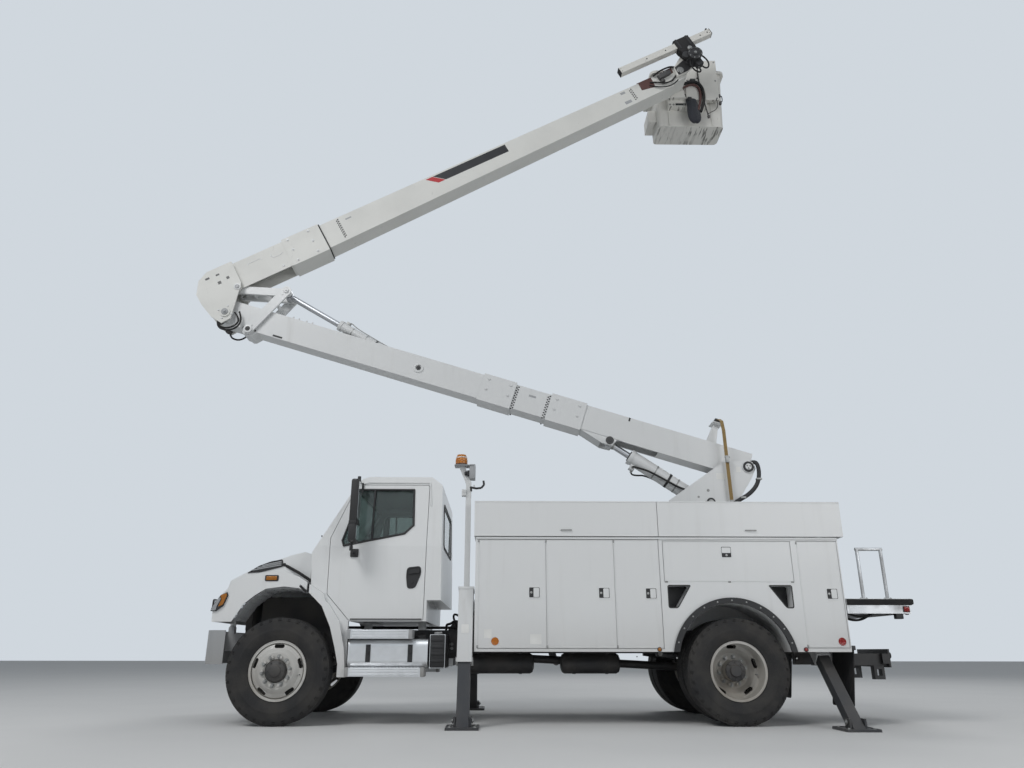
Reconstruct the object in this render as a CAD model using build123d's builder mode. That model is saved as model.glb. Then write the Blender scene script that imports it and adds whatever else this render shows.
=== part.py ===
"""Utility truck with an articulated bucket boom, outriggers down and the boom raised.

Millimetres. X runs rearwards, -Y is the truck's left, Z is up, and the origin is on the
ground at the middle of the whole machine. Stations are given behind the front axle.
"""
import os
from math import atan2, cos, degrees, hypot, radians, sin, tan

from build123d import *

os.makedirs("parts", exist_ok=True)

# Running gear
FRONT_AXLE_X = -2490
WHEELBASE = 4832
AXLE_Z = 535
TYRE_R = 535
TYRE_W = 290
RIM_FLANGE_R = 298.5
RIM_WALL = 9
RIM_HALF_W = 112
BEAD_R = 286
DISC_OFFSET = 162
FRONT_WHEEL_Y = 1025
REAR_OUTER_WHEEL_Y = 1055
HUB_R = 108
BOLT_CIRCLE_R = 143
WHEEL_BORE_R = 36
SPINDLE_FIT = 0.3
KINGPIN_Y = 845
KINGPIN_R = 20
BEAM_W = 90

# Frame rails
RAIL_BOTTOM = 710
RAIL_TOP = 960
RAIL_Y = 430
RAIL_FLANGE = 80
RAIL_WALL = 9
RAIL_FRONT = -600

# Clearances
MOVING_GAP = 6
SEAT_GAP = 0.3

# Cab
CAB_HALF_W = 1020
ROOF_HALF_W = 930
BELT_Z = 1840
CAB_WALL = 45
ROOF_Z = 2640
CAB_BACK = 1672
COWL_X = 228
COWL_Z = 1767

# Hood
HOOD_HALF_W = 1100
HOOD_WALL = 14
HOOD_PIVOT_X = -770
HOOD_PIVOT_Z = 985

# Service body
BODY_FRONT = 2052
BODY_REAR = WHEELBASE + 1198
BODY_HALF_W = 1220
PACK_DEPTH = 560
PACK_BOTTOM = 726
PACK_TOP = 1917
PACK_WALL = 20
DOOR_T = 22
LID_TOP = 2310
LID_WALL = 12
LID_SPLIT = WHEELBASE - 775
ARCH_R = 600
FLARE_W = 59
ARCH_Z = 617
ARCH_FORWARD = 32
DECK_TOP = 1269
DECK_T = 20
TAIL_REAR = BODY_REAR + 724
RAIL_REAR = BODY_REAR + 309
HITCH_REAR = BODY_REAR + 788

# Boom turret
TURRET_X = WHEELBASE + 68
BEARING_Z = 2350
BEARING_R = 400
SPIGOT_R = 150
TURRET_PLATE_IN = 205
TURRET_PLATE_T = 25
BOOM_PIVOT = (TURRET_X + 556, 2941)
LIFT_BASE = (TURRET_X + 50, 2490)

# Booms
LOWER_LENGTH = 7191
LOWER_ANGLE = 17.1
LOWER_TOP = 215
LOWER_BOTTOM = -125
LOWER_HALF_W = 140
BOOM_WALL = 12
COLLAR_T = 18
UPPER_ANGLE = 28.5
UPPER_HALF_W = 150
ELBOW_PLATE_IN = 198
ELBOW_PLATE_T = 20


def behind(station):
    """X of a station given behind the front axle."""
    return FRONT_AXLE_X + station


def save(piece, name):
    """Labels a finished piece and writes it."""
    piece.label = name
    export_step(piece, f"parts/{name}.step")


def face_on(plane, points):
    """Flat face with this closed outline."""
    with BuildSketch(plane) as drawn:
        with BuildLine():
            Polyline(*points, close=True)
        make_face()
    return drawn.sketch


def side_slab(points, y_low, y_high, mode=Mode.ADD):
    """Side outline of stations and heights, extruded across the truck."""
    moved = [(behind(x), z) for x, z in points]
    extrude(face_on(Plane.XZ.offset(-y_high), moved), amount=y_high - y_low, mode=mode)


def cross_slab(points, x_low, x_high, mode=Mode.ADD):
    """Outline of widths and heights, extruded along the truck between two stations."""
    extrude(face_on(Plane.YZ.offset(behind(x_low)), points), amount=x_high - x_low, mode=mode)


def block(x, y, z, mode=Mode.ADD):
    """Block between pairs of stations, widths and heights."""
    middle = ((behind(x[0]) + behind(x[1])) / 2, (y[0] + y[1]) / 2, (z[0] + z[1]) / 2)
    with Locations(middle):
        Box(x[1] - x[0], y[1] - y[0], z[1] - z[0], mode=mode)


def rod(start, end, radius, mode=Mode.ADD):
    """Round bar between two points of the row frame."""
    way = Vector(*end) - Vector(*start)
    with Locations(Plane(origin=start, z_dir=way)):
        Cylinder(radius, way.length, align=(Align.CENTER, Align.CENTER, Align.MIN), mode=mode)


def cross_pin(x, z, y_low, y_high, radius, mode=Mode.ADD):
    """Round bar across the truck at a station and height."""
    rod((behind(x), y_low, z), (behind(x), y_high, z), radius, mode=mode)


def mirrored(piece):
    """The same piece on the other side of the truck."""
    with BuildPart() as other:
        add(piece.mirror(Plane.XZ))
    return other.part


def turned(profile, x, wheel_y):
    """Ring of (outward, radius) points, revolved about a wheel axis on the left side."""
    plane = Plane(origin=(x, -wheel_y, AXLE_Z), x_dir=(0, -1, 0), z_dir=(1, 0, 0))
    revolve(face_on(plane, profile), axis=Axis((x, -wheel_y, AXLE_Z), (0, 1, 0)))


# Tyre section as (outward, radius), from bead to bead
TYRE_SHAPE = [
    (0.36, BEAD_R + SEAT_GAP), (0.36, RIM_FLANGE_R + 8), (0.45, RIM_FLANGE_R + 45),
    (0.5, RIM_FLANGE_R + 110), (0.47, TYRE_R - 45), (0.40, TYRE_R - 9), (0.34, TYRE_R),
]
TYRE_SECTION = [(w * TYRE_W, r) for w, r in TYRE_SHAPE]
TYRE_SECTION += [(-w, r) for w, r in reversed(TYRE_SECTION)]

# Wheel: barrel between flanges, then the dished disc that meets the hub
RIM_INNER_R = BEAD_R - RIM_WALL
RIM_BEAD_W = 0.36 * TYRE_W + 1
RIM_SECTION = [
    (-RIM_BEAD_W, RIM_FLANGE_R), (-RIM_HALF_W, RIM_FLANGE_R), (-RIM_HALF_W, RIM_INNER_R),
    (RIM_HALF_W, RIM_INNER_R), (RIM_HALF_W, RIM_FLANGE_R), (RIM_BEAD_W, RIM_FLANGE_R),
    (RIM_BEAD_W, BEAD_R), (-RIM_BEAD_W, BEAD_R),
]
DISC_T = 11
DISC_BORE_R = 80
DISC_OUTSIDE = [
    (DISC_OFFSET, DISC_BORE_R), (DISC_OFFSET, 182), (DISC_OFFSET - 14, 200),
    (DISC_OFFSET - 40, 228), (DISC_OFFSET - 56, 262), (DISC_OFFSET - 90, RIM_INNER_R + 3),
]
DISC_SECTION = DISC_OUTSIDE + [(w - DISC_T, r) for w, r in reversed(DISC_OUTSIDE)]
HAND_HOLE_R = 244
HAND_HOLES = 5


def wheel(x, wheel_y, outward):
    """One disc wheel; outward is 1 for a disc that bulges out and -1 for a deep dish."""
    with BuildPart() as made:
        turned(RIM_SECTION, x, wheel_y)
        turned([(outward * w, r) for w, r in DISC_SECTION], x, wheel_y)
        with BuildSketch(Plane.XZ.offset(wheel_y - 2 * DISC_OFFSET)) as holes:
            with Locations((x, AXLE_Z)):
                with PolarLocations(HAND_HOLE_R, HAND_HOLES, start_angle=90):
                    SlotOverall(106, 38, rotation=90)
        extrude(amount=4 * DISC_OFFSET, mode=Mode.SUBTRACT)
    return made.part


def tyre(x, wheel_y):
    """One tyre on the left side."""
    with BuildPart() as made:
        turned(TYRE_SECTION, x, wheel_y)
    return made.part


SPINDLE_R = WHEEL_BORE_R - SPINDLE_FIT
FRONT_X = FRONT_AXLE_X
REAR_X = behind(WHEELBASE)
FRONT_HUB = [
    (-104, WHEEL_BORE_R), (-104, 205), (-10, 205), (10, 120), (DISC_OFFSET + 20, HUB_R),
    (DISC_OFFSET + 34, HUB_R - 12), (DISC_OFFSET + 46, 60), (DISC_OFFSET + 46, 0),
    (DISC_OFFSET - 30, 0), (DISC_OFFSET - 30, WHEEL_BORE_R),
]
with BuildPart() as front_wheel:
    add(wheel(FRONT_X, FRONT_WHEEL_Y, 1))
    turned(FRONT_HUB, FRONT_X, FRONT_WHEEL_Y)
    with BuildSketch(Plane.XZ.offset(FRONT_WHEEL_Y + DISC_OFFSET)) as front_nuts:
        with Locations((FRONT_X, AXLE_Z)):
            with PolarLocations(BOLT_CIRCLE_R, 10):
                RegularPolygon(17, 6)
    extrude(amount=26)

# Rear duals share one hub; their discs meet midway between the tyres
DUAL_SPACING = 2 * DISC_OFFSET
REAR_INNER_WHEEL_Y = REAR_OUTER_WHEEL_Y - DUAL_SPACING
REAR_HUB = [
    (-DISC_OFFSET - 210, WHEEL_BORE_R + 12), (-DISC_OFFSET - 210, 205), (-DISC_OFFSET - 40, 205),
    (-DISC_OFFSET - 20, 130), (-DISC_OFFSET + 20, HUB_R), (-DISC_OFFSET + 130, 88),
    (-DISC_OFFSET + 135, 104), (-DISC_OFFSET + 152, 104), (-DISC_OFFSET + 165, 62),
    (-DISC_OFFSET + 180, 55), (-DISC_OFFSET + 180, 0), (-DISC_OFFSET + 60, 0),
    (-DISC_OFFSET + 60, WHEEL_BORE_R + 12),
]
with BuildPart() as rear_wheel:
    add(wheel(REAR_X, REAR_OUTER_WHEEL_Y, -1))
    add(wheel(REAR_X, REAR_INNER_WHEEL_Y, 1))
    turned(REAR_HUB, REAR_X, REAR_OUTER_WHEEL_Y)
    with BuildSketch(Plane.XZ.offset(REAR_OUTER_WHEEL_Y - DISC_OFFSET + DISC_T)) as rear_nuts:
        with Locations((REAR_X, AXLE_Z)):
            with PolarLocations(BOLT_CIRCLE_R, 10):
                RegularPolygon(17, 6)
    extrude(amount=26)

with BuildPart() as rear_tyres:
    add(tyre(REAR_X, REAR_OUTER_WHEEL_Y))
    add(tyre(REAR_X, REAR_INNER_WHEEL_Y))
front_tyre = tyre(FRONT_X, FRONT_WHEEL_Y)

for side, place in (("left", lambda piece: piece), ("right", mirrored)):
    save(place(front_wheel.part), f"wheel_front_{side}")
    save(place(front_tyre), f"tyre_front_{side}")
    save(place(rear_wheel.part), f"wheels_rear_{side}")
    save(place(rear_tyres.part), f"tyres_rear_{side}")

# Steering knuckle: two lugs round the beam's eye, kingpin, web and spindle
EYE_R = 42
EYE_HALF_H = 62
LUG_T = 34
WEB_Y = KINGPIN_Y + EYE_R + 10
with BuildPart() as knuckle:
    for low in (AXLE_Z + EYE_HALF_H + SEAT_GAP, AXLE_Z - EYE_HALF_H - SEAT_GAP - LUG_T):
        with BuildSketch(Plane.XY.offset(low)) as lug:
            with Locations((FRONT_X, -KINGPIN_Y)):
                Circle(EYE_R)
            with Locations((FRONT_X, -(KINGPIN_Y + WEB_Y) / 2)):
                Rectangle(1.6 * EYE_R, WEB_Y - KINGPIN_Y)
        extrude(amount=LUG_T)
    reach = EYE_HALF_H + SEAT_GAP + LUG_T
    block((-40, 40), (-WEB_Y - 18, -WEB_Y), (AXLE_Z - reach, AXLE_Z + reach))
    rod((FRONT_X, -KINGPIN_Y, AXLE_Z - reach), (FRONT_X, -KINGPIN_Y, AXLE_Z + reach), KINGPIN_R)
    spindle_end = -FRONT_WHEEL_Y - DISC_OFFSET + 36
    rod((FRONT_X, -WEB_Y, AXLE_Z), (FRONT_X, spindle_end, AXLE_Z), SPINDLE_R)
save(knuckle.part, "knuckle_left")
save(mirrored(knuckle.part), "knuckle_right")

# Axles, leaf springs and drive shaft
SPRING_HALF_W = 38
BEAM_DROP = 95
with BuildPart() as axles:
    beam = [
        (-KINGPIN_Y + 20, AXLE_Z + 35), (-KINGPIN_Y + 130, AXLE_Z + 30),
        (-RAIL_Y - 60, AXLE_Z - BEAM_DROP + 60), (RAIL_Y + 60, AXLE_Z - BEAM_DROP + 60),
        (KINGPIN_Y - 130, AXLE_Z + 30), (KINGPIN_Y - 20, AXLE_Z + 35),
        (KINGPIN_Y - 20, AXLE_Z - 35), (KINGPIN_Y - 140, AXLE_Z - 60),
        (RAIL_Y + 40, AXLE_Z - BEAM_DROP - 45), (-RAIL_Y - 40, AXLE_Z - BEAM_DROP - 45),
        (-KINGPIN_Y + 140, AXLE_Z - 60), (-KINGPIN_Y + 20, AXLE_Z - 35),
    ]
    cross_slab(beam, -BEAM_W / 2, BEAM_W / 2)
    for y in (-KINGPIN_Y, KINGPIN_Y):
        eye = (FRONT_X, y, AXLE_Z - EYE_HALF_H)
        eye_top = (FRONT_X, y, AXLE_Z + EYE_HALF_H)
        rod(eye, eye_top, EYE_R)
        rod(eye, eye_top, KINGPIN_R + SEAT_GAP, mode=Mode.SUBTRACT)
    # rear housing with its round middle, tubes and spindles
    rear_end = REAR_OUTER_WHEEL_Y - DISC_OFFSET + 40
    rod((REAR_X, -rear_end, AXLE_Z), (REAR_X, rear_end, AXLE_Z), WHEEL_BORE_R + 12 - SPINDLE_FIT)
    tube_end = REAR_OUTER_WHEEL_Y - DISC_OFFSET - 225
    rod((REAR_X, -tube_end, AXLE_Z), (REAR_X, tube_end, AXLE_Z), 68)
    with BuildSketch(Plane.YZ.offset(REAR_X - 60)) as banjo:
        with Locations((0, AXLE_Z)):
            Ellipse(290, 205)
    extrude(amount=150)
    rod((REAR_X - 300, 0, AXLE_Z + 20), (REAR_X - 60, 0, AXLE_Z + 10), 110)
    rod((behind(800), 0, AXLE_Z + 210), (REAR_X - 300, 0, AXLE_Z + 20), 45)
    for y in (-RAIL_Y, RAIL_Y):
        sides = (y - SPRING_HALF_W, y + SPRING_HALF_W)
        pad_z = AXLE_Z - BEAM_DROP + 60
        front_leaf = [
            (-640, RAIL_BOTTOM - 60), (-560, RAIL_BOTTOM - 60), (-300, pad_z + 92),
            (0, pad_z + 62), (300, pad_z + 92), (560, RAIL_BOTTOM - 60),
            (640, RAIL_BOTTOM - 60), (640, RAIL_BOTTOM - 78), (300, pad_z + 50),
            (90, pad_z), (-90, pad_z), (-300, pad_z + 50), (-640, RAIL_BOTTOM - 78),
        ]
        side_slab(front_leaf, *sides)
        rear_leaf = [
            (-720, RAIL_BOTTOM - 8), (-640, RAIL_BOTTOM - 8), (0, AXLE_Z + 150),
            (640, RAIL_BOTTOM - 8), (720, RAIL_BOTTOM - 8), (720, RAIL_BOTTOM - 30),
            (110, AXLE_Z + 66), (-110, AXLE_Z + 66), (-720, RAIL_BOTTOM - 30),
        ]
        side_slab([(x + WHEELBASE, z) for x, z in rear_leaf], *sides)
save(axles.part, "axles")

# Frame rails, their cross members, spring hangers and the tow hitch
CROSS_MEMBERS = (-520, 750, 1750, 2900, 3900, WHEELBASE + 648, RAIL_REAR - 49)
PINTLE_Z = 650
PINTLE_BOLT_Y = 85.7
PINTLE_BOLT_Z = 44.5
PINTLE_HOLE_R = 6.9
with BuildPart() as chassis_frame:
    for hand in (-1, 1):
        channel = [
            (hand * RAIL_Y, RAIL_BOTTOM), (hand * RAIL_Y, RAIL_TOP),
            (hand * (RAIL_Y - RAIL_FLANGE), RAIL_TOP),
            (hand * (RAIL_Y - RAIL_FLANGE), RAIL_TOP - RAIL_WALL),
            (hand * (RAIL_Y - RAIL_WALL), RAIL_TOP - RAIL_WALL),
            (hand * (RAIL_Y - RAIL_WALL), RAIL_BOTTOM + RAIL_WALL),
            (hand * (RAIL_Y - RAIL_FLANGE), RAIL_BOTTOM + RAIL_WALL),
            (hand * (RAIL_Y - RAIL_FLANGE), RAIL_BOTTOM),
        ]
        cross_slab(channel, RAIL_FRONT, RAIL_REAR)
        sides = (hand * RAIL_Y - SPRING_HALF_W, hand * RAIL_Y + SPRING_HALF_W)
        for x in (-600, 600):
            block((x - 40, x + 40), sides, (RAIL_BOTTOM - 60, RAIL_BOTTOM))
        for x in (WHEELBASE - 680, WHEELBASE + 680):
            block((x - 40, x + 40), sides, (RAIL_BOTTOM - 8, RAIL_BOTTOM))
    inside = RAIL_Y - RAIL_WALL
    for x in CROSS_MEMBERS:
        block((x - 35, x + 35), (-inside, inside), (RAIL_BOTTOM + 40, RAIL_BOTTOM + 110))
    # hitch: two arms under the rails' tails, a cross plate and its safety feet
    for hand in (-1, 1):
        arm = (hand * 300 - 50, hand * 300 + 50)
        block((BODY_REAR - 80, HITCH_REAR - 20), arm, (580, RAIL_BOTTOM))
        foot = (hand * 300 - 45, hand * 300 + 45)
        block((HITCH_REAR - 178, HITCH_REAR - 60), foot, (430, 580))
        block((HITCH_REAR - 148, HITCH_REAR - 90), foot, (470, 540), mode=Mode.SUBTRACT)
    block((HITCH_REAR - 20, HITCH_REAR), (-400, 400), (560, 760))
    block((HITCH_REAR - 90, HITCH_REAR - 20), (-400, 400), (600, RAIL_BOTTOM))
    for y in (-PINTLE_BOLT_Y / 2, PINTLE_BOLT_Y / 2):
        for z in (PINTLE_Z - PINTLE_BOLT_Z / 2, PINTLE_Z + PINTLE_BOLT_Z / 2):
            hole = ((behind(HITCH_REAR - 91), y, z), (behind(HITCH_REAR + 1), y, z))
            rod(*hole, PINTLE_HOLE_R, mode=Mode.SUBTRACT)
save(chassis_frame.part, "chassis_frame")

# Engine and radiator, each one plain block on the rails
with BuildPart() as engine:
    block((-470, 330), (-300, 300), (RAIL_TOP - 200, 1330))
    for hand in (-1, 1):
        block((-200, 100), (hand * 365 - 65, hand * 365 + 65), (RAIL_TOP, RAIL_TOP + 60))
    block((-630, -560), (-350, 350), (RAIL_TOP, 1400))
    block((-600, -560), (-300, 300), (RAIL_BOTTOM + 110, RAIL_TOP))
save(engine.part, "engine")

# Front bumper: a curved steel channel on arms from the rails, with the hood's hinge lugs
BUMPER_Z = (600, 940)
BUMPER_NOSE = -830
BUMPER_HALF_W = HOOD_HALF_W + 20
BUMPER_T = 12
HOOD_PIN_R = 16
HOOD_ARM_Y = 360
HOOD_ARM_T = 30
HOOD_LUG_T = 16
with BuildPart() as front_bumper:
    with BuildSketch(Plane.XY.offset(BUMPER_Z[0])):
        with BuildLine():
            ends = [(behind(-590), -BUMPER_HALF_W), (behind(-590), BUMPER_HALF_W)]
            Polyline(ends[0], (behind(-700), -BUMPER_HALF_W))
            ThreePointArc((behind(-700), -BUMPER_HALF_W), (behind(-785), -BUMPER_HALF_W + 60),
                          (behind(-800), -BUMPER_HALF_W + 220))
            ThreePointArc((behind(-800), -BUMPER_HALF_W + 220), (behind(BUMPER_NOSE), 0),
                          (behind(-800), BUMPER_HALF_W - 220))
            ThreePointArc((behind(-800), BUMPER_HALF_W - 220), (behind(-785), BUMPER_HALF_W - 60),
                          (behind(-700), BUMPER_HALF_W))
            Polyline((behind(-700), BUMPER_HALF_W), ends[1])
            offset(amount=BUMPER_T, side=Side.RIGHT, closed=True)
        make_face()
    extrude(amount=BUMPER_Z[1] - BUMPER_Z[0])
    for hand in (-1, 1):
        arm = (hand * 395 - 30, hand * 395 + 30)
        block((-820, RAIL_FRONT), arm, (RAIL_BOTTOM + 20, RAIL_TOP - 40))
        beside = HOOD_ARM_T / 2 + MOVING_GAP
        for inner in (HOOD_ARM_Y - beside - HOOD_LUG_T, HOOD_ARM_Y + beside):
            edges = sorted((hand * inner, hand * (inner + HOOD_LUG_T)))
            lug = [(-806, 900), (-740, 900), (-740, 985), (-755, 1010), (-785, 1010), (-806, 985)]
            side_slab(lug, *edges)
        pin = sorted((hand * (HOOD_ARM_Y - 40), hand * (HOOD_ARM_Y + 40)))
        cross_pin(HOOD_PIVOT_X, HOOD_PIVOT_Z, *pin, HOOD_PIN_R)
        block((-806, -740), sorted((hand * 310, hand * 425)), (860, 900))
save(front_bumper.part, "front_bumper")

# Cab: one hollow shell from a side outline and a front outline
CAB_SIDE = [
    (COWL_X, COWL_Z), (674, 2566), (720, ROOF_Z - 30), (800, ROOF_Z), (1530, ROOF_Z),
    (1650, 2545), (CAB_BACK, 1257), (1520, 1257), (1520, 1037), (679, 1037), (432, 1311),
    (246, 1421),
]


def front_form(inset):
    """The cab's front outline along its whole length, its walls moved in by an inset."""
    with BuildPart() as form:
        with BuildSketch(Plane.YZ.offset(behind(0))):
            with BuildLine():
                right = [(CAB_HALF_W, 1000), (CAB_HALF_W, BELT_Z), (ROOF_HALF_W, ROOF_Z)]
                left = [(-y, z) for y, z in reversed(right)]
                Polyline(*right, *left, close=True)
            make_face()
            if inset:
                offset(amount=-inset, kind=Kind.INTERSECTION)
            tops = [v for v in vertices() if v.Z > ROOF_Z - 2 * CAB_WALL]
            fillet(tops, 110 - inset)
        extrude(amount=CAB_BACK + 50)
    return form.part


def cab_form(inset):
    """The cab's solid, its walls moved in by an inset."""
    with BuildPart() as form:
        with BuildSketch(Plane.XZ.offset(-CAB_HALF_W)):
            with BuildLine():
                Polyline(*[(behind(x), z) for x, z in CAB_SIDE], close=True)
            make_face()
            if inset:
                offset(amount=-inset, kind=Kind.INTERSECTION)
        extrude(amount=2 * CAB_HALF_W)
        add(front_form(inset), mode=Mode.INTERSECT)
    return form.part


DOOR_EDGE = [
    (659, 2507), (424, 1929), (432, 1320), (685, 1048), (1484, 1048), (1500, 2540), (690, 2540),
]
DOOR_WINDOW = [
    (734, 2480), (1320, 2480), (1334, 2080), (1240, 1986), (575, 1850), (562, 1900),
]


# windscreen edge across the truck and up its slope, and the rear window
SCREEN_EDGE = [(-930, 60), (930, 60), (850, 850), (-850, 850)]
SCREEN_CORNER_R = 70
REAR_WINDOW = (1300, 480)
REAR_WINDOW_R = 80
REAR_WINDOW_Z = 2120
CAB_FLOOR_Z = 1082
MIRROR_Y = CAB_HALF_W + 220
MIRROR_X = 715
MIRROR_Z = (1850, 2530)
MIRROR_TUBE_R = 12


def moved_outline(points, grow):
    """Side outline of stations grown or shrunk by an amount, as a flat face."""
    with BuildSketch(Plane.XZ) as drawn:
        with BuildLine():
            Polyline(*[(behind(x), z) for x, z in points], close=True)
        make_face()
        fillet(vertices(), 22)
        if grow:
            offset(amount=grow, kind=Kind.INTERSECTION)
    return drawn.sketch


cab_outside = cab_form(0)
cab_inside = cab_form(CAB_WALL)
cab_core = front_form(CAB_WALL)
with BuildPart() as door_openings:
    extrude(moved_outline(DOOR_EDGE, MOVING_GAP), amount=1.2 * CAB_HALF_W, both=True)
    add(cab_core, mode=Mode.SUBTRACT)
QUARTER_BASE = [
    (246, 1421), (432, 1311), (679, 1037), (696, 472), (612, 472), (612, 600), (572, 760),
    (505, 976), (400, 1190), (250, 1330),
]
QUARTER_BAND = [
    (250, 1418), (408, 1320), (434, 1245), (474, 1212), (600, 1030), (668, 760), (696, 472),
    (612, 472), (612, 600), (572, 760), (505, 976), (400, 1190), (250, 1330),
]
with BuildPart() as cab_shell:
    add(cab_outside)
    add(cab_inside, mode=Mode.SUBTRACT)
    add(door_openings.part, mode=Mode.SUBTRACT)
    # windscreen and rear window openings
    slope = atan2(2566 - COWL_Z, 674 - COWL_X)
    screen = Plane(
        origin=(behind(COWL_X), 0, COWL_Z), x_dir=(0, -1, 0), z_dir=(-sin(slope), 0, cos(slope))
    )
    with BuildSketch(screen) as screen_hole:
        with BuildLine():
            Polyline(*SCREEN_EDGE, close=True)
        make_face()
        fillet(vertices(), SCREEN_CORNER_R)
    extrude(amount=-CAB_WALL * 1.8, mode=Mode.SUBTRACT)
    with BuildSketch(Plane.YZ.offset(behind(CAB_BACK - 120))) as rear_hole:
        with Locations((0, REAR_WINDOW_Z)):
            RectangleRounded(*REAR_WINDOW, REAR_WINDOW_R)
    extrude(amount=200, mode=Mode.SUBTRACT)
    # sill cross member and mounts down to the rails
    for x in (760, 1380):
        block((x, x + 90), (-RAIL_Y, RAIL_Y), (RAIL_TOP, 1060))
    # quarter fenders behind the front wheels
    for hand in (-1, 1):
        side_slab(QUARTER_BASE, *sorted((hand * 960, hand * 1018)))
        side_slab(QUARTER_BAND, *sorted((hand * 1018, hand * HOOD_HALF_W)))
save(cab_shell.part, "cab_shell")

# Cab door: the same wall inside the door's edge, with its window cut
with BuildPart() as cab_door:
    extrude(moved_outline(DOOR_EDGE, 0), amount=1.2 * CAB_HALF_W)
    add(cab_outside, mode=Mode.INTERSECT)
    add(cab_core, mode=Mode.SUBTRACT)
    extrude(moved_outline(DOOR_WINDOW, 0), amount=1.2 * CAB_HALF_W, mode=Mode.SUBTRACT)
    # mirror head on its two arms
    foot = (behind(MIRROR_X - 25), -CAB_HALF_W + 10, 1760)
    loop_low = (behind(MIRROR_X - 15), -MIRROR_Y, 1785)
    loop_top = (behind(MIRROR_X + 25), -MIRROR_Y, MIRROR_Z[1] + 25)
    door_top = (behind(MIRROR_X), -CAB_HALF_W + 85, MIRROR_Z[1] - 10)
    for tube in ((foot, loop_low), (loop_low, loop_top), (loop_top, door_top)):
        rod(*tube, MIRROR_TUBE_R)
    for joint in (loop_low, loop_top):
        with Locations(joint):
            Sphere(MIRROR_TUBE_R)
    with BuildSketch(Plane.XY.offset(MIRROR_Z[0])) as mirror_plan:
        with Locations((behind(MIRROR_X), -MIRROR_Y)):
            RectangleRounded(70, 190, 30)
    extrude(amount=MIRROR_Z[1] - MIRROR_Z[0])
save(cab_door.part, "cab_door_left")
save(mirrored(cab_door.part), "cab_door_right")

# Cab glass: windscreen, rear window and the two door windows, each set in its opening
GLASS_T = 6
with BuildPart() as cab_glass:
    with BuildSketch(screen.offset(-CAB_WALL / 2)) as pane:
        with BuildLine():
            Polyline(*SCREEN_EDGE, close=True)
        make_face()
        fillet(vertices(), SCREEN_CORNER_R)
        offset(amount=-SEAT_GAP)
    extrude(amount=-GLASS_T)
    with BuildSketch(Plane.YZ.offset(behind(CAB_BACK - 30))) as rear_pane:
        with Locations((0, REAR_WINDOW_Z)):
            RectangleRounded(*[side - 2 * SEAT_GAP for side in REAR_WINDOW], REAR_WINDOW_R - SEAT_GAP)
    extrude(amount=GLASS_T)
save(cab_glass.part, "cab_glass")

pane_core = front_form(CAB_WALL / 2 + GLASS_T)
pane_shell = front_form(CAB_WALL / 2)
with BuildPart() as door_glass:
    extrude(moved_outline(DOOR_WINDOW, -SEAT_GAP), amount=1.2 * CAB_HALF_W)
    add(pane_shell, mode=Mode.INTERSECT)
    add(pane_core, mode=Mode.SUBTRACT)
save(door_glass.part, "door_glass_left")
save(mirrored(door_glass.part), "door_glass_right")

# Cab interior: dash, steering column and wheel; then the two seats
SEAT_Y = 500
SEAT_HALF_W = 250
with BuildPart() as dash_seat:
    block((COWL_X, 320), (-500, 500), (1470, 1690))
    add(cab_form(CAB_WALL + SEAT_GAP), mode=Mode.INTERSECT)
with BuildPart() as cab_interior:
    dash = [(300, 1460), (300, 1700), (470, 1760), (640, 1700), (660, 1520), (560, 1440)]
    side_slab(dash, -CAB_HALF_W, CAB_HALF_W)
    add(cab_form(CAB_WALL + MOVING_GAP), mode=Mode.INTERSECT)
    add(dash_seat.part)
    block((900, 1400), (-250, 250), (CAB_FLOOR_Z, 1180))
    column = [(behind(600), -SEAT_Y, 1560), (behind(780), -SEAT_Y, 1700)]
    rod(*column, 28)
    tilt = Plane(origin=column[1], z_dir=Vector(*column[1]) - Vector(*column[0]))
    with Locations(tilt):
        Torus(215, 16)
        Cylinder(60, 30)
        for spoke in (0, 120, 240):
            with Locations(Location((0, 0, 0), (0, 0, spoke))):
                with Locations((110, 0, 0)):
                    Box(215, 26, 12)
save(cab_interior.part, "cab_interior")
with BuildPart() as seats:
    for y in (-SEAT_Y, SEAT_Y):
        edges = (y - SEAT_HALF_W, y + SEAT_HALF_W)
        cushion = [(960, 1320), (970, 1450), (1420, 1420), (1500, 1420), (1530, 2180),
                   (1590, 2180), (1580, 1380), (1540, 1320)]
        side_slab(cushion, *edges)
        block((1040, 1460), (y - 160, y + 160), (CAB_FLOOR_Z, 1320))
save(seats.part, "seats")

# Hood: nose, top and sides as one shell, with the fenders' arches cut
HOOD_TOP = [
    (-790, 1030), (-800, 1200), (-785, 1400), (-760, 1490), (-560, 1590), (-383, 1660),
    (-60, 1765), (90, 1800), (222, 1762),
]
FENDER_TOP = [
    (-760, 1030), (-765, 1150), (-700, 1290), (-612, 1390), (-500, 1475), (-400, 1512),
    (-270, 1540), (-36, 1545), (120, 1500), (222, 1440),
]
HOOD_REAR = 222
HOOD_BOTTOM = 1026
ARCH_EDGE = [
    (-551, HOOD_BOTTOM - 40), (-551, 1030), (-440, 1210), (-330, 1300), (-219, 1368),
    (-20, 1393), (140, 1375), (246, 1320), (300, HOOD_BOTTOM - 40),
]
GRILLE = (900, 330)
GRILLE_R = 60
GRILLE_Z = 1250
HOOD_NARROW = 640
HOOD_WIDE = 800


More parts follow.
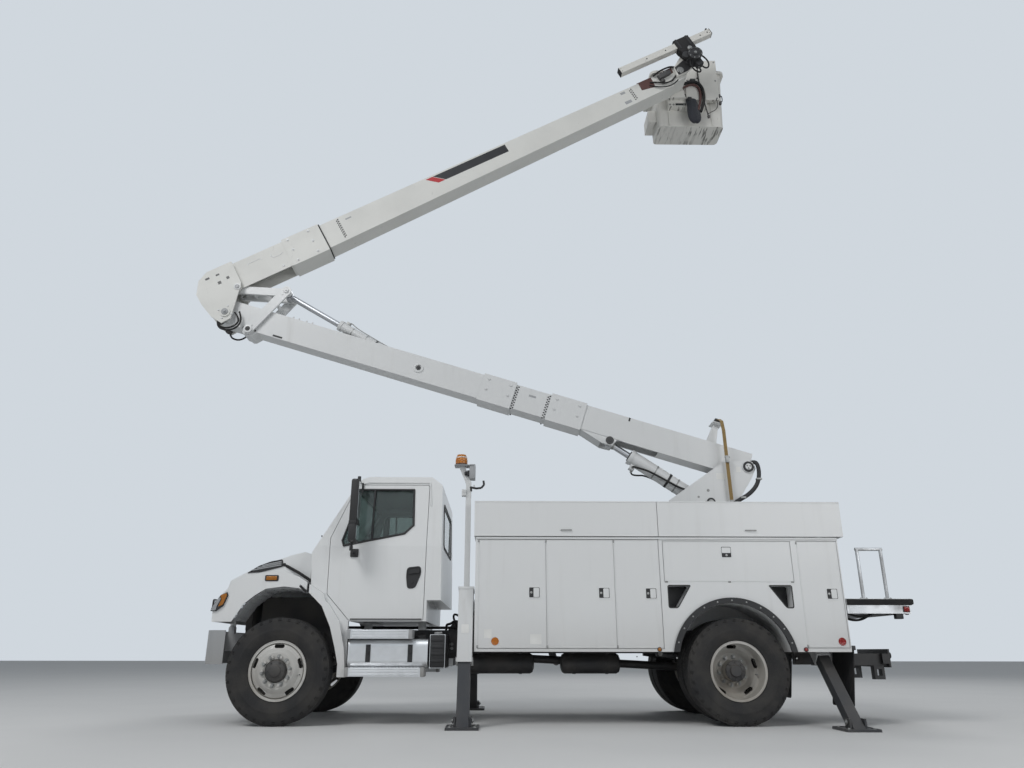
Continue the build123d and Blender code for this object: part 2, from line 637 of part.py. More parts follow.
def hood_form(inset):
    """Outside of the hood and fenders with its skin moved in by an inset."""
    with BuildPart() as form:
        crown = HOOD_TOP + [(HOOD_REAR, HOOD_BOTTOM - 30), (-790, HOOD_BOTTOM - 30)]
        with BuildSketch(Plane.XZ.offset(-HOOD_HALF_W)):
            with BuildLine():
                Polyline(*[(behind(x), z) for x, z in crown], close=True)
            make_face()
            if inset:
                offset(amount=-inset, kind=Kind.INTERSECTION)
        extrude(amount=2 * HOOD_HALF_W)
        with BuildSketch(Plane.XY.offset(HOOD_BOTTOM - 40)):
            with BuildLine():
                Polyline((behind(-810), -HOOD_NARROW + inset), (behind(HOOD_REAR + 9), -HOOD_WIDE + inset),
                         (behind(HOOD_REAR + 9), HOOD_WIDE - inset), (behind(-810), HOOD_NARROW - inset),
                         close=True)
            make_face()
        extrude(amount=900, mode=Mode.INTERSECT)
        sides = FENDER_TOP + [(HOOD_REAR, HOOD_BOTTOM - 30), (-760, HOOD_BOTTOM - 30)]
        with BuildSketch(Plane.XZ.offset(-HOOD_HALF_W + inset)):
            with BuildLine():
                Polyline(*[(behind(x), z) for x, z in sides], close=True)
            make_face()
            if inset:
                offset(amount=-inset, kind=Kind.INTERSECTION)
        extrude(amount=2 * (HOOD_HALF_W - inset))
    return form.part


with BuildPart() as hood_shell:
    add(hood_form(0))
    add(hood_form(HOOD_WALL), mode=Mode.SUBTRACT)
    # open underneath and at the cowl
    block((-900, 400), (-1200, 1200), (900, HOOD_BOTTOM), mode=Mode.SUBTRACT)
    block((HOOD_REAR - 40, 400), (-HOOD_HALF_W + 30, HOOD_HALF_W - 30), (900, 1740), mode=Mode.SUBTRACT)
    for hand in (-1, 1):
        side_slab(ARCH_EDGE, *sorted((hand * 600, hand * 1200)), mode=Mode.SUBTRACT)
    # grille opening in the nose
    with BuildSketch(Plane.YZ.offset(behind(-830))) as mouth:
        with Locations((0, GRILLE_Z)):
            RectangleRounded(*GRILLE, GRILLE_R)
    extrude(amount=60, mode=Mode.SUBTRACT)
    # hinge arms down to the pins
    for hand in (-1, 1):
        arm = sorted((hand * (HOOD_ARM_Y - HOOD_ARM_T / 2), hand * (HOOD_ARM_Y + HOOD_ARM_T / 2)))
        shape = [(-800, 1010), (-795, 955), (-745, 955), (-740, 1010), (-740, 1083), (-800, 1083)]
        side_slab(shape, *arm)
        cross_pin(HOOD_PIVOT_X, HOOD_PIVOT_Z, arm[0] - 1, arm[1] + 1, HOOD_PIN_R + SEAT_GAP,
                  mode=Mode.SUBTRACT)
save(hood_shell.part, "hood_shell")

# Grille bars and headlamps, carried by the hood
with BuildPart() as grille:
    with BuildSketch(Plane.YZ.offset(behind(-806))) as grille_face:
        with Locations((0, GRILLE_Z)):
            RectangleRounded(*[side - 2 * SEAT_GAP for side in GRILLE], GRILLE_R)
            RectangleRounded(*[side - 30 for side in GRILLE], GRILLE_R - 14, mode=Mode.SUBTRACT)
            with GridLocations(0, 42, 1, 7):
                Rectangle(GRILLE[0] - 20, 15)
            with GridLocations(290, 0, 2, 1):
                Rectangle(14, GRILLE[1] - 20)
    extrude(amount=24)
    for hand in (-1, 1):
        lamp = [(-780, 1134), (-769, 1180), (-690, 1300), (-625, 1330), (-612, 1300),
                (-650, 1190), (-720, 1134)]
        side_slab(lamp, *sorted((hand * (HOOD_HALF_W + SEAT_GAP), hand * (HOOD_HALF_W + 18))))
save(grille.part, "grille_and_lamps")

# Side steps, fuel tank, battery box and air tanks under the cab
TANK_X = (711, 1555)
TANK_Y = (560, 1080)
TANK_MID_Z = 709
TANK_H = 292
BATTERY_BOX_X = (1575, 1739)
BATTERY_BOX_OUT = 1060
STEP_Y = (900, 1150)
# front and rear stations, bottom and top of each tread
TREADS = ((704, 1386, 855, 945), (704, 1524, 480, 566))
with BuildPart() as side_steps:
    for hand in (-1, 1):
        tank = sorted((hand * TANK_Y[0], hand * TANK_Y[1]))
        with BuildSketch(Plane.YZ.offset(behind(TANK_X[0]))) as tank_end:
            with Locations((hand * (TANK_Y[0] + TANK_Y[1]) / 2, TANK_MID_Z)):
                RectangleRounded(TANK_Y[1] - TANK_Y[0], TANK_H, 70)
        extrude(tank_end.sketch, amount=TANK_X[1] - TANK_X[0])
        # tank brackets out from the rail
        for x in (800, 1400):
            block((x, x + 60), sorted((hand * RAIL_Y, hand * (TANK_Y[0] + 60))), (740, 860))
        for x0, x1, z0, z1 in TREADS:
            block((x0, x1), sorted((hand * STEP_Y[0], hand * STEP_Y[1])), (z0, z1))
        block(BATTERY_BOX_X, sorted((hand * (RAIL_Y + SEAT_GAP), hand * BATTERY_BOX_OUT)), (560, 900))
save(side_steps.part, "side_steps")

# Service body: a hollow pack of compartments along each side
ARCH_X = WHEELBASE - ARCH_FORWARD
PACK_IN = BODY_HALF_W - PACK_DEPTH
HINGE_R = 3
HINGE_OUT = HINGE_R + SEAT_GAP
JAMB = 18
NOTCH_Y = BODY_HALF_W - 220
NOTCH_Z = 1100
DOOR_GAP = 10
FRONT_DOOR_X = BODY_FRONT + 38
FRONT_DOOR_W = 725
NARROW_DOOR_W = 483
NARROW_DOOR_X = ARCH_X - 752 - NARROW_DOOR_W
# name, front and rear stations, bottom and top heights of each door
DOORS = {
    "front": (FRONT_DOOR_X, FRONT_DOOR_X + FRONT_DOOR_W, 760, 1886),
    "middle": (FRONT_DOOR_X + FRONT_DOOR_W + DOOR_GAP, NARROW_DOOR_X - DOOR_GAP, 760, 1886),
    "narrow": (NARROW_DOOR_X, NARROW_DOOR_X + NARROW_DOOR_W, 760, 1886),
    "shelf": (ARCH_X - 700, ARCH_X + 700, 1445, 1872),
    "rear": (BODY_REAR - 455, BODY_REAR - 17, 768, 1873),
}
HAND_RECESSES = (
    [(-672, 1402), (-426, 1402), (-573, 1172), (-672, 1172)],
    [(422, 1402), (669, 1402), (669, 1172), (592, 1172)],
)
with BuildPart() as body_packs:
    block((BODY_FRONT, BODY_REAR), (-BODY_HALF_W, -PACK_IN), (PACK_BOTTOM, PACK_TOP))
    block((BODY_FRONT, BODY_REAR), (-PACK_IN - 15, -PACK_IN), (PACK_TOP, LID_TOP - LID_WALL - MOVING_GAP))
    # wheel arch and the notch over the rear outrigger
    with BuildSketch(Plane.XZ.offset(PACK_IN - 10)):
        with Locations((behind(ARCH_X), ARCH_Z)):
            Circle(ARCH_R)
        with Locations((behind(ARCH_X), ARCH_Z - 300)):
            Rectangle(2 * ARCH_R, 600)
    extrude(amount=PACK_DEPTH + 20, mode=Mode.SUBTRACT)
    block((BODY_REAR - 460, BODY_REAR), (-NOTCH_Y, -PACK_IN), (PACK_BOTTOM, NOTCH_Z), mode=Mode.SUBTRACT)
    for name, (x0, x1, z0, z1) in DOORS.items():
        g = MOVING_GAP
        low_gap = HINGE_OUT + HINGE_R - 1 if name == "shelf" else g
        front_gap = g if name == "shelf" else HINGE_OUT + HINGE_R - 1
        block((x0 - front_gap, x1 + g), (-BODY_HALF_W, -BODY_HALF_W + DOOR_T + SEAT_GAP),
              (z0 - low_gap, z1 + g), mode=Mode.SUBTRACT)
        inner_low = NOTCH_Z + PACK_WALL if name == "rear" else z0 + JAMB
        block((x0 + JAMB, x1 - JAMB), (-BODY_HALF_W, -PACK_IN - PACK_WALL),
              (inner_low, z1 - JAMB), mode=Mode.SUBTRACT)
    x0, x1, z0, z1 = DOORS["rear"]
    block((x0 + JAMB, x1 - JAMB), (-BODY_HALF_W, -NOTCH_Y - PACK_WALL), (z0 + JAMB, z1 - JAMB),
          mode=Mode.SUBTRACT)
    # angled hand recesses each side of the wheel arch
    for corners in HAND_RECESSES:
        recess = [(ARCH_X + x, z) for x, z in corners]
        side_slab(recess, -BODY_HALF_W, -BODY_HALF_W + 180, mode=Mode.SUBTRACT)
    # hinge rods of the doors, each on a thin leaf
    leaf_y = (-BODY_HALF_W, -BODY_HALF_W + DOOR_T + 2)
    for name, (x0, x1, z0, z1) in DOORS.items():
        if name == "shelf":
            hinge = z0 - HINGE_OUT
            rod((behind(x0), -BODY_HALF_W, hinge), (behind(x1), -BODY_HALF_W, hinge), HINGE_R)
            block((x0, x1), leaf_y, (hinge - HINGE_R - 1, hinge + HINGE_R / 2))
        else:
            hinge = x0 - HINGE_OUT
            rod((behind(hinge), -BODY_HALF_W, z0), (behind(hinge), -BODY_HALF_W, z1), HINGE_R)
            block((hinge - HINGE_R - 1, hinge + HINGE_R / 2), leaf_y, (z0, z1))
LID_HINGE_R = 8
LID_HINGE_LENGTH = 120
LID_HINGE_Y = PACK_IN - LID_HINGE_R - 4
LID_HINGE_Z = LID_TOP - LID_WALL / 2
LIDS = {"front": (BODY_FRONT - 17, LID_SPLIT - 3), "rear": (LID_SPLIT + 3, BODY_REAR + 70)}
with BuildPart() as pack_left:
    add(body_packs.part)
    for x0, x1 in LIDS.values():
        for x in (x0 + 150, (x0 + x1) / 2 - LID_HINGE_LENGTH / 2, x1 - 150 - LID_HINGE_LENGTH):
            along_lid = (x, x + LID_HINGE_LENGTH)
            ends = [(behind(end), -LID_HINGE_Y, LID_HINGE_Z) for end in along_lid]
            rod(*ends, LID_HINGE_R)
            leaf_low = LID_HINGE_Z - 22
            block(along_lid, (-PACK_IN - 2, -LID_HINGE_Y + 4), (leaf_low, LID_TOP - LID_WALL - 3))
            block(along_lid, (-LID_HINGE_Y - 4, -LID_HINGE_Y + 4), (leaf_low, LID_HINGE_Z - 4))
with BuildPart() as packs:
    add(pack_left.part)
    add(pack_left.part.mirror(Plane.XZ))
save(packs.part, "body_packs")

for name, (x0, x1, z0, z1) in DOORS.items():
    with BuildPart() as door:
        block((x0, x1), (-BODY_HALF_W, -BODY_HALF_W + DOOR_T), (z0, z1))
    save(door.part, f"{name}_door_left")
    save(mirrored(door.part), f"{name}_door_right")

for name, (x0, x1) in LIDS.items():
    with BuildPart() as lid:
        low = PACK_TOP + MOVING_GAP
        inner_edge = -LID_HINGE_Y - LID_HINGE_R - SEAT_GAP
        out = -BODY_HALF_W - 15
        end_x = x0 if name == "front" else x1 - LID_WALL
        block((x0, x1), (out, out + LID_WALL), (low, LID_TOP))
        block((x0, x1), (out, inner_edge), (LID_TOP - LID_WALL, LID_TOP))
        block((end_x, end_x + LID_WALL), (out, -PACK_IN - 20), (low, LID_TOP))
    save(lid.part, f"{name}_lid_left")
    save(mirrored(lid.part), f"{name}_lid_right")

# Rubber flares round the rear arches and the mudflaps
with BuildPart() as flare_left:
    with BuildSketch(Plane.XZ.offset(BODY_HALF_W + SEAT_GAP)):
        with Locations((behind(ARCH_X), ARCH_Z)):
            Circle(ARCH_R + FLARE_W)
            Circle(ARCH_R, mode=Mode.SUBTRACT)
        with Locations((behind(ARCH_X), PACK_BOTTOM - 400)):
            Rectangle(4 * ARCH_R, 800, mode=Mode.SUBTRACT)
    extrude(amount=24)
with BuildPart() as arch_flares:
    add(flare_left.part)
    add(flare_left.part.mirror(Plane.XZ))
save(arch_flares.part, "arch_flares")

# Deck between the packs and out to the tail, with skirts, cross sills and a grab rail
TAIL_FRONT = BODY_REAR + 8
TAIL_BOTTOM = 1203
SKIRT_BOTTOM = 1115
RAIL_TUBE_R = 18
HOOP_X = (BODY_REAR + 234, BODY_REAR + 496)
HOOP_Z = 1800
PEDESTAL_HALF = 370
REAR_LEG_X = WHEELBASE + 988
with BuildPart() as body_deck:
    deck_y = (-PACK_IN + SEAT_GAP, PACK_IN - SEAT_GAP)
    block((BODY_FRONT, TAIL_FRONT), deck_y, (DECK_TOP - DECK_T, DECK_TOP))
    block((TAIL_FRONT, TAIL_REAR), (-BODY_HALF_W, BODY_HALF_W), (TAIL_BOTTOM, DECK_TOP))
    for hand in (-1, 1):
        skirt = sorted((hand * (BODY_HALF_W - 25), hand * BODY_HALF_W))
        block((TAIL_FRONT, TAIL_REAR - 60), skirt, (SKIRT_BOTTOM, TAIL_BOTTOM))
        rail = (hand * (RAIL_Y - 70), hand * RAIL_Y)
        sill = (RAIL_TOP, DECK_TOP - DECK_T)
        block((BODY_FRONT, TURRET_X - PEDESTAL_HALF), sorted(rail), sill)
        block((TURRET_X + PEDESTAL_HALF, REAR_LEG_X - 90), sorted(rail), sill)
        block((REAR_LEG_X + 100, RAIL_REAR), sorted(rail), (RAIL_TOP, TAIL_BOTTOM))
        # hoop grab rail at the tail
        hoop_y = hand * (BODY_HALF_W - 70)
        for x in HOOP_X:
            rod((behind(x), hoop_y, DECK_TOP), (behind(x), hoop_y, HOOP_Z), RAIL_TUBE_R)
        top_ends = (HOOP_X[0] - RAIL_TUBE_R, HOOP_X[1] + RAIL_TUBE_R)
        rod(*[(behind(x), hoop_y, HOOP_Z) for x in top_ends], RAIL_TUBE_R)
    block((TAIL_REAR - 60, TAIL_REAR - 30), (-BODY_HALF_W, BODY_HALF_W), (SKIRT_BOTTOM, TAIL_BOTTOM))
    # hole for the pedestal
    with BuildSketch(Plane.XY.offset(DECK_TOP - DECK_T - 300)) as hole:
        with Locations((behind(TURRET_X), 0)):
            Rectangle(2 * PEDESTAL_HALF + 2 * SEAT_GAP, 2 * PEDESTAL_HALF + 2 * SEAT_GAP)
    extrude(amount=400, mode=Mode.SUBTRACT)
save(body_deck.part, "body_deck")

# Outriggers. Each leg is a square tube that slides in a housing leaning out from the frame.
LEG_FIT = 1
TUBE_WALL = 13
FRONT_LEG_X = 1955
FRONT_LEG_FOOT_Y = BODY_HALF_W + 160
FRONT_LEG_LEAN = 14.3
FRONT_LEG_W = 130
FRONT_HOUSING_TO = 1395
REAR_LEG_FOOT_Y = BODY_HALF_W + 340
REAR_LEG_LEAN = 45
REAR_LEG_W = 120
PAD_T = 20
PAD_W = 330


def leg_plane(x, foot_y, lean):
    """Plane at a left leg's foot, its normal up along the leg."""
    way = (0, sin(radians(lean)), cos(radians(lean)))
    return Plane(origin=(behind(x), -foot_y, PAD_T), x_dir=(1, 0, 0), z_dir=way)


def leg_tube(plane, width, low, high, mode=Mode.ADD):
    """Square tube along the leg's plane normal, between two distances from the foot."""
    with BuildSketch(plane.offset(low)) as end:
        RectangleRounded(width, width, 8)
    extrude(end.sketch, amount=high - low, mode=mode)


front_leg = leg_plane(FRONT_LEG_X, FRONT_LEG_FOOT_Y, FRONT_LEG_LEAN)
rear_leg = leg_plane(REAR_LEG_X, REAR_LEG_FOOT_Y, REAR_LEG_LEAN)
# plane, width, leg top, housing from, housing to; distances along the leg from its foot
LEGS = {
    "front": (front_leg, FRONT_LEG_W, 880, 610, FRONT_HOUSING_TO, FRONT_LEG_X, FRONT_LEG_FOOT_Y),
    "rear": (rear_leg, REAR_LEG_W, 1030, 890, 1490, REAR_LEG_X, REAR_LEG_FOOT_Y),
}
for name, (plane, width, leg_top, low, high, x, foot_y) in LEGS.items():
    with BuildPart() as leg:
        leg_tube(plane, width, -60, leg_top)
        block((x - 500, x + 500), (-foot_y - 500, -foot_y + 500), (-200, PAD_T - 2), mode=Mode.SUBTRACT)
        with Locations((behind(x), -foot_y, PAD_T / 2)):
            Box(PAD_W, PAD_W + 40, PAD_T)
        for ear in (-1, 1):
            side = x + ear * (width / 2 + 14)
            block((side - 10, side + 10), (-foot_y - 55, -foot_y + 55), (PAD_T, PAD_T + 90))
        pin = [(behind(end), -foot_y, PAD_T + 55) for end in (x - width / 2 - 30, x + width / 2 + 30)]
        rod(*pin, 18)
    save(leg.part, f"outrigger_{name}_left")
    save(mirrored(leg.part), f"outrigger_{name}_right")

# Sub-frame: outrigger housings on their cross boxes, and the boom's pedestal
with BuildPart() as subframe_left:
    for name, (plane, width, leg_top, low, high, x, foot_y) in LEGS.items():
        outer = width + 2 * LEG_FIT + 2 * TUBE_WALL
        leg_tube(plane, outer, low, high)
        if name == "front":
            block((x - 70, x + 70), (-BODY_HALF_W + 70, 0), (RAIL_TOP, RAIL_TOP + 150))
        else:
            block((x - 70, x + 70), (-BODY_HALF_W + 580, 0), (RAIL_TOP, RAIL_TOP + 180))
        leg_tube(plane, width + 2 * LEG_FIT, low - 10, high - 30, mode=Mode.SUBTRACT)
with BuildPart() as subframe:
    add(subframe_left.part)
    add(subframe_left.part.mirror(Plane.XZ))
    with BuildSketch(Plane.XY.offset(RAIL_TOP)):
        with Locations((behind(TURRET_X), 0)):
            Rectangle(2 * PEDESTAL_HALF, 2 * PEDESTAL_HALF)
    with BuildSketch(Plane.XY.offset(BEARING_Z - 90)):
        with Locations((behind(TURRET_X), 0)):
            Rectangle(2 * PEDESTAL_HALF - 60, 2 * PEDESTAL_HALF - 60)
    loft()
    rod((behind(TURRET_X), 0, BEARING_Z - 90), (behind(TURRET_X), 0, BEARING_Z), BEARING_R + 20)
    rod((behind(TURRET_X), 0, BEARING_Z - 160), (behind(TURRET_X), 0, BEARING_Z + 1), SPIGOT_R + SEAT_GAP,
        mode=Mode.SUBTRACT)
save(subframe.part, "subframe")

# Turret: bearing plate, two side plates, the boom's pin and the lift cylinder's pin
BOOM_PIN_R = 45
LIFT_PIN_R = 35
PLATE_OUT = TURRET_PLATE_IN + TURRET_PLATE_T
with BuildPart() as turret:
    centre = (behind(TURRET_X), 0)
    rod((*centre, BEARING_Z - 120), (*centre, BEARING_Z + 10), SPIGOT_R)
    rod((*centre, BEARING_Z + SEAT_GAP), (*centre, BEARING_Z + 60), BEARING_R)
    plate = [
        (-475, 2512), (244, 3006), (560, 3030), (630, 3000), (650, 2920), (580, 2780),
        (390, 2500), (340, BEARING_Z + 50), (-380, BEARING_Z + 50),
    ]
    plate = [(TURRET_X + x, z) for x, z in plate]
    for hand in (-1, 1):
        side_slab(plate, *sorted((hand * TURRET_PLATE_IN, hand * PLATE_OUT)))
        cross_pin(*BOOM_PIVOT, *sorted((hand * TURRET_PLATE_IN, hand * (PLATE_OUT + 18))), 75)
    cross_pin(*BOOM_PIVOT, -PLATE_OUT, PLATE_OUT, BOOM_PIN_R)
    cross_pin(*LIFT_BASE, -PLATE_OUT, PLATE_OUT, LIFT_PIN_R)
save(turret.part, "turret")


# Booms, drawn along their own lines: u from the boom's pin, v square to it
def along(start, angle, forward, u, v):
    """Station and height at u, v on a line that rises at this angle; forward is -1 toward the cab."""
    across = -forward * v * sin(radians(angle)) + forward * u * cos(radians(angle))
    return (start[0] + across, start[1] + u * sin(radians(angle)) + v * cos(radians(angle)))


def on_lower(u, v):
    """Station and height of a point of the lower boom."""
    return along(BOOM_PIVOT, LOWER_ANGLE, -1, u, v)


ELBOW = on_lower(LOWER_LENGTH, 0)


def on_upper(u, v):
    """Station and height of a point of the upper boom."""
    return along(ELBOW, UPPER_ANGLE, 1, u, v)


def box_outline(on_boom, u, v):
    """Outline of a box along a boom, as stations and heights."""
    corners = [(u[0], v[0]), (u[1], v[0]), (u[1], v[1]), (u[0], v[1])]
    return [on_boom(*corner) for corner in corners]


def lower_box(u, v, y, mode=Mode.ADD):
    """Box along the lower boom."""
    side_slab(box_outline(on_lower, u, v), y[0], y[1], mode)


def upper_box(u, v, y, mode=Mode.ADD):
    """Box along the upper boom."""
    side_slab(box_outline(on_upper, u, v), y[0], y[1], mode)


def both(low, high):
    """The same pair of widths on either side."""
    return ((low, high), (-high, -low))


def bearing(start, end):
    """Angle of a line between two points of stations and heights, toward the rear being 0."""
    return degrees(atan2(end[1] - start[1], end[0] - start[0]))


def stretch(start, end, near, far, radius, mode=Mode.ADD):
    """Round bar on the line from start to end, between two distances from start."""
    turn = radians(bearing(start, end))
    ends = [(behind(start[0] + s * cos(turn)), 0, start[1] + s * sin(turn)) for s in (near, far)]
    rod(*ends, radius, mode)


# Lower boom: rear steel, insulating insert, front steel
LOWER_W = (-LOWER_HALF_W, LOWER_HALF_W)
LOWER_INSIDE = (-LOWER_HALF_W + BOOM_WALL, LOWER_HALF_W - BOOM_WALL)
INSERT_FROM = 2645
INSERT_TO = 3130
REAR_COLLAR_FROM = 2167
FRONT_COLLAR_TO = 3580
LIFT_LUG = (1760, -158)
LIFT_LUG_IN = 52
LIFT_EYE_HALF = 38
LIFT_STUB_R = 32
ELBOW_LIFT_BASE = (4450, 45)
ELBOW_BASE_R = 32
ROCKER_BASE = (6811, -128)
ROCKER_PIN_R = 35
ELBOW_PIN_R = 45
PIN_FIT = 0.3
INNER_V = (LOWER_BOTTOM + BOOM_WALL, LOWER_TOP - BOOM_WALL)
with BuildPart() as lower_boom:
    lower_box((-45, INSERT_FROM), (LOWER_BOTTOM, LOWER_TOP), LOWER_W)
    lower_box((REAR_COLLAR_FROM, INSERT_FROM), (LOWER_BOTTOM - COLLAR_T, LOWER_TOP + COLLAR_T),
              (LOWER_W[0] - COLLAR_T, LOWER_W[1] + COLLAR_T))
    lower_box((-45 + BOOM_WALL, INSERT_FROM - BOOM_WALL), INNER_V, LOWER_INSIDE, Mode.SUBTRACT)
    lower_box((INSERT_FROM + SEAT_GAP, INSERT_TO - SEAT_GAP), (LOWER_BOTTOM + 2, LOWER_TOP - 2),
              (LOWER_W[0] + 2, LOWER_W[1] - 2))
    lower_box((INSERT_FROM + BOOM_WALL, INSERT_TO - BOOM_WALL), INNER_V, LOWER_INSIDE, Mode.SUBTRACT)
    front_steel = [
        (INSERT_TO, LOWER_BOTTOM), (LOWER_LENGTH + 60, LOWER_BOTTOM), (LOWER_LENGTH + 100, -60),
        (LOWER_LENGTH + 100, 130), (LOWER_LENGTH + 50, LOWER_TOP), (INSERT_TO, LOWER_TOP),
    ]
    side_slab([on_lower(*point) for point in front_steel], *LOWER_W)
    lower_box((INSERT_TO, FRONT_COLLAR_TO), (LOWER_BOTTOM - COLLAR_T, LOWER_TOP + COLLAR_T),
              (LOWER_W[0] - COLLAR_T, LOWER_W[1] + COLLAR_T))
    rocker_lug = [
        (ROCKER_BASE[0] - 120, LOWER_BOTTOM + 5), (ROCKER_BASE[0] - 60, ROCKER_BASE[1] - 65),
        (ROCKER_BASE[0] + 60, ROCKER_BASE[1] - 65), (ROCKER_BASE[0] + 120, LOWER_BOTTOM + 5),
    ]
    side_slab([on_lower(*point) for point in rocker_lug], *LOWER_W)
    lower_box((INSERT_TO + BOOM_WALL, LOWER_LENGTH + 70), INNER_V, LOWER_INSIDE, Mode.SUBTRACT)
    # underside left open for the lift cylinder, top for the elbow cylinder
    lower_box((1120, 1655), (LOWER_BOTTOM - 1, INNER_V[0] + 1), (-112, 112), Mode.SUBTRACT)
    lower_box((1650, 1930), (LOWER_BOTTOM - 1, INNER_V[0] + 1), (-46, 46), Mode.SUBTRACT)
    lower_box((4700, 5640), (INNER_V[1] - 1, LOWER_TOP + 1), (-85, 85), Mode.SUBTRACT)
    lug = [(LIFT_LUG[0] - 90, LOWER_BOTTOM + 2), (LIFT_LUG[0] - 50, LIFT_LUG[1] - 50)]
    lug += [(LIFT_LUG[0] + 50, LIFT_LUG[1] - 50), (LIFT_LUG[0] + 90, LOWER_BOTTOM + 2)]
    for low, high in both(LIFT_LUG_IN, LIFT_LUG_IN + 25):
        side_slab([on_lower(*point) for point in lug], low, high)
    for low, high in both(LIFT_EYE_HALF + 9, LIFT_LUG_IN + 32):
        cross_pin(*on_lower(*LIFT_LUG), low, high, LIFT_STUB_R)
    cross_pin(*on_lower(*ROCKER_BASE), -192, 192, ROCKER_PIN_R)
    cross_pin(*on_lower(*ELBOW_LIFT_BASE), *LOWER_W, ELBOW_BASE_R)
    lower_box((430, 500), (LOWER_TOP - 1, 530), (-30, 30))
    for pivot, half, radius, bore in (
        (BOOM_PIVOT, TURRET_PLATE_IN - MOVING_GAP, 85, BOOM_PIN_R),
        (ELBOW, ELBOW_PLATE_IN - MOVING_GAP, 85, ELBOW_PIN_R),
    ):
        cross_pin(*pivot, -half, half, radius)
        cross_pin(*pivot, -half, half, bore + PIN_FIT, mode=Mode.SUBTRACT)
save(lower_boom.part, "lower_boom")


# Cylinders
def cylinder_barrel(base, end, length, radius, base_half, pin_r, bore_r, bore_from):
    """Barrel with its base eye, lying from base toward end."""
    with BuildPart() as made:
        stretch(base, end, pin_r + 20, length, radius)
        stretch(base, end, length - 45, length, radius + 9)
        cross_pin(*base, -base_half, base_half, pin_r + 30)
        cross_pin(*base, -base_half, base_half, pin_r + PIN_FIT, mode=Mode.SUBTRACT)
        stretch(base, end, bore_from, length + 1, bore_r + ROD_FIT, mode=Mode.SUBTRACT)
    return made.part


def cylinder_rod(base, end, length, radius, eye_half, eye_r, eye_bore_r):
    """Rod with its eye at end, reaching back toward base."""
    with BuildPart() as made:
        stretch(end, base, 0, length, radius)
        cross_pin(*end, -eye_half, eye_half, eye_r)
        cross_pin(*end, -eye_half, eye_half, eye_bore_r, mode=Mode.SUBTRACT)
    return made.part


ROD_FIT = 0.5
LIFT_END = on_lower(*LIFT_LUG)
save(cylinder_barrel(LIFT_BASE, LIFT_END, 1150, 95, 90, LIFT_PIN_R, 40, 170), "lift_barrel")
save(cylinder_rod(LIFT_BASE, LIFT_END, 1082, 40, LIFT_EYE_HALF, 56, 34), "lift_rod")

# Upper boom: elbow plates, steel section, collar, fibreglass tube and tip
ELBOW_PLATES = [(-105, -128), (34, -119), (358, 308), (358, 677), (-5, 677), (-150, 600), (-249, 419)]
ELBOW_PLATES += [(-240, 250), (-190, 20)]
COUPLER_PIN = (287, 275)
STEEL_TO = 1090
COLLAR_TO = 1640
TUBE_TO = 7460
TUBE_WALL_T = 14
TIP_TO = 7756
UPPER_V = (262, 677)
UPPER_W = (-UPPER_HALF_W, UPPER_HALF_W)
UPPER_INSIDE = (-UPPER_HALF_W + BOOM_WALL, UPPER_HALF_W - BOOM_WALL)
TIP_PIN = (7660, 550)
TIP_PIN_R = 40
with BuildPart() as upper_boom:
    upper_box((-5, STEEL_TO), UPPER_V, UPPER_W)
    upper_box((STEEL_TO, COLLAR_TO), (UPPER_V[0] - COLLAR_T, UPPER_V[1] + COLLAR_T),
              (UPPER_W[0] - COLLAR_T, UPPER_W[1] + COLLAR_T))
    tube = [(COLLAR_TO - 50, 275), (TUBE_TO, 390), (TUBE_TO, 677), (COLLAR_TO - 50, 677)]
    side_slab([on_upper(*point) for point in tube], -UPPER_HALF_W + 10, UPPER_HALF_W - 10)
    tip = [(TUBE_TO - 120, 395), (TIP_TO - 40, 440), (TIP_TO, 480), (TIP_TO, 640), (TIP_TO - 40, 685)]
    tip += [(TUBE_TO - 120, 685)]
    side_slab([on_upper(*point) for point in tip], -UPPER_HALF_W + 5, UPPER_HALF_W - 5)
    inner_v = (UPPER_V[0] + BOOM_WALL, UPPER_V[1] - BOOM_WALL)
    upper_box((BOOM_WALL - 5, STEEL_TO - BOOM_WALL), inner_v, UPPER_INSIDE, Mode.SUBTRACT)
    tube_inside = [(STEEL_TO + 12, 292), (TUBE_TO - 140, 404), (TUBE_TO - 140, 660), (STEEL_TO + 12, 660)]
    tube_y = UPPER_HALF_W - 10 - TUBE_WALL_T
    side_slab([on_upper(*point) for point in tube_inside], -tube_y, tube_y, Mode.SUBTRACT)
    # underside open where the coupler and the cylinder's eye swing
    underside = (UPPER_V[0] - 1, UPPER_V[0] + BOOM_WALL + 1)
    upper_box((130, STEEL_TO - 30), underside, UPPER_INSIDE, Mode.SUBTRACT)
    for low, high in both(UPPER_HALF_W - 1, ELBOW_PLATE_IN + 1):
        upper_box((60, 340), (400, 655), (low, high))
    for low, high in both(ELBOW_PLATE_IN, ELBOW_PLATE_IN + ELBOW_PLATE_T):
        side_slab([on_upper(*point) for point in ELBOW_PLATES], low, high)
    for low, high in both(131, ELBOW_PLATE_IN + ELBOW_PLATE_T + 8):
        cross_pin(*on_upper(*COUPLER_PIN), low, high, 30)
    reach = ELBOW_PLATE_IN + ELBOW_PLATE_T + 14
    cross_pin(*ELBOW, -reach, reach, ELBOW_PIN_R)
    for low, high in both(ELBOW_PLATE_IN, reach):
        cross_pin(*ELBOW, low, high, 70)
    cross_pin(*on_upper(*TIP_PIN), *UPPER_W, TIP_PIN_R + PIN_FIT, mode=Mode.SUBTRACT)
save(upper_boom.part, "upper_boom")

# Elbow linkage: rocker on the lower boom, coupler to the upper boom
ROCKER_IN = 155
ROCKER_T = 30
ROCKER_TIE = 520
TIE_R = 25
COUPLER_IN = 85
COUPLER_T = 40
LINK_TOP = (ELBOW[0] + 783, ELBOW[1] + 339.6)
LINK_PIN_R = 35


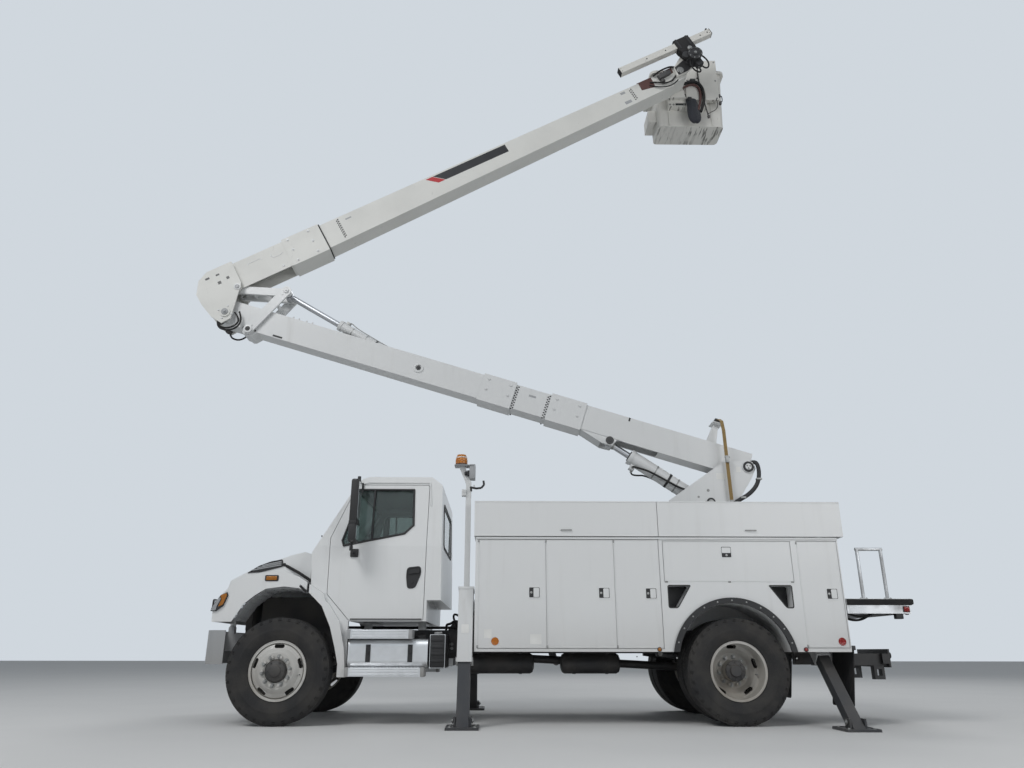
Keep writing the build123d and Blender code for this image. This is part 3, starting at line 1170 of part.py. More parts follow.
def link_bar(start, end, half_depth, low, high):
    """Flat bar with round ends between two points of stations and heights."""
    turn = radians(bearing(start, end))
    side = (-half_depth * sin(turn), half_depth * cos(turn))
    outline = [(start[0] - side[0], start[1] - side[1]), (end[0] - side[0], end[1] - side[1])]
    outline += [(end[0] + side[0], end[1] + side[1]), (start[0] + side[0], start[1] + side[1])]
    side_slab(outline, low, high)
    cross_pin(*start, low, high, half_depth)
    cross_pin(*end, low, high, half_depth)


ROCKER_AT = on_lower(*ROCKER_BASE)
COUPLER_AT = on_upper(*COUPLER_PIN)
with BuildPart() as rocker:
    for low, high in both(ROCKER_IN, ROCKER_IN + ROCKER_T):
        link_bar(ROCKER_AT, LINK_TOP, 65, low, high)
        cross_pin(*ROCKER_AT, low, high, ROCKER_PIN_R + PIN_FIT, mode=Mode.SUBTRACT)
    for low, high in both(COUPLER_IN, ROCKER_IN + ROCKER_T + 6):
        cross_pin(*LINK_TOP, low, high, LINK_PIN_R)
    tie = radians(bearing(ROCKER_AT, LINK_TOP))
    tie_at = (ROCKER_AT[0] + ROCKER_TIE * cos(tie), ROCKER_AT[1] + ROCKER_TIE * sin(tie))
    cross_pin(*tie_at, -ROCKER_IN - 1, ROCKER_IN + 1, TIE_R)
save(rocker.part, "rocker")
COUPLER_DEPTH = 55
COUPLER_TIES = (250, 480)
with BuildPart() as coupler:
    for low, high in both(COUPLER_IN, COUPLER_IN + COUPLER_T):
        link_bar(LINK_TOP, COUPLER_AT, COUPLER_DEPTH, low, high)
        cross_pin(*LINK_TOP, low, high, LINK_PIN_R + PIN_FIT, mode=Mode.SUBTRACT)
        cross_pin(*COUPLER_AT, low, high, 32, mode=Mode.SUBTRACT)
    turn = radians(bearing(LINK_TOP, COUPLER_AT))
    for s in COUPLER_TIES:
        tie_at = (LINK_TOP[0] + s * cos(turn), LINK_TOP[1] + s * sin(turn))
        cross_pin(*tie_at, -COUPLER_IN - 1, COUPLER_IN + 1, TIE_R)
save(coupler.part, "coupler")

ELBOW_BASE_AT = on_lower(*ELBOW_LIFT_BASE)
save(cylinder_barrel(ELBOW_BASE_AT, LINK_TOP, 1302, 66, 60, ELBOW_BASE_R, 40, 280), "elbow_barrel")
save(cylinder_rod(ELBOW_BASE_AT, LINK_TOP, 1615, 40, 70, 60, 40), "elbow_rod")

# Bucket on its shaft at the boom's tip
TIP_AT = on_upper(*TIP_PIN)
JIB_AT = on_upper(7924, 749)
JIB_PIN_R = 28
BUCKET_WALL = 14
BUCKET_X = (TIP_AT[0] - 306, TIP_AT[0] + 798)
BUCKET_Y = (320, 840)
BUCKET_Z = (TIP_AT[1] - 614, TIP_AT[1] + 406)
RIM_LIP = 45


def tub_outline(inset, z):
    """Outline of the bucket at a height, drawn in by an inset."""
    with BuildSketch(Plane.XY.offset(z)) as drawn:
        with Locations((behind(sum(BUCKET_X) / 2), sum(BUCKET_Y) / 2)):
            RectangleRounded(
                BUCKET_X[1] - BUCKET_X[0] - 2 * inset, BUCKET_Y[1] - BUCKET_Y[0] - 2 * inset, 60,
            )
    return drawn.sketch


BUCKET_DRAFT = 30
with BuildPart() as bucket:
    loft(sections=[tub_outline(BUCKET_DRAFT, BUCKET_Z[0]), tub_outline(0, BUCKET_Z[1])])
    with BuildSketch(Plane.XY.offset(BUCKET_Z[1] - 40)):
        with Locations((behind(sum(BUCKET_X) / 2), sum(BUCKET_Y) / 2)):
            RectangleRounded(
                BUCKET_X[1] - BUCKET_X[0] + 2 * RIM_LIP, BUCKET_Y[1] - BUCKET_Y[0] + 2 * RIM_LIP, 90,
            )
    extrude(amount=40)
    tub_floor = tub_outline(BUCKET_DRAFT + BUCKET_WALL, BUCKET_Z[0] + BUCKET_WALL)
    loft(sections=[tub_floor, tub_outline(BUCKET_WALL, BUCKET_Z[1])], mode=Mode.SUBTRACT)
    # step pads on the end toward the elbow
    for low, high in ((590, 790), (120, 330)):
        z = (BUCKET_Z[0] + low, BUCKET_Z[0] + high)
        block((BUCKET_X[0] - 105, BUCKET_X[0] + 25), (400, 740), z)
        block((BUCKET_X[0] - 85, BUCKET_X[0] + 40), (420, 720), (z[0] + 20, z[1] - 25), mode=Mode.SUBTRACT)
    # mounting bracket, control panel and the shaft's arms
    mount_x = (BUCKET_X[0] + 194, BUCKET_X[0] + 804)
    mount_z = (BUCKET_Z[0] + 290, BUCKET_Z[0] + 660)
    panel_x = (BUCKET_X[0] + 484, BUCKET_X[0] + 999)
    block(mount_x, (230, BUCKET_Y[0] + 25), mount_z)
    block(panel_x, (205, 245), (BUCKET_Z[0] + 400, BUCKET_Z[1] + 150))
    block(panel_x, (240, 300), (BUCKET_Z[0] + 420, mount_z[1]))
    arm = [(TIP_AT[0] - 90, TIP_AT[1] + 60), (TIP_AT[0] + 90, TIP_AT[1] + 60)]
    arm += [(TIP_AT[0] + 150, TIP_AT[1] - 214), (TIP_AT[0] - 90, TIP_AT[1] - 214)]
    side_slab(arm, UPPER_HALF_W + 8, 240)
    cross_pin(*TIP_AT, -200, 240, TIP_PIN_R)
    near_arm = [(7560, 480), (7760, 480), (7990, 560), (8010, 690), (7930, 800), (7830, 790), (7600, 640)]
    side_slab([on_upper(*point) for point in near_arm], -200, -UPPER_HALF_W - 8)
    cross_pin(*JIB_AT, -345, -199, JIB_PIN_R)
save(bucket.part, "bucket")

# Jib: square pole in a sleeve, with its winch
JIB_Y = (-325, -210)
POLE_U = (6765, 8400)
POLE_V = (845, 945)
POLE_Y = (-320, -220)
POLE_WALL = 8
with BuildPart() as jib:
    hollow = [(low + POLE_WALL, high - POLE_WALL) for low, high in (POLE_V, POLE_Y)]
    upper_box(POLE_U, POLE_V, POLE_Y)
    upper_box((POLE_U[0] - 1, POLE_U[1] + 1), *hollow, Mode.SUBTRACT)
    sleeve = [
        (7771, 800), (7771, 985), (8034, 985), (8034, 800),
        (8035, 700), (7990, 560), (7850, 560), (7800, 700),
    ]
    side_slab([on_upper(*point) for point in sleeve], *JIB_Y)
    upper_box((7770, 8035), *hollow, Mode.SUBTRACT)
    cross_pin(*on_upper(7915, 600), -390, -212, 105)
    side_slab(box_outline(on_upper, (7870, 7970), (420, 600)), -330, -240)
    cross_pin(*JIB_AT, -325, -210, JIB_PIN_R + PIN_FIT, mode=Mode.SUBTRACT)
save(jib.part, "jib")

# Beacon mast on the left front outrigger housing
MAST_X = FRONT_LEG_X
MAST_Y = -BODY_HALF_W + 185
MAST_TOP = 2560
BEACON_X = MAST_X - 88
# low and high over the mast's top, and radius, of each round of the beacon
BEACON = ((190, 204, 78), (203, 290, 65), (289, 317, 50))
HOOK_R = 8
with BuildPart() as light_mast:
    block((MAST_X - 30, MAST_X + 30), (MAST_Y - 30, MAST_Y + 30), (1300, MAST_TOP))
    leg_tube(front_leg, 400, -100, FRONT_HOUSING_TO + SEAT_GAP, mode=Mode.SUBTRACT)
    arm = [(-30, -120), (30, -120), (30, -10), (-50, 192), (-120, 192), (-30, -20)]
    side_slab([(MAST_X + x, MAST_TOP + z) for x, z in arm], MAST_Y - 12, MAST_Y + 12)
    for low, high, radius in BEACON:
        rod((behind(BEACON_X), MAST_Y, MAST_TOP + low), (behind(BEACON_X), MAST_Y, MAST_TOP + high), radius)
    block((MAST_X - 75, MAST_X - 25), (MAST_Y - 45, MAST_Y + 45), (MAST_TOP - 160, MAST_TOP - 90))
    hook = [(MAST_X + 25, -60), (MAST_X + 63, -70), (MAST_X + 63, -30)]
    hook = [(behind(x), MAST_Y, MAST_TOP + z) for x, z in hook]
    rod(hook[0], hook[1], HOOK_R)
    rod((hook[1][0], MAST_Y, hook[1][2] - HOOK_R), hook[2], HOOK_R)
save(light_mast.part, "light_mast")
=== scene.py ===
"""Finishes, trim and soft parts of the bucket truck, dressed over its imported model."""
from math import atan2, cos, pi, radians, sin

import bmesh
import bpy
from mathutils import Matrix, Vector


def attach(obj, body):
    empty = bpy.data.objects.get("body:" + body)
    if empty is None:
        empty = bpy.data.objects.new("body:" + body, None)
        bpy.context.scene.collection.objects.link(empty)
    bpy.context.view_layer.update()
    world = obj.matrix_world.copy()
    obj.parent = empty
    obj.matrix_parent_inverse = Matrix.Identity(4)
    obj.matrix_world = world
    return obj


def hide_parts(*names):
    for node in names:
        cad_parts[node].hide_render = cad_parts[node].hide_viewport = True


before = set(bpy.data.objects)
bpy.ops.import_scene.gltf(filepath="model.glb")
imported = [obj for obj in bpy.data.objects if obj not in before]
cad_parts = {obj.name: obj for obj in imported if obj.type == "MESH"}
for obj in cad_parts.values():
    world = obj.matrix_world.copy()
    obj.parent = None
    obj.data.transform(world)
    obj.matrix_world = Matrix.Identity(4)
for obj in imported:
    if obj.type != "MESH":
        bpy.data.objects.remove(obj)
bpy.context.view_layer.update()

# Places shared with the solids, in metres
FRONT_AXLE_X = -2.49
WHEELBASE = 4.832
AXLE_Z = 0.535
TYRE_R = 0.535
TYRE_W = 0.29
FRONT_WHEEL_Y = 1.025
REAR_WHEEL_Y = 1.055
DISC_OFFSET = 0.162
BODY_SIDE_Y = 1.22
CAB_SIDE_Y = 1.02
BOOM_PIN = (5.456, 2.941)
LOWER_ANGLE = radians(17.1)
LOWER_LENGTH = 7.191
UPPER_ANGLE = radians(28.5)
SIDES = {"left": -1, "right": 1}
WELD = 2e-5


def at(station, y, z):
    """Point from its distance behind the front axle, its width and its height."""
    return Vector((FRONT_AXLE_X + station, y, z))


def on_lower(u, v, y=0.0):
    """Point along the lower boom from its pin, and above its axis."""
    c, s = cos(LOWER_ANGLE), sin(LOWER_ANGLE)
    return at(BOOM_PIN[0] - u * c + v * s, y, BOOM_PIN[1] + u * s + v * c)


ELBOW = on_lower(LOWER_LENGTH, 0)


def on_upper(u, v, y=0.0):
    """Point along the upper boom from the elbow, and above its axis."""
    c, s = cos(UPPER_ANGLE), sin(UPPER_ANGLE)
    return Vector((ELBOW.x + u * c - v * s, y, ELBOW.z + u * s + v * c))


# Pins: the lift cylinder's foot as (station, height), the next three as (along, above) on the lower boom
LIFT_FOOT = (4.95, 2.49)
LIFT_EYE = (1.76, -0.158)
ELBOW_FOOT = (4.45, 0.045)
ROCKER_FOOT = (6.811, -0.128)
ROCKER_TOP = Vector((ELBOW.x + 0.783, 0, ELBOW.z + 0.3396))


def oblong(a0, b0, a1, b1):
    """Four corners of an upright rectangle, from its low corner round."""
    return [(a0, b0), (a1, b0), (a1, b1), (a0, b1)]


def patch(low, wide, high):
    """Four corners of a sloping rectangle, from its low corner and its two sides."""
    return [low, low + wide, low + wide + high, low + high]


def each(place, pairs, *rest):
    """Points that a function gives for pairs of numbers."""
    return [place(a, b, *rest) for a, b in pairs]


def cap_section(foot, shoulder, top, radius, top_radius):
    """Section of a round cap with a chamfered rim, as (along, radius)."""
    return [(foot, 0.0), (foot, radius), (shoulder, radius), (top, top_radius), (top, 0.0)]


def collar_section(foot, shoulder, top, inner, outer):
    """Section of a collar round a pin or a bar, as (along, radius)."""
    return [(foot, inner), (foot, outer), (shoulder, outer), (top, inner)]


def linked(name, data):
    """Object of the scene that shows this data."""
    made = bpy.data.objects.new(name, data)
    bpy.context.scene.collection.objects.link(made)
    return made


# Finishes
class Wire:
    """Output of a shader node; each sum, product or comparison of wires adds a Math node."""

    def __init__(self, socket):
        self.socket = socket

    def join(self, operation, first, second):
        """Math node over two wires or numbers."""
        tree = self.socket.id_data
        made = tree.nodes.new("ShaderNodeMath")
        made.operation = operation
        for place, value in enumerate((first, second)):
            if isinstance(value, Wire):
                tree.links.new(value.socket, made.inputs[place])
            else:
                made.inputs[place].default_value = value
        return Wire(made.outputs[0])

    def __add__(self, other):
        return self.join("ADD", self, other)

    def __radd__(self, other):
        return self.join("ADD", other, self)

    def __sub__(self, other):
        return self.join("SUBTRACT", self, other)

    def __rsub__(self, other):
        return self.join("SUBTRACT", other, self)

    def __mul__(self, other):
        return self.join("MULTIPLY", self, other)

    def __gt__(self, other):
        return self.join("GREATER_THAN", self, other)

    def __lt__(self, other):
        return self.join("LESS_THAN", self, other)


class Finish:
    """Material made of nodes; each call of node adds one."""

    def __init__(self, name):
        self.material = bpy.data.materials.new(name)
        self.material.use_nodes = True
        self.tree = self.material.node_tree
        self.tree.nodes.clear()

    def node(self, kind, settings=None, inputs=None, output=0):
        """Adds a node, its settings first and then its sockets; gives one of its outputs."""
        made = self.tree.nodes.new(kind)
        for name, value in (settings or {}).items():
            if name == "stops":
                ramp = made.color_ramp.elements
                while len(ramp) < len(value):
                    ramp.new(0.5)
                for stop, (place, grey) in zip(ramp, value):
                    stop.position = place
                    stop.color = (grey, grey, grey, 1)
            else:
                setattr(made, name, value)
        for name, value in (inputs or {}).items():
            if isinstance(value, Wire):
                self.tree.links.new(value.socket, made.inputs[name])
            else:
                made.inputs[name].default_value = value
        return Wire(made.outputs[output]) if made.outputs else None

    def place(self):
        """Object coordinates."""
        return self.node("ShaderNodeTexCoord", output="Object")

    def noise(self, scale, detail=3.0, stretch=(1, 1, 1), rough=0.5):
        """Noise in object coordinates, from 0 to 1."""
        spread = self.node("ShaderNodeMapping", inputs={"Vector": self.place(), "Scale": stretch})
        return self.node(
            "ShaderNodeTexNoise",
            inputs={"Vector": spread, "Scale": scale, "Detail": detail, "Roughness": rough},
        )

    def step(self, value, low, high):
        """Smooth step from 0 at low to 1 at high."""
        return self.node(
            "ShaderNodeMapRange", {"interpolation_type": "SMOOTHSTEP"},
            {"Value": value, "From Min": low, "From Max": high, "To Min": 0.0, "To Max": 1.0},
        )

    def height(self):
        """Height above the ground at rest."""
        return self.node("ShaderNodeSeparateXYZ", inputs={"Vector": self.place()}, output="Z")

    def mix(self, amount, first, second):
        """Colour between two colours."""
        made = self.tree.nodes.new("ShaderNodeMix")
        made.data_type = "RGBA"
        for name, value in ((0, amount), (6, first), (7, second)):
            if isinstance(value, Wire):
                self.tree.links.new(value.socket, made.inputs[name])
            else:
                made.inputs[name].default_value = value if name == 0 else (*value, 1)
        return Wire(made.outputs[2])

    def bump(self, value, distance, strength=1.0):
        """Normal from a height value."""
        return self.node(
            "ShaderNodeBump", inputs={"Height": value, "Distance": distance, "Strength": strength}
        )

    def close(self, **inputs):
        """Ends the material in one Principled shader."""
        named = {name.replace("_", " "): value for name, value in inputs.items()}
        named = {
            name: (*value, 1) if isinstance(value, tuple) and len(value) == 3 and "Color" in name else value
            for name, value in named.items()
        }
        shader = self.node("ShaderNodeBsdfPrincipled", inputs=named)
        self.node("ShaderNodeOutputMaterial", inputs={"Surface": shader})
        return self.material


def enamel(name, colour, dirt=0.5, dirt_top=1.1, roughness=0.34, streaks=0.3):
    """Sprayed paint with orange peel, road film low down and faint rain streaks."""
    paint = Finish(name)
    cloud = paint.noise(1.3, 5)
    streak = paint.noise(9.0, 4, (1, 1, 0.08))
    speck = paint.noise(160.0, 2)
    low = 1 - paint.step(paint.height(), 0.2, dirt_top)
    grime = low * cloud * dirt * 1.5 + paint.step(streak, 0.55, 0.85) * streaks * 0.35
    grime = grime + paint.step(speck, 0.7, 0.8) * low * 0.5
    base = paint.mix(paint.step(cloud, 0.25, 0.8) * 0.25, colour, tuple(0.93 * c for c in colour))
    tint = paint.mix(grime, base, (0.26, 0.23, 0.19))
    rough = roughness + grime * 0.35 + paint.noise(4.0, 4) * 0.06
    peel = paint.noise(420.0, 2) * 0.6 + paint.noise(60.0, 2) * 0.4
    return paint.close(
        Base_Color=tint, Roughness=rough, Coat_Weight=0.25, Coat_Roughness=0.12,
        Normal=paint.bump(peel, 0.0006, 0.35),
    )


def chassis_black(name, colour=(0.028, 0.028, 0.03), dust=0.5, roughness=0.5):
    """Black enamel under road dust, dustier on its upward faces."""
    paint = Finish(name)
    cloud = paint.noise(3.0, 6)
    up = paint.node("ShaderNodeSeparateXYZ", inputs={
        "Vector": paint.node("ShaderNodeNewGeometry", output="Normal")}, output="Z")
    grime = paint.step(cloud, 0.35, 0.8) * dust * 0.6 + paint.step(up, 0.3, 1.0) * dust * 0.5
    grain = paint.noise(220.0, 3)
    return paint.close(
        Base_Color=paint.mix(grime, colour, (0.2, 0.18, 0.155)),
        Roughness=roughness + grime * 0.3,
        Normal=paint.bump(grain, 0.0008, 0.35),
    )


def moulded(name, colour, roughness=0.55, grain=0.4):
    """Moulded plastic with a fine leather grain."""
    plastic = Finish(name)
    cells = plastic.node("ShaderNodeTexVoronoi", {"feature": "F1"},
                         {"Vector": plastic.place(), "Scale": 480.0})
    cloud = plastic.noise(6.0, 4)
    return plastic.close(
        Base_Color=plastic.mix(plastic.step(cloud, 0.3, 0.8) * 0.5, colour,
                               tuple(min(1, 1.25 * c + 0.01) for c in colour)),
        Roughness=roughness + cloud * 0.12,
        Normal=plastic.bump(cells, 0.0008, grain),
    )


def rubber(name, colour=(0.022, 0.022, 0.023), dust=0.5):
    """Vulcanised rubber, greyed by dust."""
    made = Finish(name)
    cloud = made.noise(5.0, 6)
    fine = made.noise(90.0, 4)
    grime = made.step(cloud, 0.3, 0.75) * dust * 0.55 + made.step(fine, 0.5, 0.8) * dust * 0.25
    return made.close(
        Base_Color=made.mix(grime, colour, (0.115, 0.105, 0.092)),
        Roughness=0.72 + cloud * 0.16,
        Specular_IOR_Level=0.35,
        Normal=made.bump(fine, 0.0012, 0.4),
    )


def bare_metal(name, colour, roughness=0.32, brushed=(1, 40, 40), wear=0.4):
    """Bare metal with a drawn grain and dull patches."""
    metal = Finish(name)
    grain = metal.noise(30.0, 4, brushed)
    dull = metal.step(metal.noise(4.0, 5), 0.4, 0.8)
    return metal.close(
        Base_Color=metal.mix(dull * wear, colour, tuple(0.55 * c for c in colour)),
        Metallic=1.0,
        Roughness=roughness + grain * 0.14 + dull * 0.2,
        Normal=metal.bump(grain, 0.0004, 0.3),
    )


def gelcoat(name, colour, dirt=0.35, underside=0.0):
    """Glass-fibre laminate under gelcoat: woven print-through, chalking, scuffs and a scraped underside."""
    shell = Finish(name)
    print_through = shell.node(
        "ShaderNodeTexWave", {"wave_type": "BANDS", "bands_direction": "DIAGONAL"},
        {"Vector": shell.place(), "Scale": 90.0, "Distortion": 3.0, "Detail": 2.0}, output="Fac",
    )
    chalk = shell.noise(2.2, 6)
    scuff = shell.step(shell.noise(14.0, 6, (1, 1, 0.35), 0.65), 0.62, 0.78)
    tint = shell.mix(shell.step(chalk, 0.35, 0.75) * 0.5, colour, tuple(0.88 * c for c in colour))
    facing = shell.node("ShaderNodeSeparateXYZ", inputs={
        "Vector": shell.node("ShaderNodeNewGeometry", output="Normal")}, output="Z")
    turned = shell.node("ShaderNodeMapping", inputs={
        "Vector": shell.place(), "Rotation": (0, 0, radians(24)), "Scale": (1, 0.1, 1)})
    scrape = shell.node("ShaderNodeTexNoise", inputs={
        "Vector": turned, "Scale": 26.0, "Detail": 4.0, "Roughness": 0.6})
    patch = shell.step(shell.noise(2.6, 2), 0.42, 0.58)
    scraped = (facing < -0.9) * shell.step(scrape, 0.5, 0.6) * (patch * 0.75 + 0.2) * underside
    tint = shell.mix(scraped, tint, (0.1, 0.095, 0.085))
    return shell.close(
        Base_Color=shell.mix(scuff * dirt, tint, (0.16, 0.15, 0.135)),
        Roughness=0.38 + chalk * 0.25 + scuff * 0.2,
        Normal=shell.bump(print_through, 0.0005, 0.25),
    )


def glazing(name, tint, roughness=0.03, transmission=0.92):
    """Tinted safety glass with a light film of dust."""
    pane = Finish(name)
    film = pane.step(pane.noise(7.0, 5), 0.45, 0.9)
    return pane.close(
        Base_Color=pane.mix(film * 0.3, tint, (0.3, 0.31, 0.3)),
        Roughness=roughness + film * 0.12,
        Transmission_Weight=transmission,
        IOR=1.5,
    )


def lens(name, colour, ribs=260.0, transmission=0.55):
    """Moulded lens with fine optic ribs."""
    made = Finish(name)
    rib = made.node(
        "ShaderNodeTexWave", {"wave_type": "BANDS", "bands_direction": "X"},
        {"Vector": made.place(), "Scale": ribs / 6.283, "Distortion": 0.0}, output="Fac",
    )
    haze = made.noise(12.0, 4)
    return made.close(
        Base_Color=made.mix(haze * 0.3, colour, tuple(0.6 * c for c in colour)),
        Roughness=0.12 + haze * 0.1,
        Transmission_Weight=transmission,
        Normal=made.bump(rib, 0.0012, 0.5),
    )


def webbing(name, colour):
    """Woven polyester web: ribs across, patchy dirt."""
    web = Finish(name)
    rib = web.node(
        "ShaderNodeTexWave", {"wave_type": "BANDS", "bands_direction": "Z"},
        {"Vector": web.place(), "Scale": 110.0, "Distortion": 0.6}, output="Fac",
    )
    soil = web.noise(16.0, 5)
    return web.close(
        Base_Color=web.mix(soil * 0.55, colour, tuple(0.45 * c for c in colour)),
        Roughness=0.86,
        Sheen_Weight=0.3,
        Normal=web.bump(rib, 0.0012, 0.7),
    )


def upholstery(name, colour):
    """Seat cloth: a plain weave with a darker fleck."""
    cloth = Finish(name)
    weave = [
        cloth.node("ShaderNodeTexWave", {"wave_type": "BANDS", "bands_direction": way},
                   {"Vector": cloth.place(), "Scale": 130.0, "Distortion": 0.4}, output="Fac")
        for way in ("X", "Y", "Z")
    ]
    thread = weave[0] * weave[1] + weave[2] * 0.6
    fleck = cloth.step(cloth.noise(180.0, 2), 0.5, 0.62)
    return cloth.close(
        Base_Color=cloth.mix(fleck * 0.6, colour, tuple(0.5 * c for c in colour)),
        Roughness=0.93,
        Sheen_Weight=0.35,
        Normal=cloth.bump(thread, 0.0009, 0.6),
    )


def tread_plate(name, colour):
    """Rolled aluminium plate with raised bars both ways."""
    plate = Finish(name)
    bars = [
        plate.node("ShaderNodeTexBrick", {"offset": 0.5},
                   {"Vector": plate.node("ShaderNodeMapping", inputs={
                       "Vector": plate.place(), "Rotation": (0, 0, turn)}),
                    "Scale": 14.0, "Mortar Size": 0.036, "Mortar Smooth": 0.6,
                    "Brick Width": 0.5, "Row Height": 0.24}, output="Fac")
        for turn in (pi / 4, -pi / 4)
    ]
    raised = 1 - bars[0] * bars[1]
    soil = plate.step(plate.noise(5.0, 5), 0.35, 0.8)
    return plate.close(
        Base_Color=plate.mix(soil * 0.6, colour, (0.14, 0.13, 0.12)),
        Metallic=1.0,
        Roughness=0.34 + soil * 0.3,
        Normal=plate.bump(raised, 0.002, 0.7),
    )


CAB_WHITE = enamel("cab_white_enamel", (0.8, 0.81, 0.81), dirt=0.5, dirt_top=1.4)
BODY_WHITE = enamel("body_white_enamel", (0.77, 0.78, 0.78), dirt=0.45, dirt_top=1.3, roughness=0.4)
BOOM_WHITE = enamel("boom_white_enamel", (0.7, 0.71, 0.71), dirt=0.2, roughness=0.42, streaks=0.6)
RIM_WHITE = enamel("rim_white_enamel", (0.7, 0.7, 0.68), dirt=0.9, dirt_top=1.6, roughness=0.45)
CHASSIS_BLACK = chassis_black("chassis_black_enamel")
LEG_BLACK = chassis_black("outrigger_black_enamel", (0.035, 0.037, 0.042), 0.35, 0.42)
BUMPER_GREY = enamel("bumper_grey_enamel", (0.36, 0.37, 0.38), dirt=0.5, dirt_top=1.2, roughness=0.5)
TREAD_RUBBER = rubber("tyre_rubber")
HOSE_RUBBER = rubber("hose_rubber", (0.016, 0.016, 0.017), 0.25)
TRIM_BLACK = moulded("trim_black_plastic", (0.018, 0.018, 0.019))
DASH_GREY = moulded("dash_grey_plastic", (0.1, 0.105, 0.11))
IRON = chassis_black("engine_iron", (0.06, 0.06, 0.062), 0.6, 0.65)
ALUMINIUM = bare_metal("tank_aluminium", (0.72, 0.73, 0.74), 0.3, (1, 60, 60))
STEEL = bare_metal("fastener_steel", (0.36, 0.36, 0.35), 0.48, (4, 4, 4))
CHROME = bare_metal("rod_chrome", (0.55, 0.56, 0.58), 0.24, (1, 1, 1), 0.1)
TREAD_PLATE = tread_plate("deck_tread_plate", (0.6, 0.61, 0.62))
BUCKET_SHELL = gelcoat("bucket_gelcoat", (0.72, 0.71, 0.67), 0.45, 0.9)
BOOM_TUBE = gelcoat("boom_tube_gelcoat", (0.7, 0.7, 0.67), 0.25)
SCREEN_GLASS = glazing("cab_glass", (0.35, 0.42, 0.4))
MIRROR_GLASS = bare_metal("mirror_glass", (0.82, 0.84, 0.85), 0.02, (1, 1, 1), 0.05)
LAMP_CLEAR = lens("lamp_clear_lens", (0.78, 0.8, 0.82))
LAMP_AMBER = lens("lamp_amber_lens", (0.85, 0.3, 0.02))
LAMP_RED = lens("lamp_red_lens", (0.55, 0.02, 0.015))
STRAP_WEB = webbing("tan_webbing", (0.36, 0.24, 0.09))
SEAT_CLOTH = upholstery("seat_cloth", (0.115, 0.12, 0.13))
BAG_CLOTH = upholstery("hose_bag_cloth", (0.016, 0.018, 0.026))
BAND_BROWN = moulded("guard_brown_plastic", (0.085, 0.035, 0.03), 0.6)
DECAL_BLACK = moulded("decal_black_film", (0.012, 0.012, 0.014), 0.3, 0.05)
DECAL_RED = moulded("decal_red_film", (0.42, 0.02, 0.025), 0.3, 0.05)
PLATE_WHITE = moulded("blank_plate_white", (0.75, 0.75, 0.73), 0.4, 0.05)

# The record's slot that each finish belongs to
SLOTS = {
    "white_paint": (CAB_WHITE, BODY_WHITE, RIM_WHITE, PLATE_WHITE),
    "boom_paint": (BOOM_WHITE,),
    "black_paint": (CHASSIS_BLACK, LEG_BLACK, ALUMINIUM, TREAD_PLATE),
    "bumper_grey": (BUMPER_GREY,),
    "black_plastic": (TRIM_BLACK, HOSE_RUBBER, DASH_GREY, BAND_BROWN, DECAL_BLACK, DECAL_RED, STRAP_WEB,
                      BAG_CLOTH),
    "tyre_rubber": (TREAD_RUBBER,),
    "glass": (SCREEN_GLASS, MIRROR_GLASS, LAMP_CLEAR),
    "seat_fabric": (SEAT_CLOTH,),
    "engine_iron": (IRON,),
    "steel": (STEEL, CHROME),
    "fibreglass": (BUCKET_SHELL, BOOM_TUBE),
    "amber": (LAMP_AMBER, LAMP_RED),
}
SLOT_OF = {material.name: slot for slot, materials in SLOTS.items() for material in materials}

NODE_FINISH = {
    CAB_WHITE: ["cab_shell", "cab_door_left", "cab_door_right", "hood_shell"],
    BODY_WHITE: ["body_packs"],
    RIM_WHITE: ["wheel_front_left", "wheel_front_right", "wheels_rear_left", "wheels_rear_right"],
    BOOM_WHITE: ["turret", "lower_boom", "lift_barrel", "elbow_barrel", "rocker", "coupler"],
    CHASSIS_BLACK: ["knuckle_left", "knuckle_right", "axles", "chassis_frame"],
    TRIM_BLACK: ["grille_and_lamps", "arch_flares"],
    BUMPER_GREY: ["front_bumper"],
    ALUMINIUM: ["side_steps"],
    TREAD_PLATE: ["body_deck"],
    IRON: ["engine"],
    DASH_GREY: ["cab_interior"],
    SCREEN_GLASS: ["cab_glass", "door_glass_left", "door_glass_right"],
    CHROME: ["lift_rod", "elbow_rod"],
    BUCKET_SHELL: ["bucket", "jib"],
    BOOM_TUBE: ["upper_boom"],
    LEG_BLACK: ["outrigger_front_left", "outrigger_front_right", "outrigger_rear_left",
                "outrigger_rear_right"],
}
for door in ("front", "middle", "narrow", "shelf", "rear"):
    NODE_FINISH[BODY_WHITE] += [f"{door}_door_left", f"{door}_door_right"]
for lid in ("front", "rear"):
    NODE_FINISH[BODY_WHITE] += [f"{lid}_lid_left", f"{lid}_lid_right"]
NODE_FINISH[BOOM_WHITE] += ["subframe", "light_mast"]
for material, names in NODE_FINISH.items():
    for name in names:
        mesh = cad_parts[name].data
        mesh.materials.clear()
        mesh.materials.append(material)


# Modelling
def upright(start, end):
    """Matrix that lays a shape made along +Z from start to end."""
    way = end - start
    turn = way.to_track_quat("Z", "Y").to_matrix().to_4x4()
    return Matrix.Translation((start + end) / 2) @ turn


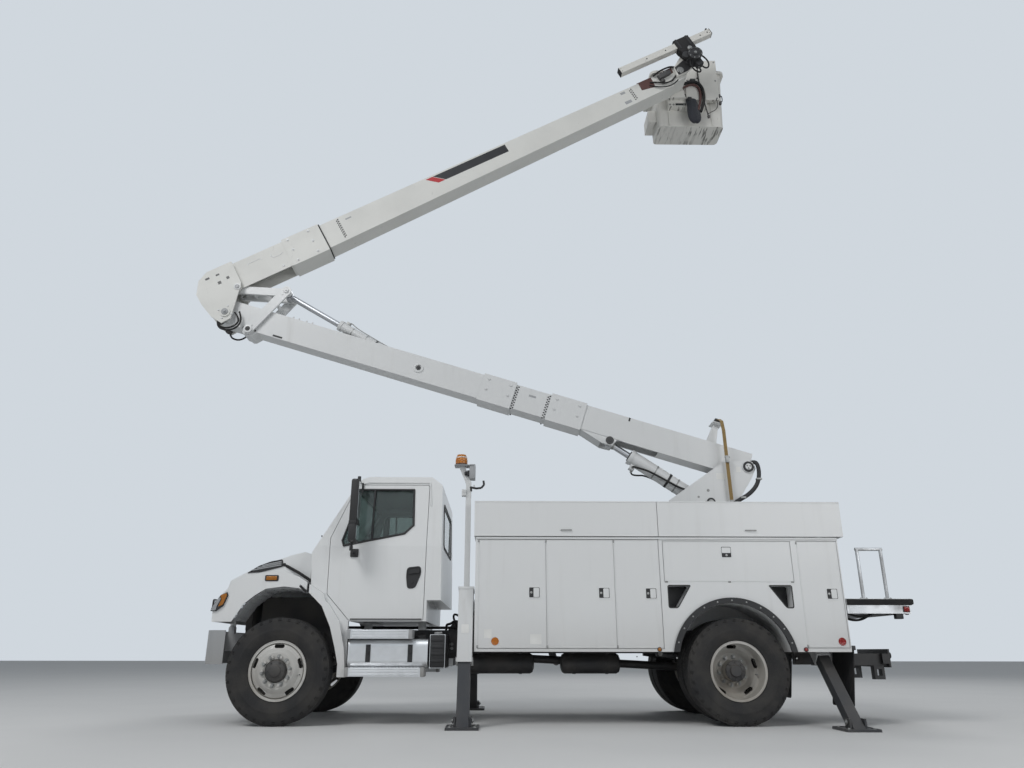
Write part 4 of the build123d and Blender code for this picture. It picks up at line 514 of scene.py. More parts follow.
class Piece:
    """One object of the scene, shaped with bmesh operators before it rides on its body."""

    def __init__(self, name, body, material):
        self.name = name
        self.body = body
        self.material = material
        self.mesh = bmesh.new()

    def bevel(self, geom, edge, segments=2, affect="EDGES"):
        """Rounds these edges or corners."""
        bmesh.ops.bevel(
            self.mesh, geom=geom, offset=edge, offset_type="OFFSET", affect=affect,
            segments=segments, profile=0.5, material=-1, clamp_overlap=True,
        )

    def push(self, faces, thick):
        """Thickens flat faces along a vector; gives the vertices that moved."""
        grown = bmesh.ops.extrude_face_region(self.mesh, geom=faces)
        moved = [g for g in grown["geom"] if isinstance(g, bmesh.types.BMVert)]
        bmesh.ops.translate(self.mesh, verts=moved, vec=Vector(thick))
        return moved

    def soften(self, verts, edge):
        """Rounds the edges between these vertices."""
        own = set(verts)
        self.bevel([e for e in self.mesh.edges if e.verts[0] in own and e.verts[1] in own], edge)

    def block(self, low, high, edge=0.0):
        """Block between two corners, its edges rounded."""
        low, high = Vector(low), Vector(high)
        size = Matrix.Diagonal((*[abs(d) for d in high - low], 1))
        spot = Matrix.Translation((low + high) / 2) @ size
        made = bmesh.ops.create_cube(self.mesh, size=1.0, matrix=spot)
        if edge:
            self.soften(made["verts"], edge)

    def bar(self, start, end, radius, end_radius=None, sides=24, edge=0.0):
        """Round bar or cone between two points."""
        start, end = Vector(start), Vector(end)
        made = bmesh.ops.create_cone(
            self.mesh, cap_ends=True, segments=sides, radius1=radius,
            radius2=radius if end_radius is None else end_radius,
            depth=(end - start).length, matrix=upright(start, end),
        )
        if edge:
            own = set(made["verts"])
            ends = [f for f in self.mesh.faces if len(f.verts) == sides and f.verts[0] in own]
            self.bevel(list({rim for end in ends for rim in end.edges}), edge)

    def plate(self, outline, thick, edge=0.0):
        """Flat outline of points, pushed out along a thickness vector."""
        verts = [self.mesh.verts.new(p) for p in outline]
        moved = self.push([self.mesh.faces.new(verts)], thick)
        if edge:
            self.soften(verts + moved, edge)

    def ring(self, outline, width, thick, corner=0.0):
        """Flat frame of a width inside a closed outline, or the whole outline when width is 0."""
        before = set(self.mesh.faces)
        verts = [self.mesh.verts.new(p) for p in outline]
        self.mesh.faces.new(verts)
        if corner:
            self.bevel(verts, corner, 5, "VERTICES")
        flat = [f for f in self.mesh.faces if f not in before]
        if width:
            self.mesh.normal_update()
            bmesh.ops.inset_region(
                self.mesh, faces=flat, thickness=width, use_even_offset=True, use_boundary=True,
            )
            bmesh.ops.delete(self.mesh, geom=flat, context="FACES")
            flat = [f for f in self.mesh.faces if f not in before]
        self.push(flat, thick)

    def lathe(self, profile, centre, axis, steps=64):
        """Turns (along, radius) points about an axis through a centre; profile is a closed loop."""
        axis = Vector(axis).normalized()
        out = axis.orthogonal().normalized()
        centre = Vector(centre)
        verts = [self.mesh.verts.new(centre + axis * a + out * r) for a, r in profile]
        edges = [self.mesh.edges.new(pair) for pair in zip(verts, verts[1:] + verts[:1])]
        bmesh.ops.spin(
            self.mesh, geom=verts + edges, cent=centre, axis=axis, angle=2 * pi,
            steps=steps, use_merge=True,
        )

    def bolt(self, centre, axis, across=0.022, high=0.012):
        """Hexagon head on a washer, standing up along an axis."""
        centre, axis = Vector(centre), Vector(axis).normalized()
        self.bar(centre, centre + axis * high * 0.25, across * 0.72, sides=16)
        self.bar(centre + axis * high * 0.2, centre + axis * high, across / 2, across * 0.46, sides=6)

    def mirror(self):
        """Adds the same shape on the other side of the truck."""
        whole = self.mesh.verts[:] + self.mesh.edges[:] + self.mesh.faces[:]
        bmesh.ops.mirror(self.mesh, geom=whole, axis="Y", merge_dist=-1)
        return self

    def done(self, sharp=35.0):
        """Makes the object, smooth between its sharp edges, and rides it on its body."""
        shape = self.mesh
        bmesh.ops.remove_doubles(shape, verts=shape.verts, dist=WELD)
        bmesh.ops.recalc_face_normals(shape, faces=shape.faces)
        for face in shape.faces:
            face.smooth = True
        for rim in shape.edges:
            rim.smooth = len(rim.link_faces) == 2 and rim.calc_face_angle(0.0) < radians(sharp)
        data = bpy.data.meshes.new(self.name)
        shape.to_mesh(data)
        shape.free()
        made = linked(self.name, data)
        data.materials.append(self.material)
        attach(made, self.body)
        return made


def all_done(*pieces):
    """Makes the objects of several pieces, in this order."""
    for piece in pieces:
        piece.done()


def hose(name, body, material, points, radius):
    """Round hose along a smooth line of control points."""
    curve = bpy.data.curves.new(name, "CURVE")
    curve.dimensions = "3D"
    line = curve.splines.new("NURBS")
    line.points.add(len(points) - 1)
    for knot, point in zip(line.points, points):
        knot.co = (*point, 1)
    line.order_u = 3
    line.use_endpoint_u = True
    line.resolution_u = 8
    curve.bevel_depth = radius
    curve.bevel_resolution = 3
    curve.use_fill_caps = True
    made = linked(name, curve)
    curve.materials.append(material)
    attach(made, body)
    return made


# Camera, at the photograph's place, and its light
LENS_MM = 26.9
CAMERA_SPOT = (-0.157, -9.699, 0.722)
LOOK_UP = radians(19.31)
ROLL = radians(-0.05)
TURN = radians(-0.79)
BACKDROP_GREY = (0.63, 0.68, 0.73, 1)
# The backdrop's strength as light, and what is added where it is seen
BACKDROP_LIGHT = 0.32
BACKDROP_SEEN = 0.68

camera_data = bpy.data.cameras.new("camera")
camera_data.sensor_width = 36
camera_data.lens = LENS_MM
camera = linked("camera", camera_data)
camera.location = CAMERA_SPOT
camera.rotation_euler = (pi / 2 + LOOK_UP, ROLL, TURN)
scene = bpy.context.scene
scene.camera = camera
scene.view_settings.view_transform = "Standard"

world = bpy.data.worlds.new("studio")
scene.world = world
world.use_nodes = True
world.node_tree.nodes.clear()
rays = world.node_tree.nodes.new("ShaderNodeLightPath")
seen = (
    Wire(rays.outputs["Is Camera Ray"]) + Wire(rays.outputs["Is Glossy Ray"])
    + Wire(rays.outputs["Is Transmission Ray"])
) > 0.5
backdrop = world.node_tree.nodes.new("ShaderNodeBackground")
world.node_tree.links.new((seen * BACKDROP_SEEN + BACKDROP_LIGHT).socket, backdrop.inputs["Strength"])
backdrop.inputs["Color"].default_value = BACKDROP_GREY
sky = world.node_tree.nodes.new("ShaderNodeOutputWorld")
world.node_tree.links.new(backdrop.outputs[0], sky.inputs[0])


def softbox(name, place, aim, size, power):
    """Large area lamp pointed at a place."""
    lamp = bpy.data.lights.new(name, "AREA")
    lamp.shape = "RECTANGLE"
    lamp.size, lamp.size_y = size
    lamp.energy = power
    made = linked(name, lamp)
    made.location = place
    made.rotation_euler = (Vector(aim) - Vector(place)).to_track_quat("-Z", "Y").to_euler()


softbox("key_light", (-9, -12, 15), (0, 0, 3), (7, 7), 1350)
softbox("fill_light", (10, -13, 6), (0, 0, 3), (9, 6), 480)
softbox("rim_light", (6, 12, 14), (0, 0, 4), (8, 6), 600)

floor_mesh = bmesh.new()
bmesh.ops.create_grid(floor_mesh, x_segments=1, y_segments=1, size=60)
floor_data = bpy.data.meshes.new("floor")
floor_mesh.to_mesh(floor_data)
floor_mesh.free()
floor = linked("floor", floor_data)
ground = Finish("pale_floor")
floor_data.materials.append(ground.close(
    Base_Color=ground.mix(ground.noise(0.8, 3), (0.78, 0.78, 0.77), (0.72, 0.72, 0.715)), Roughness=0.85))

# Tyres: half section from the bead to the shoulder as (share of width, radius), then the tread
SIDEWALL = [
    (0.355, 0.2868), (0.36, 0.306), (0.378, 0.3085), (0.386, 0.312), (0.392, 0.319),
    (0.44, 0.34), (0.476, 0.37), (0.492, 0.396), (0.4985, 0.405), (0.4985, 0.412),
    (0.493, 0.415), (0.489, 0.44), (0.48, 0.465), (0.469, 0.488), (0.463, 0.49),
    (0.455, 0.505), (0.42, 0.5215), (0.398, 0.525),
]
RIBS = ((0.398, 0.255), (0.215, 0.095), (0.055, -0.055), (-0.095, -0.215), (-0.255, -0.398))
TREAD_BASE = TYRE_R - 0.01
GROOVE_DEPTH = 0.006
TREAD_STEPS = 96


def tyre_section():
    """Closed section of a tyre as (outward, radius)."""
    crown = []
    for outer, inner in RIBS:
        crown += [(outer, TREAD_BASE), (inner, TREAD_BASE)]
        if inner > -0.3:
            crown += [(inner - 0.004, TREAD_BASE - GROOVE_DEPTH), (inner - 0.036, TREAD_BASE - GROOVE_DEPTH)]
    half = SIDEWALL[:-1]
    section = half + crown + [(-w, r) for w, r in reversed(half)]
    return [(w * TYRE_W, r) for w, r in section]


def tyre(name, body, x, wheel_y, side, driven):
    """Tyre with tread blocks standing off its ribs and notched shoulders."""
    made = Piece(name, body, TREAD_RUBBER)
    centre = Vector((x, side * wheel_y, AXLE_Z))
    made.lathe(tyre_section(), centre, (0, side, 0), TREAD_STEPS)
    mesh = made.mesh
    bmesh.ops.remove_doubles(mesh, verts=mesh.verts, dist=WELD)
    bmesh.ops.recalc_face_normals(mesh, faces=mesh.faces)
    ribs, shoulders = [], []
    for face in mesh.faces:
        spot = face.calc_center_median() - centre
        reach = Vector((spot.x, spot.z)).length
        across = abs(spot.y) / TYRE_W
        turn = int((atan2(spot.z, spot.x) + 2 * pi) / (2 * pi) * TREAD_STEPS)
        radial = Vector((spot.x, 0, spot.z)).normalized().dot(face.normal)
        if reach > TREAD_BASE - 0.003 and radial > 0.9:
            ribs.append(face)
        elif 0.43 < across < 0.47 and 0.4905 < reach < 0.517 and turn % 3 == 0:
            shoulders.append(face)
    bmesh.ops.inset_individual(mesh, faces=shoulders, thickness=0.004, depth=-0.006)
    bmesh.ops.inset_individual(mesh, faces=ribs, thickness=0.0022 if driven else 0.0012, depth=0.0098)
    for vert in mesh.verts:
        spot = vert.co - centre
        if driven and Vector((spot.x, spot.z)).length > TREAD_BASE - 0.008:
            twist = Matrix.Rotation(0.1 * abs(spot.y) / TYRE_W, 4, "Y")
            vert.co = centre + twist @ spot
    return made.done(28)


REAR_X = FRONT_AXLE_X + WHEELBASE
REAR_INNER_Y = REAR_WHEEL_Y - 2 * DISC_OFFSET
for side_name, side in SIDES.items():
    front = tyre(f"front_tyre_{side_name}", f"wheel_front_{side_name}", FRONT_AXLE_X, FRONT_WHEEL_Y, side,
                 False)
    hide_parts(f"tyre_front_{side_name}")
    outer = tyre(f"rear_outer_tyre_{side_name}", f"wheels_rear_{side_name}", REAR_X, REAR_WHEEL_Y, side, True)
    tyre(f"rear_inner_tyre_{side_name}", f"wheels_rear_{side_name}", REAR_X, REAR_INNER_Y, side, True)
    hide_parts(f"tyres_rear_{side_name}")


def ring_of(count, centre, axis, radius, start=0.0):
    """Points evenly round an axis."""
    axis = Vector(axis).normalized()
    first = axis.orthogonal().normalized() * radius
    return [
        Vector(centre) + Matrix.Rotation(start + 2 * pi * k / count, 3, axis) @ first for k in range(count)
    ]


for side_name, side in SIDES.items():
    out = Vector((0, side, 0))
    for end, x, y, face in (
        ("front", FRONT_AXLE_X, FRONT_WHEEL_Y, DISC_OFFSET),
        ("rear", REAR_X, REAR_WHEEL_Y, -DISC_OFFSET + 0.011),
    ):
        body = f"wheel_front_{side_name}" if end == "front" else f"wheels_rear_{side_name}"
        hub = Vector((x, side * y, AXLE_Z))
        nuts = Piece(f"{end}_wheel_nuts_{side_name}", body, STEEL)
        for spot in ring_of(10, hub + out * face, out, 0.143):
            nuts.bar(spot, spot + out * 0.006, 0.0235, sides=20)
            nuts.bar(spot + out * 0.005, spot + out * 0.0275, 0.0185, 0.0165, sides=6)
            nuts.bar(spot + out * 0.02, spot + out * 0.041, 0.0105, 0.009, sides=12)
        nuts.done()
        stem = Piece(f"{end}_wheel_valve_{side_name}", body, STEEL)
        valve = ring_of(1, hub + out * (face - 0.045 * (1 if end == "front" else -1)), out, 0.242, 2.2)[0]
        stem.bar(valve, valve + out * 0.052, 0.0065, 0.0055, sides=12)
        stem.bar(valve + out * 0.04, valve + out * 0.06, 0.0082, sides=12)
        stem.done()
    hub = Vector((FRONT_AXLE_X, side * FRONT_WHEEL_Y, AXLE_Z))
    cap = Piece(f"front_hub_cap_{side_name}", f"wheel_front_{side_name}", CHASSIS_BLACK)
    cap.lathe([
        (0.1628, 0.0), (0.1628, 0.1165), (0.17, 0.1165), (0.173, 0.112), (0.184, 0.1105), (0.1985, 0.099),
        (0.203, 0.083), (0.21, 0.064), (0.219, 0.06), (0.223, 0.054), (0.223, 0.0),
    ], hub, out, 48)
    for spot in ring_of(6, hub + out * 0.2005, out, 0.088, 0.3):
        cap.bolt(spot, out, 0.016, 0.01)
    cap.done()
    hub = Vector((REAR_X, side * (REAR_WHEEL_Y - DISC_OFFSET), AXLE_Z))
    flange = Piece(f"rear_axle_flange_{side_name}", f"wheels_rear_{side_name}", CHASSIS_BLACK)
    flange.lathe([
        (0.1335, 0.0), (0.1335, 0.1065), (0.154, 0.1065), (0.1565, 0.103), (0.164, 0.066),
        (0.18, 0.059), (0.1835, 0.054), (0.1835, 0.0),
    ], hub, out, 48)
    for spot in ring_of(8, hub + out * 0.1555, out, 0.088):
        flange.bolt(spot, out, 0.021, 0.014)
    flange.done()
    for end, x, y in (("front", FRONT_AXLE_X, FRONT_WHEEL_Y), ("rear", REAR_X, REAR_WHEEL_Y)):
        body = f"wheel_front_{side_name}" if end == "front" else f"wheels_rear_{side_name}"
        lip = Piece(f"{end}_rim_lip_{side_name}", body, RIM_WHITE)
        lip.lathe([
            (0.104, 0.286), (0.1075, 0.2975), (0.113, 0.302), (0.1175, 0.2995), (0.1165, 0.2955),
            (0.113, 0.295), (0.1122, 0.278), (0.106, 0.2765),
        ], (x, side * y, AXLE_Z), out, 72)
        lip.done()

# Cab and hood
CAB_LEAN = 90 / 800
BELT_Z = 1.84
SCREEN_FOOT = (0.228, 1.767)
SCREEN_HEAD = (0.674, 2.566)
SCREEN_SLOPE = atan2(SCREEN_HEAD[1] - SCREEN_FOOT[1], SCREEN_HEAD[0] - SCREEN_FOOT[0])
SCREEN_OUT = Vector((-sin(SCREEN_SLOPE), 0, cos(SCREEN_SLOPE)))
SCREEN_UP = Vector((cos(SCREEN_SLOPE), 0, sin(SCREEN_SLOPE)))
HOOD_FRONT = -0.81
HOOD_FRONT_Y = 0.64
HOOD_WIDENING = 0.1537
SEAT_Y = 0.5


def cab_side(station, z, side, out=0.0):
    """Point on the cab's side wall, which leans in above the belt."""
    return at(station, side * (CAB_SIDE_Y - max(0, z - BELT_Z) * CAB_LEAN + out), z)


def on_screen(across, up, out=0.0):
    """Point on the windscreen's slope, across the cab and up from the cowl."""
    foot = at(SCREEN_FOOT[0], 0, SCREEN_FOOT[1])
    return foot + SCREEN_UP * up + Vector((0, -across, 0)) + SCREEN_OUT * out


def hood_wall(station, z, side, out=0.0):
    """Point on the hood's upper side wall, which widens toward the cowl."""
    return at(station, side * (HOOD_FRONT_Y + (station - HOOD_FRONT) * HOOD_WIDENING + out), z)


def windscreen_trim():
    """Rubber round the windscreen and the rear window, and two wipers parked on the glass."""
    rubber_trim = Piece("window_rubbers", "chassis", TRIM_BLACK)
    corners = [(-0.948, 0.042), (0.948, 0.042), (0.868, 0.868), (-0.868, 0.868)]
    rubber_trim.ring(each(on_screen, corners, 0.0006), 0.034, SCREEN_OUT * 0.008, 0.085)
    back = oblong(-0.672, 1.858, 0.672, 2.382)
    rubber_trim.ring([at(1.6505 + (2.545 - z) * 0.01708, y, z) for y, z in back], 0.026, (0.008, 0, 0), 0.09)
    rubber_trim.done()
    wipers = Piece("wipers", "chassis", TRIM_BLACK)
    for pivot, reach in ((-0.62, -0.05), (0.12, 0.68)):
        wipers.bar(on_screen(pivot, 0.015, 0.0), on_screen(pivot, 0.015, 0.03), 0.016, sides=16)
        wipers.bar(on_screen(pivot, 0.015, 0.024), on_screen((pivot + reach) / 2, 0.15, 0.028), 0.007, 0.005)
        wipers.bar(on_screen(reach - 0.31, 0.105, 0.017), on_screen(reach + 0.31, 0.205, 0.017), 0.006)
        wipers.bar(on_screen(reach - 0.32, 0.103, 0.009), on_screen(reach + 0.32, 0.207, 0.009), 0.004)
    wipers.done()


def roof_lamps():
    """Five amber marker lamps along the roof's front and a drip rail over each door."""
    lamps = Piece("roof_marker_lamps", "chassis", LAMP_AMBER)
    bases = Piece("roof_lamp_bases", "chassis", TRIM_BLACK)
    for y in (-0.74, -0.16, 0.0, 0.16, 0.74):
        bases.block(at(0.815, y - 0.058, 2.6396), at(0.925, y + 0.058, 2.648), 0.003)
        lamps.block(at(0.825, y - 0.05, 2.6475), at(0.915, y + 0.05, 2.674), 0.012)
    all_done(bases, lamps)
    rails = Piece("cab_drip_rails", "chassis", CAB_WHITE)
    for low, high in (((0.664, 2.536), (0.8, 2.572)), ((0.8, 2.572), (1.51, 2.572)),
                      ((1.51, 2.572), (1.53, 2.3))):
        ends = [cab_side(*spot, -1, 0.006) for spot in (low, high)]
        rails.bar(*ends, 0.009, sides=10)
    rails.mirror().done()


def cab_door_trim(side_name, side):
    """Window rubber, paddle handle, mirror casing with its two glasses, and a rub strip."""
    body = f"cab_door_{side_name}"
    rubber_trim = Piece(f"door_window_rubber_{side_name}", body, TRIM_BLACK)
    window = [(0.73, 2.486), (1.326, 2.486), (1.34, 2.076), (1.243, 1.98), (0.574, 1.843), (0.556, 1.9)]
    out = Vector((0, side * 0.007, 0))
    for (x0, z0), (x1, z1) in zip(window, window[1:] + window[:1]):
        rubber_trim.bar(cab_side(x0, z0, side, 0.003), cab_side(x1, z1, side, 0.003), 0.012, sides=14)
    for x, z in window:
        rubber_trim.bar(cab_side(x, z, side, -0.009), cab_side(x, z, side, 0.013), 0.012, sides=16,
                        edge=0.003)
    for x, z in ((0.88, 1.905), (0.88, 2.486)):
        low, high = cab_side(x - 0.012, z, side, 0.002), cab_side(x + 0.012, z, side, 0.002)
        rubber_trim.bar(low, high, 0.008, sides=12)
    rubber_trim.bar(cab_side(0.88, 1.912, side, 0.001), cab_side(0.88, 2.48, side, 0.001), 0.011, sides=12)
    rubber_trim.done()
    handle = Piece(f"door_handle_{side_name}", body, TRIM_BLACK)
    dish = [(1.292, 1.604), (1.44, 1.622), (1.452, 1.545), (1.388, 1.382), (1.302, 1.376), (1.284, 1.51)]
    handle.ring(each(cab_side, dish, side, 0.0004), 0.014, out * 0.8, 0.03)
    handle.ring(each(cab_side, dish, side, 0.0002), 0.0, out * 0.3, 0.03)
    grip = [(1.312, 1.58), (1.428, 1.594), (1.432, 1.548), (1.308, 1.532)]
    handle.ring(each(cab_side, grip, side, 0.004), 0.0, out * 2.0, 0.012)
    handle.bar(cab_side(1.352, 1.452, side, 0.001), cab_side(1.352, 1.452, side, 0.01), 0.016, sides=20)
    handle.done()
    casing = Piece(f"mirror_casing_{side_name}", body, TRIM_BLACK)
    y = side * 1.24
    casing.block(at(0.671, y - 0.1, 2.064), at(0.757, y + 0.1, 2.538), 0.022)
    casing.block(at(0.671, y - 0.1, 1.841), at(0.757, y + 0.1, 2.052), 0.022)
    casing.block(at(0.672, y - 0.0995, 2.04), at(0.756, y + 0.0995, 2.076), 0.002)
    loop = [at(0.69, side * 1.01, 1.76), at(0.7, y, 1.785), at(0.74, y, 2.555), at(0.715, side * 0.935, 2.52)]
    for low, high in zip(loop, loop[1:]):
        casing.bar(low, high, 0.0135, sides=20)
    for joint in loop[1:3]:
        casing.bar(joint + Vector((0, 0, -0.024)), joint + Vector((0, 0, 0.024)), 0.019, sides=20, edge=0.004)
    for z in (1.76, 2.52):
        wall = CAB_SIDE_Y - max(0, z - BELT_Z) * CAB_LEAN
        casing.block(at(0.655, side * (wall - 0.001), z - 0.045), at(0.745, side * (wall + 0.022), z + 0.045),
                     0.008)
    casing.done()
    glasses = Piece(f"mirror_glass_{side_name}", body, MIRROR_GLASS)
    for low, high in ((2.092, 2.51), (1.868, 2.03)):
        outline = oblong(-0.078, low, 0.078, high)
        glasses.ring([at(0.7574, y + across, z) for across, z in outline], 0.0, (0.0016, 0, 0), 0.018)
    glasses.done()
    seam = Piece(f"door_rub_strip_{side_name}", body, TRIM_BLACK)
    seam.bar(cab_side(0.7, 1.058, side, 0.001), cab_side(1.47, 1.058, side, 0.001), 0.006, sides=10)
    seam.done()


def cushion(name, low, high, crown, channels):
    """Crowned cushion: its sides pull in between the corners and its top is sewn in channels."""
    low, high = Vector(low), Vector(high)
    made = Piece(name, "chassis", SEAT_CLOTH)
    made.block(low, high)
    bmesh.ops.subdivide_edges(made.mesh, edges=made.mesh.edges[:], cuts=15, use_grid_fill=True)
    middle, half = (low + high) / 2, (high - low) / 2
    thin = min(range(3), key=lambda axis: half[axis])
    wide = [axis for axis in range(3) if axis != thin]
    for vert in made.mesh.verts:
        place = [(vert.co[axis] - middle[axis]) / half[axis] for axis in range(3)]
        dome = (1 - place[wide[0]] ** 4) * (1 - place[wide[1]] ** 4)
        vert.co[thin] = middle[thin] + half[thin] * place[thin] * (1 - crown + crown * dome)
        for axis, other in (wide, wide[::-1]):
            vert.co[axis] = middle[axis] + half[axis] * place[axis] * (1 - 0.03 * (1 - place[other] ** 2))
        for channel in channels:
            groove = max(0, 1 - abs(place[wide[1]] - channel) / 0.07)
            vert.co[thin] -= 0.22 * half[thin] * place[thin] * groove ** 2
    pad = made.done(180)
    rounder = pad.modifiers.new("rounding", "SUBSURF")
    rounder.levels = rounder.render_levels = 1
    return pad


def cab_seats():
    """Two seats: cushions, backs and headrests on a folded base, each with its belt."""
    for side_name, side in SIDES.items():
        y = side * SEAT_Y
        seat = cushion(f"seat_cushion_{side_name}", at(0.968, y - 0.246, 1.322), at(1.462, y + 0.246, 1.448),
                       0.34, (-0.55, 0.55))
        cushion(f"seat_back_{side_name}", at(1.468, y - 0.24, 1.445), at(1.58, y + 0.24, 2.01), 0.38,
                (-0.45, 0.1, 0.6))
        cushion(f"seat_headrest_{side_name}", at(1.508, y - 0.14, 2.03), at(1.59, y + 0.14, 2.176), 0.42, ())
        base = Piece(f"seat_base_{side_name}", "chassis", TRIM_BLACK)
        base.block(at(1.04, y - 0.16, 1.0825), at(1.46, y + 0.16, 1.15), 0.012)
        for fold in range(4):
            z = 1.15 + fold * 0.04
            base.block(at(1.055, y - 0.15, z), at(1.445, y + 0.15, z + 0.028), 0.01)
            base.block(at(1.07, y - 0.135, z + 0.024), at(1.43, y + 0.135, z + 0.044))
        for post in (y - 0.06, y + 0.06):
            base.bar(at(1.545, post, 1.98), at(1.548, post, 2.06), 0.007, sides=12)
        base.done()
        if side < 0:
            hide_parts("seats")
        belt = Piece(f"seat_belt_{side_name}", "chassis", TRIM_BLACK)
        belt.plate([at(1.6, y + side * 0.3, 2.2), at(1.6, y + side * 0.346, 2.2),
                    at(1.59, y + side * 0.346, 1.36), at(1.59, y + side * 0.3, 1.36)], (-0.0018, 0, 0))
        belt.block(at(1.575, y + side * 0.298, 2.18), at(1.606, y + side * 0.348, 2.24), 0.006)
        belt.done()


def dash_details():
    """Instrument hood, vents and the steering wheel's boss on the dash."""
    dash = Piece("dash_fittings", "chassis", TRIM_BLACK)
    dash.block(at(0.47, -0.68, 1.735), at(0.6, -0.32, 1.795), 0.02)
    for y in (-0.8, -0.22, 0.02, 0.44, 0.8):
        dash.ring([at(0.657 - (z - 1.54) * 0.1, y + w, z) for w, z in oblong(-0.055, 1.6, 0.055, 1.672)],
                  0.008, (0.01, 0, 0), 0.01)
    dash.bar(at(0.775, -0.5, 1.696), at(0.8, -0.5, 1.716), 0.052, sides=32, edge=0.006)
    dash.done()


def hood_trim():
    """Louvres, latch straps, marker lamps, arch liners, headlamp lenses and the grille's surround."""
    louvres = Piece("hood_louvres", "hood", TRIM_BLACK)
    slats = Piece("hood_louvre_slats", "hood", BUMPER_GREY)
    for side in SIDES.values():
        mouth = [(-0.575, 1.572), (-0.44, 1.652), (-0.3, 1.7), (-0.165, 1.722), (-0.15, 1.64), (-0.42, 1.578)]
        out = Vector((0, side * 0.004, 0))
        louvres.ring(each(hood_wall, mouth, side, 0.0004), 0.01, out * 2.0, 0.016)
        louvres.ring(each(hood_wall, mouth, side, 0.0002), 0.0, out * 0.5, 0.016)
        for slat in range(3):
            share = (slat + 1) / 4
            start = hood_wall(-0.52 + 0.06 * slat, 1.578 + share * 0.104, side, 0.003)
            end = hood_wall(-0.176, 1.64 + share * 0.076, side, 0.003)
            slats.bar(start, end, 0.0075, sides=10)
    all_done(louvres, slats)
    straps = Piece("hood_latch_straps", "hood", HOSE_RUBBER)
    for side in SIDES.values():
        for spots, width in (
            (((-0.14, 0.716, 1.66), (-0.04, 0.768, 1.61), (0.06, 0.81, 1.56), (0.19, 0.828, 1.48)), 0.032),
            (((0.1, 1.062, 1.43), (0.15, 1.08, 1.4), (0.215, 1.104, 1.345)), 0.026),
        ):
            for low, high in zip(spots, spots[1:]):
                a, b = (at(x, side * (y + 0.012), z) for x, y, z in (low, high))
                across = Vector((b.z - a.z, 0, a.x - b.x)).normalized() * width / 2
                straps.plate([a - across, a + across, b + across, b - across], (0, side * 0.01, 0), 0.003)
            for x, y, z in (spots[0], spots[-1]):
                straps.bar(at(x, side * (y + 0.002), z), at(x, side * (y + 0.03), z), width * 0.62, sides=20)
    straps.done()
    # Black bar across the gap behind the hood: painted shade in that gap.
    gap = Piece("hood_cowl_gap_shade", "chassis", HOSE_RUBBER)
    gap.bar(at(0.235, -0.8, 1.745), at(0.235, 0.8, 1.745), 0.009, sides=12)
    gap.done()
    markers = Piece("fender_marker_lamps", "hood", LAMP_AMBER)
    beds = Piece("fender_marker_beds", "hood", TRIM_BLACK)
    for side in SIDES.values():
        beds.ring([at(x, side * 1.1003, z) for x, z in oblong(-0.238, 1.448, -0.09, 1.512)], 0.0,
                  (0, side * 0.005, 0), 0.014)
        markers.block(at(-0.222, side * 1.104, 1.458), at(-0.106, side * 1.118, 1.502), 0.009)
    all_done(beds, markers)
    liner = Piece("front_arch_liners", "hood", BUMPER_GREY)
    edge = [(-0.54, 1.04), (-0.43, 1.205), (-0.322, 1.292), (-0.215, 1.357), (-0.02, 1.381), (0.136, 1.364),
            (0.2, 1.335)]
    for side in SIDES.values():
        under = [at(x, side * 0.64, z) for x, z in edge]
        over = [at(x, side * 0.64, z + 0.006) for x, z in reversed(edge)]
        liner.plate(under + over, (0, side * 0.44, 0))
        for (x0, z0), (x1, z1) in zip(edge, edge[1:]):
            for y in (0.7, 0.78, 0.86, 0.94, 1.02):
                liner.bar(at(x0, side * y, z0 + 0.001), at(x1, side * y, z1 + 0.001), 0.007, sides=8)
            for share in (0.25, 0.75):
                x, z = x0 + (x1 - x0) * share, z0 + (z1 - z0) * share
                liner.bar(at(x, side * 0.655, z), at(x, side * 1.07, z), 0.009, sides=10)
    liner.done()
    lenses = Piece("headlamp_lenses", "hood", LAMP_CLEAR)
    bezels = Piece("headlamp_bezels", "hood", TRIM_BLACK)
    turns = Piece("front_turn_lenses", "hood", LAMP_AMBER)
    for side in SIDES.values():
        flank = [(-0.77, 1.14), (-0.761, 1.182), (-0.7, 1.284), (-0.68, 1.262), (-0.716, 1.19),
                 (-0.728, 1.14)]
        lenses.ring([at(x, side * 1.1175, z) for x, z in flank], 0.0, (0, side * 0.006, 0), 0.008)
        corner = [(-0.692, 1.296), (-0.63, 1.322), (-0.62, 1.3), (-0.655, 1.2), (-0.704, 1.18),
                  (-0.672, 1.258)]
        turns.ring([at(x, side * 1.1175, z) for x, z in corner], 0.0, (0, side * 0.006, 0), 0.008)
        face = [(0.79, 1.142), (1.092, 1.142), (1.092, 1.262), (0.82, 1.262)]
        nose = Vector((-0.01, 0, 0))
        bezels.ring([at(-0.764, side * y, z) for y, z in face], 0.014, nose * 1.4, 0.03)
        inner = [at(-0.7636, side * (0.94 + (y - 0.94) * 0.9), 1.202 + (z - 1.202) * 0.82) for y, z in face]
        lenses.ring(inner, 0.0, nose, 0.026)
    all_done(bezels, lenses, turns)
    surround = Piece("grille_surround", "hood", TRIM_BLACK)
    surround.ring([at(-0.8005, y, z) for y, z in oblong(-0.478, 1.063, 0.478, 1.437)], 0.028, (-0.008, 0, 0),
                  0.075)
    surround.done()


